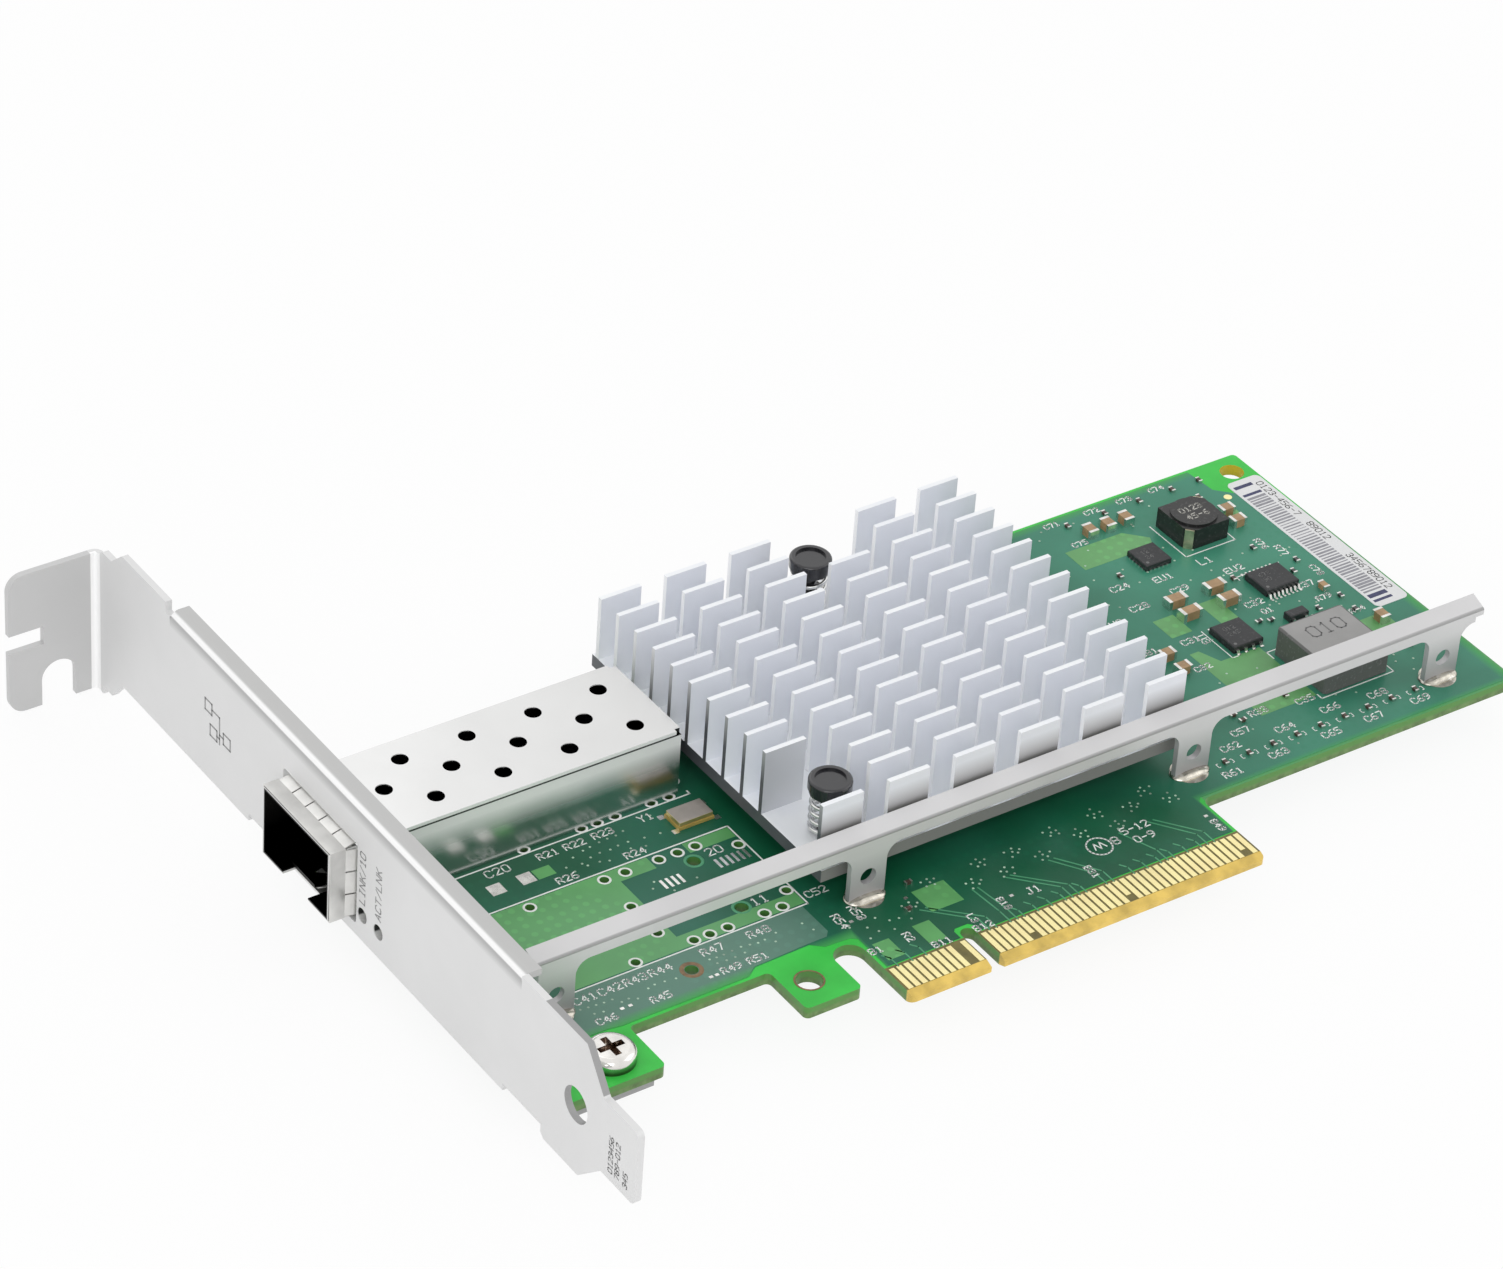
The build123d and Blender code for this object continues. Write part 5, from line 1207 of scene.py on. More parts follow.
def adopt(piece: bpy.types.Object, material: bpy.types.Material) -> bpy.types.Object:
    """Puts a piece in the scene with its material and body.

    Args:
        piece: the new object.
        material: its material.

    Returns:
        The piece.
    """
    if piece.name not in bpy.context.scene.collection.objects:
        bpy.context.scene.collection.objects.link(piece)
    piece.data.materials.clear()
    piece.data.materials.append(material)
    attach(piece, BODY)
    LOG.info("piece %s: %d faces", piece.name, len(piece.data.polygons))
    return piece


def rectangle(centre: Point, size: Point) -> list[Point]:
    """The corners of a rectangle, in order.

    Args:
        centre: the rectangle's middle.
        size: its width and depth.

    Returns:
        The four corners.
    """
    (x, y), (width, depth) = centre, size
    return [
        (x - width / 2, y - depth / 2),
        (x + width / 2, y - depth / 2),
        (x + width / 2, y + depth / 2),
        (x - width / 2, y + depth / 2),
    ]


def circle(centre: Point, radius: float, sides: int) -> list[Point]:
    """The corners of a many-sided circle, in order."""
    turns = [2 * math.pi * index / sides for index in range(sides)]
    return [(centre[0] + radius * math.cos(turn), centre[1] + radius * math.sin(turn)) for turn in turns]


def closed(outline: Sequence[Point]) -> list[Point]:
    """An outline with its first point again at its end."""
    return [*outline, outline[0]]


def inside(outline: Sequence[Point], point: Point) -> bool:
    """Whether a point lies inside an outline.

    Args:
        outline: the outline's corners.
        point: the point.

    Returns:
        True where it lies inside.
    """
    x, y = point
    crossings = 0
    for (x0, y0), (x1, y1) in zip(outline, closed(outline)[1:]):
        if (y0 > y) != (y1 > y) and x < (x1 - x0) * (y - y0) / (y1 - y0) + x0:
            crossings += 1
    return crossings % 2 == 1


STROKE_OVERLAP = 0.8
GLYPH_HEIGHT = 6.0
GLYPH_WIDTH = 4.0
GLYPH_GAP = 1.6
GLYPHS: dict[str, tuple[tuple[Point, ...], ...]] = {
    "0": (((0, 1), (0, 5), (1, 6), (3, 6), (4, 5), (4, 1), (3, 0), (1, 0), (0, 1)),),
    "1": (((1, 5), (2, 6), (2, 0)), ((1, 0), (3, 0))),
    "2": (((0, 5), (1, 6), (3, 6), (4, 5), (4, 4), (0, 0), (4, 0)),),
    "3": (((0, 5), (1, 6), (3, 6), (4, 5), (4, 4), (3, 3), (4, 2), (4, 1), (3, 0), (1, 0), (0, 1)),
          ((3, 3), (1.5, 3))),
    "4": (((3, 0), (3, 6), (0, 2), (4, 2)),),
    "5": (((4, 6), (0, 6), (0, 3.4), (3, 3.4), (4, 2.5), (4, 1), (3, 0), (0, 0)),),
    "6": (((3.5, 6), (1, 5), (0, 3), (0, 1), (1, 0), (3, 0), (4, 1), (4, 2), (3, 3), (0, 3)),),
    "7": (((0, 6), (4, 6), (1.5, 0)),),
    "8": (((1, 3), (0, 4), (0, 5), (1, 6), (3, 6), (4, 5), (4, 4), (3, 3), (4, 2), (4, 1), (3, 0), (1, 0), (0, 1),
           (0, 2), (1, 3), (3, 3)),),
    "9": (((0.5, 0), (3, 1), (4, 3), (4, 5), (3, 6), (1, 6), (0, 5), (0, 4), (1, 3), (4, 3)),),
    "A": (((0, 0), (2, 6), (4, 0)), ((0.8, 2), (3.2, 2))),
    "B": (((0, 0), (0, 6), (3, 6), (4, 5), (4, 4), (3, 3), (4, 2), (4, 1), (3, 0), (0, 0)), ((0, 3), (3, 3))),
    "C": (((4, 5), (3, 6), (1, 6), (0, 5), (0, 1), (1, 0), (3, 0), (4, 1)),),
    "E": (((4, 0), (0, 0), (0, 6), (4, 6)), ((0, 3), (3, 3))),
    "I": (((1, 0), (3, 0)), ((2, 0), (2, 6)), ((1, 6), (3, 6))),
    "J": (((0, 1), (1, 0), (2, 0), (3, 1), (3, 6)), ((2, 6), (4, 6))),
    "K": (((0, 0), (0, 6)), ((4, 6), (0, 2.5)), ((1.4, 3.6), (4, 0))),
    "L": (((0, 6), (0, 0), (4, 0)),),
    "N": (((0, 0), (0, 6), (4, 0), (4, 6)),),
    "Q": (((0, 1), (0, 5), (1, 6), (3, 6), (4, 5), (4, 1), (3, 0), (1, 0), (0, 1)), ((2.5, 1.5), (4, 0))),
    "R": (((0, 0), (0, 6), (3, 6), (4, 5), (4, 4), (3, 3), (0, 3)), ((2, 3), (4, 0))),
    "T": (((0, 6), (4, 6)), ((2, 6), (2, 0))),
    "U": (((0, 6), (0, 1), (1, 0), (3, 0), (4, 1), (4, 6)),),
    "X": (((0, 0), (4, 6)), ((0, 6), (4, 0))),
    "Y": (((0, 6), (2, 3), (4, 6)), ((2, 3), (2, 0))),
    "/": (((0, 0), (4, 6)),),
    "-": (((0.5, 3), (3.5, 3)),),
    ".": (((1.8, 0), (2.2, 0)),),
}


# Repeats made with Geometry Nodes


@dataclass(frozen=True)
class Disc:
    """A short round disc, such as the end of a plated hole, in mm."""

    radius: float
    height: float = 0.05
    sides: int = 24

    def inputs(self) -> dict[str, object]:
        """The values of the tree's inputs."""
        return {"Radius": self.radius * MM, "Height": self.height * MM, "Sides": self.sides}


@dataclass(frozen=True)
class Ring:
    """A low rounded ring, such as the solder round a drilled hole, in mm. Its flatness is a share of its band."""

    middle: float
    band: float
    flatness: float

    def inputs(self) -> dict[str, object]:
        """The values of the tree's inputs."""
        return {"Middle radius": self.middle * MM, "Band": self.band * MM, "Flatness": self.flatness}


@dataclass(frozen=True)
class Bar:
    """A printed bar in mm, and the seed of its uneven widths."""

    length: float
    width: float
    height: float
    seed: int

    def inputs(self) -> dict[str, object]:
        """The values of the tree's inputs."""
        return {"Length": self.length * MM, "Width": self.width * MM, "Height": self.height * MM, "Seed": self.seed}


class Repeat:
    """A geometry tree that puts one small shape on every point of a mesh."""

    def __init__(self, name: str, inputs: dict[str, tuple[str, object]]) -> None:
        """Makes the tree with its named inputs, and draws it.

        Args:
            name: the tree's name.
            inputs: each input's socket type and starting value.
        """
        self.tree = bpy.data.node_groups.new(name, "GeometryNodeTree")
        self.tree.is_modifier = True
        add_inputs(self.tree, {
            "Geometry": ("NodeSocketGeometry", None), **inputs, "Material": ("NodeSocketMaterial", None),
        })
        self.tree.interface.new_socket("Geometry", in_out="OUTPUT", socket_type="NodeSocketGeometry")
        pen = NodePen(self.tree)
        given = pen.node("NodeGroupInput").outputs
        shape, scale = self.shape(pen, given)
        spread = pen.node("GeometryNodeInstanceOnPoints")
        pen.fill(spread, {"Points": given["Geometry"], "Instance": shape})
        if scale is not None:
            pen.feed(spread.inputs["Scale"], scale)
        real = pen.fill(pen.node("GeometryNodeRealizeInstances"), {"Geometry": spread.outputs["Instances"]})
        dressed = pen.node("GeometryNodeSetMaterial")
        pen.fill(dressed, {"Geometry": real.outputs["Geometry"], "Material": given["Material"]})
        pen.feed(pen.node("NodeGroupOutput").inputs["Geometry"], dressed.outputs["Geometry"])

    def shape(self, pen: NodePen, given: Sequence[Socket]) -> tuple[Socket, Socket | None]:
        """Draws the shape that is repeated.

        Args:
            pen: the pen on the tree.
            given: the tree's inputs.

        Returns:
            The shape's socket, and its scale's socket if it has one.
        """
        raise NotImplementedError

    def place(self, name: str, points: Sequence[Place], size: Disc | Ring | Bar, material: bpy.types.Material,
              slot: str) -> bpy.types.Object:
        """Puts the shape on points and makes a plain piece of the result.

        Args:
            name: the piece's name.
            points: where the shapes go, in mm.
            size: the shape's sizes.
            material: the piece's material.
            slot: not used.

        Returns:
            The piece.
        """
        seeds = bpy.data.meshes.new(name + "_points")
        seeds.from_pydata([tuple(value * MM for value in point) for point in points], [], [])
        carrier = bpy.data.objects.new(name + "_carrier", seeds)
        bpy.context.scene.collection.objects.link(carrier)
        modifier = carrier.modifiers.new("repeat", "NODES")
        modifier.node_group = self.tree
        values = {**size.inputs(), "Material": material}
        for socket in self.tree.interface.items_tree:
            if socket.in_out == "INPUT" and socket.name in values:
                modifier[socket.identifier] = values[socket.name]
        carrier.update_tag()
        bpy.context.view_layer.update()
        evaluated = carrier.evaluated_get(bpy.context.evaluated_depsgraph_get())
        result = bpy.data.meshes.new_from_object(evaluated)
        carrier.modifiers.remove(modifier)
        bpy.data.objects.remove(carrier)
        result.name = name
        return adopt(bpy.data.objects.new(name, result), material)


class DiscRepeat(Repeat):
    """Short round discs, such as the ends of plated holes."""

    def __init__(self) -> None:
        """Names the disc's sizes."""
        super().__init__("discs", {"Radius": (NUMBER, 0.0002), "Height": (NUMBER, 0.00004), "Sides": (COUNT, 10)})

    def shape(self, pen: NodePen, given: Sequence[Socket]) -> tuple[Socket, Socket | None]:
        """Draws one disc.

        Args:
            pen: the pen on the tree.
            given: the tree's inputs.

        Returns:
            The disc's socket, and no scale.
        """
        disc = pen.node("GeometryNodeMeshCylinder")
        pen.fill(disc, {"Vertices": given["Sides"], "Radius": given["Radius"], "Depth": given["Height"]})
        return disc.outputs["Mesh"], None


class RingRepeat(Repeat):
    """Low rounded rings, such as the solder round a drilled hole."""

    def __init__(self) -> None:
        """Names the ring's sizes."""
        super().__init__("rings", {
            "Middle radius": (NUMBER, 0.0007), "Band": (NUMBER, 0.00015), "Flatness": (NUMBER, 0.25),
        })

    def shape(self, pen: NodePen, given: Sequence[Socket]) -> tuple[Socket, Socket | None]:
        """Draws one ring.

        Args:
            pen: the pen on the tree.
            given: the tree's inputs.

        Returns:
            The ring's socket, and no scale.
        """
        path = pen.node("GeometryNodeCurvePrimitiveCircle", mode="RADIUS")
        pen.fill(path, {"Resolution": 24, "Radius": given["Middle radius"]})
        section = pen.node("GeometryNodeCurvePrimitiveCircle", mode="RADIUS")
        pen.fill(section, {"Resolution": 8, "Radius": given["Band"]})
        swept = pen.node("GeometryNodeCurveToMesh")
        pen.fill(swept, {"Curve": path.outputs["Curve"], "Profile Curve": section.outputs["Curve"]})
        squash = pen.fill(pen.node("ShaderNodeCombineXYZ"), {"X": 1.0, "Y": 1.0, "Z": given["Flatness"]})
        low = pen.node("GeometryNodeTransform")
        pen.fill(low, {"Geometry": swept.outputs["Mesh"], "Scale": squash.outputs[0]})
        return low.outputs["Geometry"], None


class BarRepeat(Repeat):
    """Printed bars of uneven width, side by side."""

    def __init__(self) -> None:
        """Names the bar's sizes and its seed."""
        super().__init__("bars", {
            "Length": (NUMBER, 0.0015), "Width": (NUMBER, 0.0002), "Height": (NUMBER, 0.00001), "Seed": (COUNT, 7),
        })

    def shape(self, pen: NodePen, given: Sequence[Socket]) -> tuple[Socket, Socket | None]:
        """Draws one bar and its uneven width.

        Args:
            pen: the pen on the tree.
            given: the tree's inputs.

        Returns:
            The bar's socket and its scale's socket.
        """
        size = pen.node("ShaderNodeCombineXYZ")
        pen.fill(size, {"X": given["Length"], "Y": given["Width"], "Z": given["Height"]})
        bar = pen.fill(pen.node("GeometryNodeMeshCube"), {"Size": size.outputs[0]})
        uneven = pen.node("FunctionNodeRandomValue", data_type="FLOAT")
        pen.fill(uneven, {"Min": 0.35, "Max": 1.5, "Seed": given["Seed"]})
        scale = pen.fill(pen.node("ShaderNodeCombineXYZ"), {"X": 1.0, "Y": uneven.outputs[1], "Z": 1.0})
        return bar.outputs["Mesh"], scale.outputs[0]


# The board


@dataclass
class DrilledHoles:
    """The round holes of the board, read from its solid."""

    node: bpy.types.Object
    widest: float = 5.0
    roundness: float = 0.15
    fewest_corners: int = 8
    found: list[Place] = field(default_factory=list)

    def read(self) -> list[Place]:
        """Finds the closed edges round the holes in the front face.

        Returns:
            Each hole's centre and radius in mm.
        """
        mesh = bmesh.new()
        mesh.from_mesh(self.node.data)
        bmesh.ops.remove_doubles(mesh, verts=mesh.verts, dist=0.002 * MM)
        top = [face for face in mesh.faces if face.normal.z > 0.9 and abs(face.calc_center_median().z) < 0.02 * MM]
        inside_top = set(top)
        rims = {edge for face in top for edge in face.edges
                if sum(other in inside_top for other in edge.link_faces) == 1}
        while rims:
            loop = self._chain(rims)
            xs = [vertex.co.x / MM for vertex in loop]
            ys = [vertex.co.y / MM for vertex in loop]
            width, depth = max(xs) - min(xs), max(ys) - min(ys)
            if width < self.widest and abs(width - depth) < self.roundness and len(loop) >= self.fewest_corners:
                self.found.append(((max(xs) + min(xs)) / 2, (max(ys) + min(ys)) / 2, (width + depth) / 4))
        mesh.free()
        return self.found

    @staticmethod
    def _chain(rims: set[bmesh.types.BMEdge]) -> list[bmesh.types.BMVert]:
        """Follows joined edges from one of them and takes them out of the set.

        Args:
            rims: the edges that are left.

        Returns:
            The corners that were passed, in order.
        """
        edge = rims.pop()
        loop = [edge.verts[0], edge.verts[1]]
        while True:
            following = next((other for other in loop[-1].link_edges if other in rims), None)
            if following is None:
                return loop
            rims.discard(following)
            loop.append(following.other_vert(loop[-1]))


@dataclass
class BoardFaces:
    """The coloured layers on both faces of the board: mask over bare laminate, mask over copper, pale patches, and a
    painted reflection of the rail on the mask in front of it.
    """

    holes: list[Place]
    pour_layer: Span = (0.004, 0.035)
    patch_layer: Span = (0.03, 0.05)
    hole_margin: float = 0.02
    slot_size: Point = (3.2, 1.2)
    pour: tuple[Point, ...] = (
        (-57.4, 12.4), (-45.4, 12.4), (-43.6, 12.1), (-26.4, 12.1), (-24.8, 13.2), (-17.2, 13.4), (-15.8, 12.2),
        (-12.4, 12.0), (-11.7, 11.4), (-11.7, 5.7), (-1.3, 5.7), (-1.3, 7.0), (-0.9, 7.4), (0.9, 7.4), (1.3, 7.0),
        (1.3, 5.7), (38.7, 5.7), (38.7, 12.2), (39.3, 12.85), (87.6, 12.85), (88.1, 13.4), (88.1, 61.2),
        (82.9, 61.6), (80.9, 63.6), (80.5, 68.4), (-57.4, 68.4),
    )
    patches: tuple[tuple[Point, ...], ...] = (
        ((-46.1, 20.0), (-29.6, 20.0), (-29.6, 36.2), (-46.1, 36.2)),
        ((-29.6, 33.9), (-24.6, 33.9), (-24.6, 36.2), (-29.6, 36.2)),
        ((-19.6, 34.3), (-13.2, 34.3), (-13.2, 36.2), (-19.6, 36.2)),
        ((-29.6, 20.0), (-13.2, 20.0), (-13.2, 22.2), (-29.6, 22.2)),
        ((-5.0, 6.5), (-2.6, 6.5), (-2.6, 10.2), (-5.0, 10.2)),
        ((-1.4, 11.2), (3.2, 11.2), (3.2, 15.4), (-1.4, 15.4)),
        ((-10.9, 6.5), (-8.6, 6.5), (-8.6, 9.8), (-10.9, 9.8)),
        ((55.6, 57.3), (66.4, 57.3), (67.2, 59.0), (64.6, 61.6), (55.6, 61.6)),
        ((56.2, 40.2), (59.4, 40.2), (59.4, 44.2), (56.2, 44.2)),
        ((63.6, 38.9), (66.3, 38.9), (66.3, 44.4), (63.6, 44.4)),
        ((56.0, 22.0), (64.6, 22.0), (64.6, 33.4), (58.6, 33.4), (57.4, 36.4), (56.0, 36.4)),
        ((77.6, 56.9), (80.8, 56.9), (80.8, 60.0), (77.6, 60.0)),
        ((77.4, 27.0), (83.0, 27.0), (83.0, 31.6), (77.4, 31.6)),
        ((-37.6, 38.9), (-35.2, 38.9), (-35.2, 40.7), (-37.6, 40.7)),
    )
    # The outline of the painted reflection of the rail on the mask.
    rail_reflection_zone: tuple[Point, ...] = (
        (-57.0, 12.5), (-45.4, 12.5), (-43.6, 12.2), (-26.5, 12.2), (-24.9, 13.3), (-17.2, 13.6), (-14.6, 13.6),
        (-13.9, 14.4), (-13.9, 19.6), (-57.0, 19.6),
    )

    def build(self, palette: Palette) -> None:
        """Lays the layers on both faces.

        Args:
            palette: the finishes.
        """
        for side in Side:
            self._layer(side, palette)

    def _layer(self, side: Side, palette: Palette) -> None:
        """Lays the copper areas and patches on one face.

        Args:
            side: which face.
            palette: the finishes.
        """
        flip = Matrix.Diagonal((1.0, 1.0, side.value, 1.0))
        drop = 0.0 if side is Side.FRONT else BOARD_THICKNESS
        placing = Matrix.Translation((0.0, 0.0, -drop)) @ flip
        pour = ThinMesh(placing)
        pour.prism(self.pour, self.pour_layer, holes=self._cuts(self.pour))
        pour.piece(f"copper_areas_{side.name.lower()}", palette.get("copper_mask"), "board_green")
        if side is Side.BACK:
            return
        # The pale patches, and the painted reflection of the rail.
        for name, finish, outlines in (("pale_patches", "bare_patch", self.patches),
                                       ("rail_reflection_piece", "rail_reflection_mask", (self.rail_reflection_zone,))):
            patches = ThinMesh(placing)
            for outline in outlines:
                patches.prism(outline, self.patch_layer, holes=self._cuts(outline))
            patches.piece(name, palette.get(finish), "board_green")

    def _cuts(self, outline: Sequence[Point]) -> list[list[Point]]:
        """The holes and slots that lie in an outline.

        Args:
            outline: the layer's outline.

        Returns:
            Each hole's corners.
        """
        cuts = [circle((x, y), radius + self.hole_margin, 20) for x, y, radius in self.holes
                if inside(outline, (x, y))]
        return cuts + [rectangle(leg, self.slot_size) for leg in RAIL_LEGS if inside(outline, leg)]


@dataclass
class BoardPrint:
    """The white printing on the board: outlines and plain part numbers."""

    layer: Span = (0.03, 0.065)
    stroke: float = 0.165
    shrink: float = 0.86
    words: tuple[tuple[str, float, float, float, float], ...] = (
        ("C20", -42.6, 42.0, 1.45, 0), ("R21", -35.6, 41.9, 1.25, 0), ("R22", -31.9, 41.9, 1.25, 0),
        ("R23", -27.9, 42.0, 1.25, 0), ("R24", -26.6, 37.0, 1.25, 0), ("R26", -36.0, 37.0, 1.25, 0),
        ("Y1", -21.4, 42.0, 1.3, 0), ("20", -18.0, 32.7, 1.5, 0), ("11", -18.6, 22.4, 1.5, 0),
        ("C41", -46.2, 17.6, 1.35, 0), ("C42", -42.8, 17.6, 1.35, 0), ("R43", -39.4, 17.6, 1.35, 0),
        ("R44", -36.0, 17.6, 1.35, 0), ("R45", -38.4, 13.6, 1.2, 0), ("C46", -45.8, 13.4, 1.2, 0),
        ("R47", -28.8, 17.7, 1.35, 0), ("R48", -22.4, 17.7, 1.35, 0), ("R49", -28.6, 13.9, 1.2, 0),
        ("R51", -25.0, 13.9, 1.2, 0), ("C52", -12.4, 20.5, 1.3, 0), ("R53", -9.6, 16.8, 1.2, 270),
        ("R54", -12.2, 16.4, 1.2, 270), ("B1", -12.0, 8.2, 1.2, 0), ("B11", -4.9, 5.65, 1.15, 0),
        ("B12", 1.0, 5.65, 1.15, 0), ("J1", 10.4, 8.1, 1.3, 0), ("R2", -6.9, 9.6, 1.1, 270),
        ("L3", 1.6, 8.6, 1.0, 270), ("B18", 6.4, 9.4, 1.0, 270), ("B31", 18.9, 9.0, 1.0, 270),
        ("B49", 37.4, 8.6, 1.0, 270),
        ("R61", 44.4, 14.2, 1.25, 0), ("C62", 47.3, 18.4, 1.25, 0), ("C63", 51.7, 14.5, 1.25, 0),
        ("C64", 55.6, 18.2, 1.25, 0), ("C65", 59.9, 14.5, 1.25, 0), ("C66", 63.0, 18.6, 1.25, 0),
        ("C67", 66.6, 14.5, 1.25, 0), ("C68", 70.0, 18.0, 1.25, 0), ("C69", 74.0, 14.5, 1.25, 0),
        ("C57", 50.4, 20.3, 1.2, 0), ("R33", 54.8, 22.4, 1.2, 0), ("C35", 61.4, 21.5, 1.2, 0),
        ("U2", 51.2, 45.6, 1.3, 0), ("U3", 59.0, 38.9, 1.2, 270), ("EU2", 70.9, 47.7, 1.25, 0),
        ("L1", 69.2, 50.9, 1.4, 0), ("EU1", 61.8, 50.6, 1.25, 0), ("C24", 55.7, 51.6, 1.25, 0),
        ("C28", 55.3, 47.0, 1.25, 0), ("C29", 62.2, 47.6, 1.2, 0), ("C31", 56.6, 38.2, 1.2, 0),
        ("C32", 68.6, 40.6, 1.2, 0), ("Q1", 69.6, 38.6, 1.1, 0), ("C37", 76.8, 40.6, 1.2, 0),
        ("R30", 57.0, 27.4, 1.2, 0), ("C71", 56.6, 66.9, 1.0, 0), ("C72", 63.0, 66.9, 1.0, 0),
        ("C73", 68.2, 66.9, 1.0, 0), ("C74", 73.4, 66.9, 1.0, 0), ("C75", 57.4, 61.9, 1.0, 0),
        ("R76", 78.4, 52.0, 1.0, 270), ("R77", 79.8, 49.6, 1.0, 270), ("C78", 81.0, 44.0, 1.0, 270),
        ("R79", 77.4, 37.4, 1.0, 0), ("C81", 50.6, 38.8, 1.1, 0), ("C82", 54.6, 33.0, 1.1, 0),
        ("C83", 76.2, 62.6, 1.0, 0), ("R84", 79.4, 33.2, 1.0, 0), ("8", 24.9, 10.6, 1.5, 0),
        ("5-12", 26.9, 11.6, 1.3, 0), ("0-9", 27.4, 9.6, 1.3, 0),
    )
    strokes: tuple[tuple[float, Sequence[Point]], ...] = (
        (0.2, ((-46.3, 19.7), (-13.0, 19.7), (-13.0, 36.4), (-46.3, 36.4))),
        (0.2, ((-57.0, 43.8), (-13.4, 43.8), (-13.4, 44.4))),
        (0.2, ((-57.0, 59.8), (-13.4, 59.8), (-13.4, 59.2))),
        (0.16, ((68.6, 60.9), (68.6, 53.3), (76.5, 53.3), (76.5, 60.9))),
        (0.16, ((64.7, 22.0), (64.7, 21.1), (76.1, 21.1), (76.1, 22.6))),
        (0.16, ((64.7, 30.6), (64.7, 32.0), (68.0, 32.0))),
        (0.14, ((60.3, 39.5), (60.3, 33.2), (61.2, 33.2))),
        (0.14, ((71.4, 45.9), (71.4, 46.6), (78.2, 46.6))),
        (0.2, tuple(closed(circle((23.0, 11.3), 1.6, 20)))),
        (0.16, ((22.2, 10.9), (22.6, 12.0), (23.0, 10.8), (23.4, 12.0), (23.8, 10.9))),
        (0.16, ((-57.0, 28.4), (-54.0, 28.4), (-54.0, 30.2))),
    )
    mark_start: Point = (46.1, 16.3)
    mark_pitch: float = 3.72
    mark_count: int = 9
    mark_height: float = 0.7
    mark_gap: float = 0.95
    mark_reach: float = 1.25

    def build(self, palette: Palette) -> None:
        """Draws the outlines of the ports, coils, chips and small parts, and the part numbers.

        Args:
            palette: the finishes.
        """
        ink = ThinMesh()
        for width, points in self.strokes:
            ink.line(points, width, self.layer)
        first, foot = self.mark_start
        top = foot + self.mark_height
        for index in range(self.mark_count):
            middle = first + self.mark_pitch * index
            for side in (-self.mark_gap, self.mark_gap):
                near, far = middle + side, middle + side * self.mark_reach
                ink.line([(near, foot), (far, foot), (far, top), (near, top)], 0.1, self.layer)
        for text, x, y, height, turn in self.words:
            ink.words(text, (x, y), height * self.shrink, self.layer, turn, self.stroke)
        ink.piece("board_printing", palette.get("print_white"), "white_plastic")


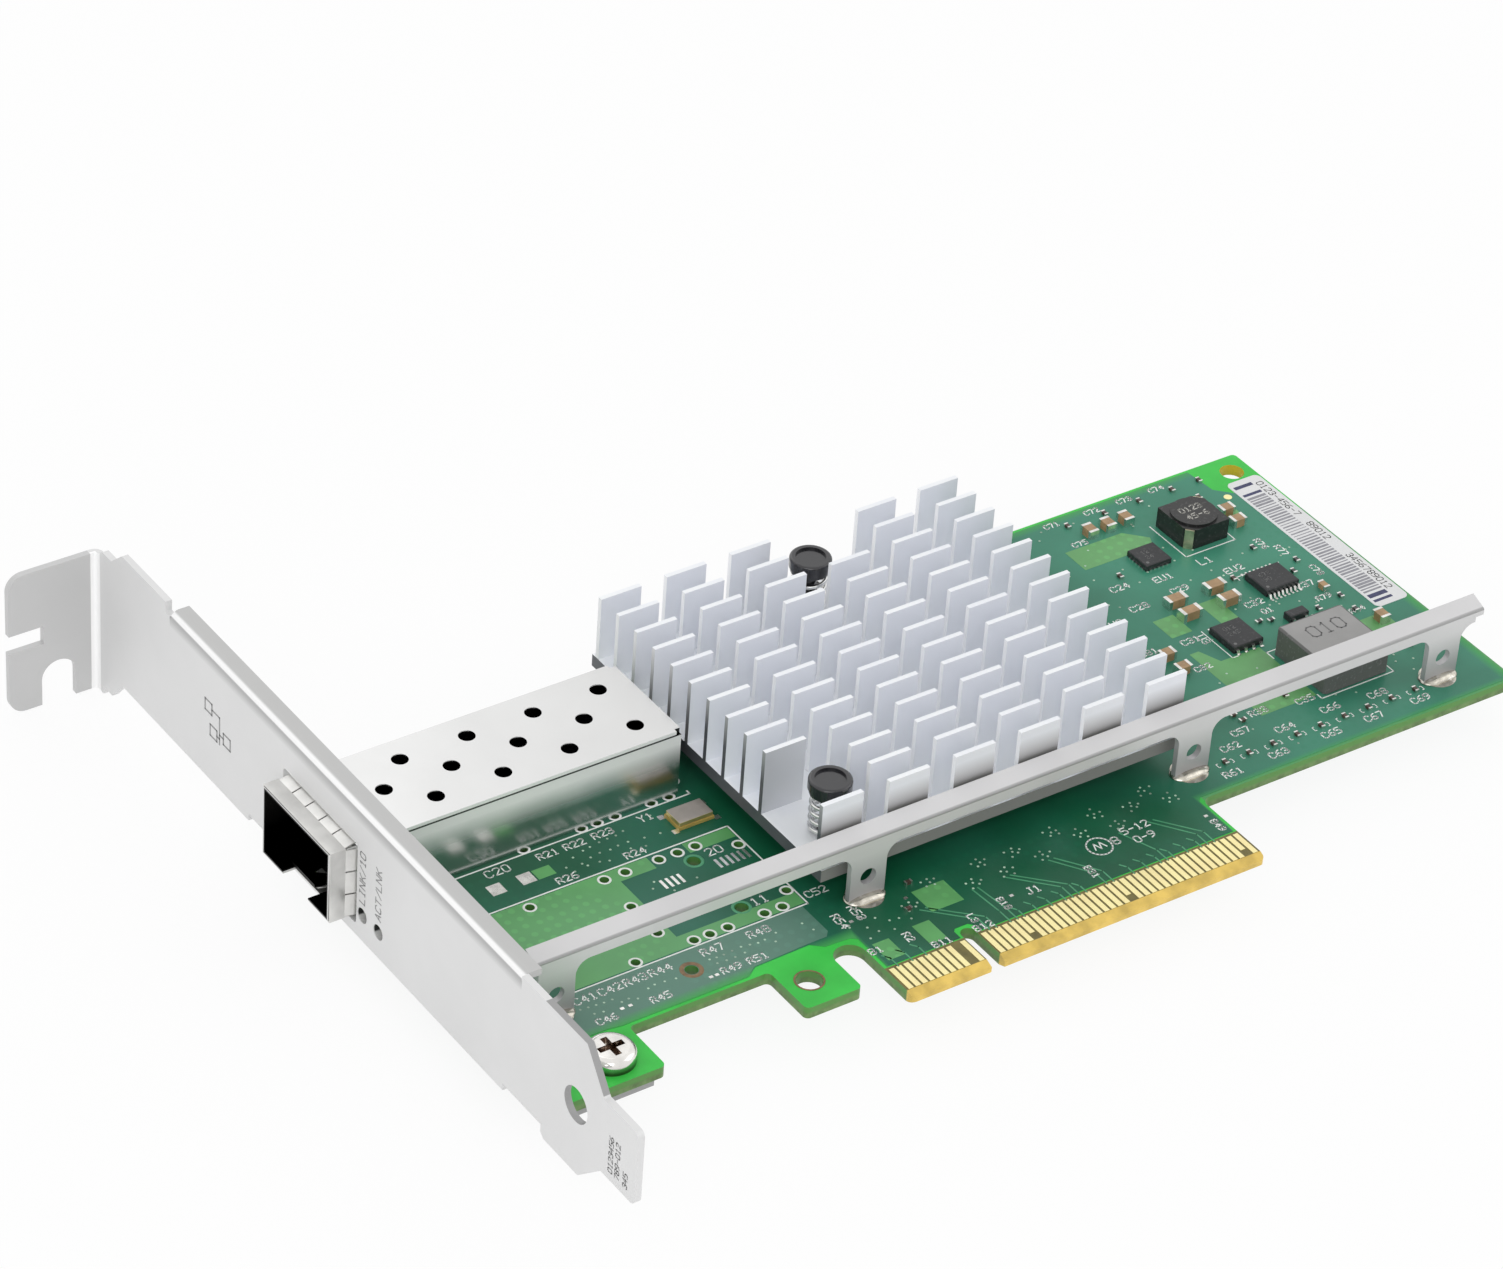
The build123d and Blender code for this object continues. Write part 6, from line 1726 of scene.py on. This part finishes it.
@dataclass
class HoleTrim:
    """What surrounds the holes: rings of solder, tinned pads, plated dots and the tracks to the gold edge."""

    holes: list[Place]
    layer: float = 0.045
    hole_margin: float = 0.45
    rail_pins_y: float = 16.5
    dot: Disc = Disc(0.15, sides=10)
    pin_radius: Span = (0.4, 0.65)
    pin_ring: Ring = Ring(0.72, 0.15, 0.3)
    peg_radius: Span = (0.7, 0.95)
    peg_row_y: float = 18.0
    peg_ring: Ring = Ring(1.05, 0.2, 0.1)
    tooling_ring: Ring = Ring(1.15, 0.33, 0.12)
    lock_radius: Span = (1.55, 1.65)
    lock_ring: Ring = Ring(1.73, 0.12, 0.15)
    spot: Disc = Disc(0.55)
    spot_place: Point = (81.6, 61.3)
    rail_pad: Disc = Disc(2.35, sides=40)
    pad_layer: Span = (0.03, 0.09)
    pad_pitch: float = 0.8
    pad_rows: tuple[tuple[Point, int, Point], ...] = (
        ((-17.9, 31.0), 6, (0.38, 1.7)), ((-25.6, 30.9), 4, (0.38, 1.7)), ((-23.6, 25.4), 6, (0.38, 1.5)),
    )
    pad_groups: tuple[tuple[Point, tuple[Point, ...]], ...] = (
        ((1.9, 1.9), ((-38.8, 39.8), (-42.9, 39.8), (-47.4, 39.8), (-51.4, 39.8))),
        ((0.8, 0.8), ((-18.9, 41.6), (-18.9, 38.5), (-13.1, 38.4), (-13.1, 41.6))),
        ((0.5, 0.4), ((-42.0, 14.6), (-40.9, 14.6), (-30.2, 14.2), (-29.4, 14.2), (-10.6, 14.4), (-9.4, 14.6),
                      (-2.6, 14.8), (8.4, 9.0), (37.6, 9.6))),
    )
    track_layer: Span = (0.03, 0.05)
    track_foot: float = 5.1
    near_tracks: tuple[float, ...] = (-10.5, -8.5, -6.5)
    short_tracks: tuple[float, ...] = (7.5, 9.5, 11.5, 13.5, 16.5, 23.5, 25.5, 27.5, 29.5, 31.5, 33.5)
    long_tracks: tuple[Span, ...] = (
        (2.5, -2.4), (3.5, -1.6), (5.5, 5.1), (6.5, 5.9), (14.5, 9.8), (15.5, 10.6), (19.5, 16.2), (20.5, 17.0),
        (28.5, 26.6), (34.5, 30.9), (35.5, 31.7),
    )
    scatter_seed: int = 9
    scatter_count: int = 70
    scatter_area: tuple[Point, Point] = ((46.0, 20.0), (82.0, 67.0))
    clusters: tuple[Point, ...] = (
        (-3.0, 13.4), (1.6, 15.8), (5.9, 13.2), (8.9, 15.9), (10.6, 12.9), (13.4, 15.6), (16.2, 13.4), (19.6, 16.3),
        (22.6, 14.4), (26.2, 16.6), (27.6, 13.6), (31.0, 15.6), (34.2, 17.2), (36.0, 14.6),
    )
    loose: tuple[Point, ...] = (
        (-30.5, 42.3), (-30.3, 40.9), (-29.2, 41.1), (-27.8, 41.3), (-26.6, 41.4), (-25.4, 41.4), (-24.2, 41.7),
        (-32.0, 40.4), (-31.7, 38.9), (-30.2, 39.4), (-28.8, 39.6), (-27.4, 39.5), (-33.7, 39.2), (-33.2, 38.1),
        (-31.3, 38.3), (-22.7, 39.4), (-19.8, 42.6), (-20.6, 39.2), (-29.7, 38.2), (-28.6, 37.8), (-26.2, 39.7),
        (-24.8, 39.7), (-25.2, 38.5), (-23.4, 38.0), (-26.3, 31.9), (-27.1, 30.9), (-21.5, 30.1), (-25.1, 29.4),
        (-24.1, 25.6), (-46.2, 16.8), (-45.2, 16.7), (-44.2, 16.6), (-43.2, 16.5), (-42.1, 16.5), (-45.2, 15.4),
        (-44.1, 15.2), (-41.4, 15.6), (-40.4, 15.7), (-39.5, 15.2), (-37.5, 16.1), (-36.5, 16.3), (-35.2, 16.2),
        (-33.8, 16.0), (-28.6, 16.9), (-27.7, 16.8), (-26.7, 16.8), (-25.5, 16.9), (-24.2, 17.0), (-23.1, 16.8),
        (-22.1, 16.6), (-21.1, 16.7), (-28.2, 15.9), (-27.0, 15.8), (-25.8, 15.8), (-24.4, 15.9), (-19.3, 17.1),
        (-20.2, 15.8), (-15.7, 17.0), (-15.2, 15.4), (-11.4, 13.6), (-9.6, 12.6), (-7.8, 13.6), (-6.6, 12.4),
        (-8.8, 11.4), (-7.0, 10.8), (-10.4, 10.8), (-5.4, 12.2), (-4.2, 11.4), (-48.6, 39.4), (-50.2, 40.6),
        (50.2, 51.2), (51.8, 48.6), (53.6, 49.8), (55.2, 55.0), (53.0, 57.2), (60.0, 51.8), (66.8, 53.4),
        (69.6, 49.4), (73.2, 50.0), (75.4, 50.4), (79.4, 47.6), (80.8, 48.4), (70.2, 42.2), (71.4, 39.8),
        (72.6, 39.4), (75.2, 38.6), (77.8, 34.8), (79.2, 35.2), (77.0, 31.8), (57.6, 31.0), (59.8, 24.6),
        (49.6, 24.0), (48.2, 27.2), (50.4, 30.6), (46.8, 21.4), (51.4, 24.8), (56.4, 15.4), (69.2, 20.0),
        (78.6, 20.2), (80.0, 22.0), (82.4, 19.4), (84.2, 23.6), (47.0, 60.4), (49.6, 62.0), (52.0, 60.2),
    )

    def build(self, palette: Palette) -> None:
        """Adds the rings, dots, pads and tracks.

        Args:
            palette: the finishes.
        """
        rings, discs = RingRepeat(), DiscRepeat()
        pins, pegs, locks = (self._of_radius(span) for span in (self.pin_radius, self.peg_radius, self.lock_radius))
        for side in Side:
            surface = 0.0 if side is Side.FRONT else -BOARD_THICKNESS
            suffix = side.name.lower()
            rings.place(f"pin_rings_{suffix}", [(x, y, surface + side.value * self.layer) for x, y in pins],
                        self.pin_ring, palette.get("print_white"), "white_plastic")
            dots = self.dots()
            if side is Side.BACK:
                dots = [(x, y) for x, y in dots if abs(y - self.rail_pins_y) > 0.4]
            discs.place(f"plated_dots_{suffix}", [(x, y, surface + side.value * self.layer) for x, y in dots],
                        self.dot, palette.get("via_tin"), "lead_tin")
        rings.place("tooling_ring", [(x, y, 0.035) for x, y in pegs if y < self.peg_row_y], self.tooling_ring,
                    palette.get("tan_ring"), "terminal_brass")
        rings.place("peg_rings", [(x, y, 0.035) for x, y in pegs if y > self.peg_row_y], self.peg_ring,
                    palette.get("track_green"), "board_green")
        rings.place("lock_hole_ring", [(x, y, 0.03) for x, y in locks if x < 0.0], self.lock_ring,
                    palette.get("tan_ring"), "terminal_brass")
        discs.place("gold_spot", [(*self.spot_place, 0.04)], self.spot, palette.get("gold"), "gold")
        discs.place("rail_pads", [(*leg, 0.04) for leg in RAIL_LEGS], self.rail_pad, palette.get("solder"), "solder")
        self._pads(palette)
        self._tracks(palette)

    def _of_radius(self, span: Span) -> list[Point]:
        """The places of the holes whose radius lies in a span."""
        return [(x, y) for x, y, radius in self.holes if span[0] < radius < span[1]]

    def dots(self) -> list[Point]:
        """The places of the plated dots, in small uneven rings and loose.

        Returns:
            The places in mm.
        """
        places = list(self.loose)
        for x, y in self.clusters:
            places.append((x, y))
            for step in range(5):
                angle = math.radians(72 * step + 12) + 0.25 * math.sin(5 * x + step)
                reach = 0.95 + 0.22 * math.sin(3 * y + 2 * step)
                places.append((x + reach * math.cos(angle), y + 0.85 * reach * math.sin(angle)))
        scatter = random.Random(self.scatter_seed)
        (left, low), (right, high) = self.scatter_area
        places += [(scatter.uniform(left, right), scatter.uniform(low, high)) for _ in range(self.scatter_count)]
        return [(x, y) for x, y in places
                if all(math.hypot(x - hx, y - hy) > radius + self.hole_margin for hx, hy, radius in self.holes)]

    def _pads(self, palette: Palette) -> None:
        """Adds the bare tinned pads of the unfitted parts.

        Args:
            palette: the finishes.
        """
        pads = ThinMesh()
        for (x, y), count, size in self.pad_rows:
            for index in range(count):
                pads.box((x + self.pad_pitch * index, y), size, self.pad_layer)
        for size, centres in self.pad_groups:
            for centre in centres:
                pads.box(centre, size, self.pad_layer)
        pads.piece("bare_pads", palette.get("lead_tin"), "lead_tin")

    def _tracks(self, palette: Palette) -> None:
        """Adds the fine tracks that lead up from the gold contacts.

        Args:
            palette: the finishes.
        """
        tracks = ThinMesh()
        foot = self.track_foot
        for column in self.near_tracks:
            tracks.line([(column, foot), (column, 6.8), (column - 0.6, 7.6)], 0.2, self.track_layer)
        for column in self.short_tracks:
            tracks.line([(column, foot), (column, 6.5), (column - 0.55, 7.3)], 0.2, self.track_layer)
        for start, end in self.long_tracks:
            tracks.line([(start, foot), (start, 7.4), (end, 12.2)], 0.19, self.track_layer)
        tracks.piece("edge_tracks", palette.get("track_green"), "board_green")


@dataclass
class SolderDomes:
    """The smooth oval domes of solder round the rail's legs, in place of the plain tapered solids."""

    length: float = 5.55
    width: float = 2.95
    height: float = 0.68
    fullness: float = 0.8
    rings: int = 7
    sides: int = 40

    def build(self, palette: Palette) -> None:
        """Builds the domes and puts them in the node's place.

        Args:
            palette: the finishes.
        """
        mesh = bmesh.new()
        for x, y in RAIL_LEGS:
            self._dome(mesh, x, y)
        data = bpy.data.meshes.new("solder_domes")
        mesh.to_mesh(data)
        mesh.free()
        for polygon in data.polygons:
            polygon.use_smooth = True
        piece = adopt(bpy.data.objects.new("solder_domes", data), palette.get("solder"))
        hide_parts("rail_solder")

    def _dome(self, mesh: bmesh.types.BMesh, x: float, y: float) -> None:
        """Adds one closed dome of stacked ovals.

        Args:
            mesh: the mesh to add to.
            x: where the dome's middle is along the card.
            y: where it is across the card.
        """
        loops = []
        for ring in range(self.rings):
            angle = math.pi / 2 * ring / self.rings
            share = math.cos(angle) ** self.fullness
            half, radius = (self.length - self.width) / 2, self.width / 2
            loop = []
            for side in range(self.sides):
                turn = 2 * math.pi * (side + 0.5) / self.sides
                shift = half if math.cos(turn) > 0 else -half
                loop.append(mesh.verts.new((
                    (x + (shift + radius * math.cos(turn)) * share) * MM,
                    (y + radius * math.sin(turn) * share) * MM,
                    self.height * math.sin(angle) * MM,
                )))
            loops.append(loop)
        for lower, upper in zip(loops, loops[1:]):
            for index in range(self.sides):
                following = (index + 1) % self.sides
                mesh.faces.new((lower[index], lower[following], upper[following], upper[index]))
        mesh.faces.new(list(reversed(loops[0])))
        mesh.faces.new(loops[-1])


# Printing on the bracket, the label and the parts


@dataclass
class BracketPrint:
    """The grey printing on the bracket's outer face: a plain network sign and the lights' names."""

    layer: Span = (-0.03, 0.02)
    stroke: float = 0.24
    letter_stroke: float = 0.15
    figure_stroke: float = 0.14
    icon_boxes: tuple[Point, ...] = ((8.1, 77.4), (5.0, 76.2), (5.6, 73.1))
    icon_lines: tuple[tuple[Point, ...], ...] = (
        ((8.1, 76.6), (8.1, 74.8), (4.2, 74.8)), ((5.0, 75.4), (5.0, 74.8)), ((5.6, 73.9), (5.6, 74.8)),
    )
    names: tuple[tuple[str, Point], ...] = (("LINK/10", (3.0, 41.7)), ("ACT/LNK", (3.0, 38.2)))
    figures: tuple[tuple[str, Point], ...] = (
        ("0123456", (1.9, -10.0)), ("789-012", (1.9, -11.3)), ("345", (1.9, -12.9)),
    )

    def build(self, palette: Palette) -> None:
        """Draws the printing.

        Args:
            palette: the finishes.
        """
        outward = Matrix(((0.0, 0.0, -1.0, BRACKET_FACE_X), (0.0, 1.0, 0.0, 0.0), (1.0, 0.0, 0.0, 0.0),
                          (0.0, 0.0, 0.0, 1.0)))
        ink = ThinMesh(outward)
        for centre in self.icon_boxes:
            ink.line(closed(rectangle(centre, (1.6, 1.6))), self.stroke, self.layer)
        for points in self.icon_lines:
            ink.line(points, self.stroke, self.layer)
        for text, start in self.names:
            ink.words(text, start, 1.15, self.layer, 0.0, self.letter_stroke)
        for text, start in self.figures:
            ink.words(text, start, 0.8, self.layer, 0.0, self.figure_stroke)
        ink.piece("bracket_printing", palette.get("bracket_ink"), "pad_grey")


@dataclass
class LabelPrint:
    """The generic bars and figures on the paper label."""

    left: float = 83.0
    bottom: float = 32.6
    surface: float = 0.1
    bar_middle: float = 1.85
    bar_lift: float = 0.006
    bar: Bar = Bar(2.9, 0.30, 0.012, 11)
    bar_count: int = 43
    bar_start: float = 3.3
    bar_pitch: float = 0.56
    end_bar: Bar = Bar(2.9, 0.50, 0.014, 5)
    end_bars: tuple[float, ...] = (1.2, 2.3, 27.7, 29.6)
    figures_middle: float = 3.72
    figures: tuple[tuple[str, float], ...] = (("0123-456-7", 29.4), ("89012", 19.0), ("3456789012", 11.0))

    def build(self, palette: Palette) -> None:
        """Prints the bars and the figures.

        Args:
            palette: the finishes.
        """
        bars = BarRepeat()
        middle = self.left + self.bar_middle
        height = self.surface + self.bar_lift
        plain = [(middle, self.bottom + self.bar_start + self.bar_pitch * step, height)
                 for step in range(self.bar_count)]
        bars.place("label_bars", plain, self.bar, palette.get("label_bars_grey"), "pad_grey")
        ends = [(middle, self.bottom + offset, height) for offset in self.end_bars]
        bars.place("label_end_bars", ends, self.end_bar, palette.get("label_ink"), "black_plastic")
        figures = ThinMesh()
        layer = (self.surface - 0.01, self.surface + 0.012)
        column = self.left + self.figures_middle
        for text, offset in self.figures:
            figures.words(text, (column, self.bottom + offset), 0.92, layer, 270.0, 0.13)
        figures.piece("label_figures", palette.get("mark_grey"), "black_plastic")


@dataclass
class PartMarks:
    """Plain figures and dots on the coils and chips."""

    sink: float = 0.01
    depth: float = 0.012
    skin_layer: Span = (-0.04, 0.006)
    skin_margin: float = 0.35
    coil_start: Point = (-2.4, 0.9)
    coil_depth: float = 0.02
    disc_left: float = -1.7
    disc_rows: tuple[tuple[str, float], ...] = (("0123", 0.3), ("45-6", -1.3))
    chip_rows: tuple[tuple[str, tuple[str, str]], ...] = (
        ("driver_chip", ("012", "345")), ("memory_chip", ("678", "90")), ("converter_chip", ("12", "34")),
    )
    chip_start: Point = (1.1, -1.7)
    chip_pitch: float = 1.1
    dot_offset: float = 0.6
    dot_radius: float = 0.22

    def build(self, palette: Palette) -> None:
        """Prints the marks on the tops that the solids give.

        Args:
            palette: the finishes.
        """
        self._coil(palette)
        self._disc(palette)
        self._chips(palette)

    @staticmethod
    def _top(node: str) -> tuple[Vector, Vector]:
        """A node's lowest and highest corners in mm."""
        low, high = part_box(node)
        return Vector(low) / MM, Vector(high) / MM

    def _coil(self, palette: Palette) -> None:
        """Prints the moulded coil's top: its paler skin and three plain figures.

        Args:
            palette: the finishes.
        """
        low, high = self._top("core_coil")
        centre = ((low.x + high.x) / 2, (low.y + high.y) / 2)
        width, length = high.x - low.x - 2 * self.skin_margin, high.y - low.y - 2 * self.skin_margin
        skin = ThinMesh()
        skin.box(centre, (width, length), (high.z + self.skin_layer[0], high.z + self.skin_layer[1]))
        skin.piece("core_coil_top", palette.get("coil_top_grey"), "coil_grey")
        marks = ThinMesh()
        start = (centre[0] + self.coil_start[0], centre[1] + self.coil_start[1])
        marks.words("010", start, 2.1, (high.z - self.sink, high.z + self.coil_depth), 0.0, 0.2)
        marks.piece("core_coil_marks", palette.get("mark_grey"), "black_plastic")

    def _disc(self, palette: Palette) -> None:
        """Prints two rows of plain figures on the black coil's disc.

        Args:
            palette: the finishes.
        """
        low, high = self._top("power_coil")
        centre = ((low.x + high.x) / 2, (low.y + high.y) / 2)
        marks = ThinMesh()
        for text, row in self.disc_rows:
            start = (centre[0] + self.disc_left, centre[1] + row)
            marks.words(text, start, 0.95, (high.z - self.sink, high.z + self.depth), 0.0, 0.16)
        marks.piece("power_coil_marks", palette.get("mark_pale"), "white_plastic")

    def _chips(self, palette: Palette) -> None:
        """Prints a dot and short rows of figures on each chip.

        Args:
            palette: the finishes.
        """
        marks = ThinMesh()
        for node, rows in self.chip_rows:
            low, high = self._top(node)
            layer = (high.z - self.sink, high.z + self.depth)
            for index, text in enumerate(rows):
                start = (low.x + self.chip_start[0], high.y + self.chip_start[1] - self.chip_pitch * index)
                marks.words(text, start, 0.65, layer, 0.0, 0.09)
            middle = (low.x + self.dot_offset, low.y + self.dot_offset)
            marks.prism(circle(middle, self.dot_radius, 16), layer)
        marks.piece("chip_marks", palette.get("mark_grey"), "black_plastic")


# The card's own nodes, and the studio


@dataclass
class CardDressing:
    """Gives each node of the card the finish of its material slot."""

    frame: dict[str, object]
    own_tones: dict[str, str] = field(default_factory=lambda: {
        "small_capacitors": "capacitor_dark", "status_lights": "light_body", "light_domes": "light_dome",
    })

    def build(self, palette: Palette) -> None:
        """Assigns the materials.

        Args:
            palette: the finishes.
        """
        slots = {part["node"]: part["material_slot"] for part in self.frame["record"]["subparts"]}
        for name, node in self.frame["nodes"].items():
            material = palette.get(self.own_tones.get(name, slots[name]))
            node.data.materials.clear()
            node.data.materials.append(material)
            LOG.info("node %s: %s", name, slots[name])


@dataclass
class Studio:
    """The pale floor, the soft lights, the white surroundings and the camera."""

    floor_side: float = 8.0
    floor_glow: float = 0.9
    camera_place: Place = (-0.32195008, -0.37988213, 0.40285377)
    camera_turn: Place = (0.9434310982781312, -0.06014610417667412, -0.5971572391907867)
    lens: float = 133.70778
    surround: float = 0.74
    lamp_aim: Place = (0.015, 0.035, 0.0)
    lamps: tuple[tuple[str, Place, float, float], ...] = (
        ("key", (-0.60, -0.62, 0.58), 0.7, 2.4),
        ("fill", (0.75, -0.30, 0.60), 0.7, 0.9),
        ("back", (0.10, 0.85, 0.65), 0.7, 0.7),
    )

    def build(self, floor_height: float) -> None:
        """Sets the studio up.

        Args:
            floor_height: the height of the floor.
        """
        self._floor(floor_height)
        self._world()
        self._lights()
        self._camera()
        bpy.context.scene.view_settings.view_transform = "Standard"

    def _floor(self, height: float) -> None:
        """Lays the pale floor, which shows white and keeps a soft shadow.

        Args:
            height: the floor's height.
        """
        mesh = bpy.data.meshes.new("floor")
        half = self.floor_side / 2
        mesh.from_pydata([(-half, -half, height), (half, -half, height), (half, half, height), (-half, half, height)],
                         [], [(0, 1, 2, 3)])
        floor = bpy.data.objects.new("floor", mesh)
        bpy.context.scene.collection.objects.link(floor)
        material = bpy.data.materials.new("pale_floor")
        material.use_nodes = True
        pen = NodePen(material.node_tree)
        shader = material.node_tree.nodes["Principled BSDF"]
        pen.fill(shader, {"Base Color": (0.98, 0.98, 0.98, 1.0), "Roughness": 0.9, "Specular IOR Level": 0.0})
        glow = pen.fill(pen.node("ShaderNodeEmission"), {"Color": WHITE, "Strength": 1.0})
        self._mixed(pen, pen.math("MULTIPLY", self._seen(pen), self.floor_glow), shader, glow,
                    material.node_tree.nodes["Material Output"])
        mesh.materials.append(material)
        floor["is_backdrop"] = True

    @staticmethod
    def _seen(pen: NodePen) -> Socket:
        """Whether a ray comes from the camera, from gloss or through something clear.

        Args:
            pen: the pen on the tree.

        Returns:
            The mask's socket.
        """
        path = pen.node("ShaderNodeLightPath")
        either = pen.math("MAXIMUM", path.outputs["Is Camera Ray"], path.outputs["Is Glossy Ray"])
        return pen.math("MAXIMUM", either, path.outputs["Is Transmission Ray"])

    @staticmethod
    def _mixed(pen: NodePen, share: Socket, first: bpy.types.Node, second: bpy.types.Node,
               output: bpy.types.Node) -> None:
        """Mixes two shaders into an output.

        Args:
            pen: the pen on the tree.
            share: how much of the second shader shows.
            first: the first shader.
            second: the second shader.
            output: the node that takes the mixture.
        """
        mixed = pen.node("ShaderNodeMixShader")
        for socket, source in zip(mixed.inputs, (share, first.outputs[0], second.outputs[0])):
            pen.feed(socket, source)
        pen.feed(output.inputs["Surface"], mixed.outputs[0])

    def _world(self) -> None:
        """Makes the surroundings white to the eye and softer as a light."""
        world = bpy.data.worlds.new("surroundings")
        bpy.context.scene.world = world
        world.use_nodes = True
        pen = NodePen(world.node_tree)
        light = pen.fill(world.node_tree.nodes["Background"], {"Color": WHITE, "Strength": self.surround})
        white = pen.fill(pen.node("ShaderNodeBackground"), {"Color": WHITE, "Strength": 1.0})
        self._mixed(pen, self._seen(pen), light, white, world.node_tree.nodes["World Output"])

    def _lights(self) -> None:
        """Hangs the large soft lamps, turned to the card."""
        for name, place, size, power in self.lamps:
            lamp = bpy.data.lights.new(name, "AREA")
            lamp.size = size
            lamp.energy = power
            holder = bpy.data.objects.new(name, lamp)
            holder.location = place
            aim = Vector(self.lamp_aim) - Vector(place)
            holder.rotation_euler = aim.to_track_quat("-Z", "Y").to_euler()
            bpy.context.scene.collection.objects.link(holder)

    def _camera(self) -> None:
        """Puts the camera where the photograph was taken from."""
        data = bpy.data.cameras.new("camera")
        data.lens = self.lens
        data.sensor_width = 36.0
        data.clip_start = 0.01
        data.clip_end = 50.0
        camera = bpy.data.objects.new("camera", data)
        camera.location = self.camera_place
        camera.rotation_euler = self.camera_turn
        bpy.context.scene.collection.objects.link(camera)
        bpy.context.scene.camera = camera


def corners(box: tuple[Vector, Vector]) -> list[list[float]]:
    """A box's two corners as plain numbers."""
    return [[float(value) for value in corner] for corner in box]


def main() -> None:
    """Builds the card's dress and the studio in order."""
    logging.basicConfig(level=logging.INFO, format="%(name)s: %(message)s")
    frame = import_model()
    solid_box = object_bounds()
    palette = Palette()
    CardDressing(frame).build(palette)
    holes = DrilledHoles(frame["nodes"]["circuit_board"]).read()
    LOG.info("holes read from the board: %d", len(holes))
    BoardFaces(holes).build(palette)
    BoardPrint().build(palette)
    HoleTrim(holes).build(palette)
    SolderDomes().build(palette)
    BracketPrint().build(palette)
    LabelPrint().build(palette)
    PartMarks().build(palette)
    Studio().build(solid_box[0][2] - 0.0002)


if __name__ == "__main__":
    main()
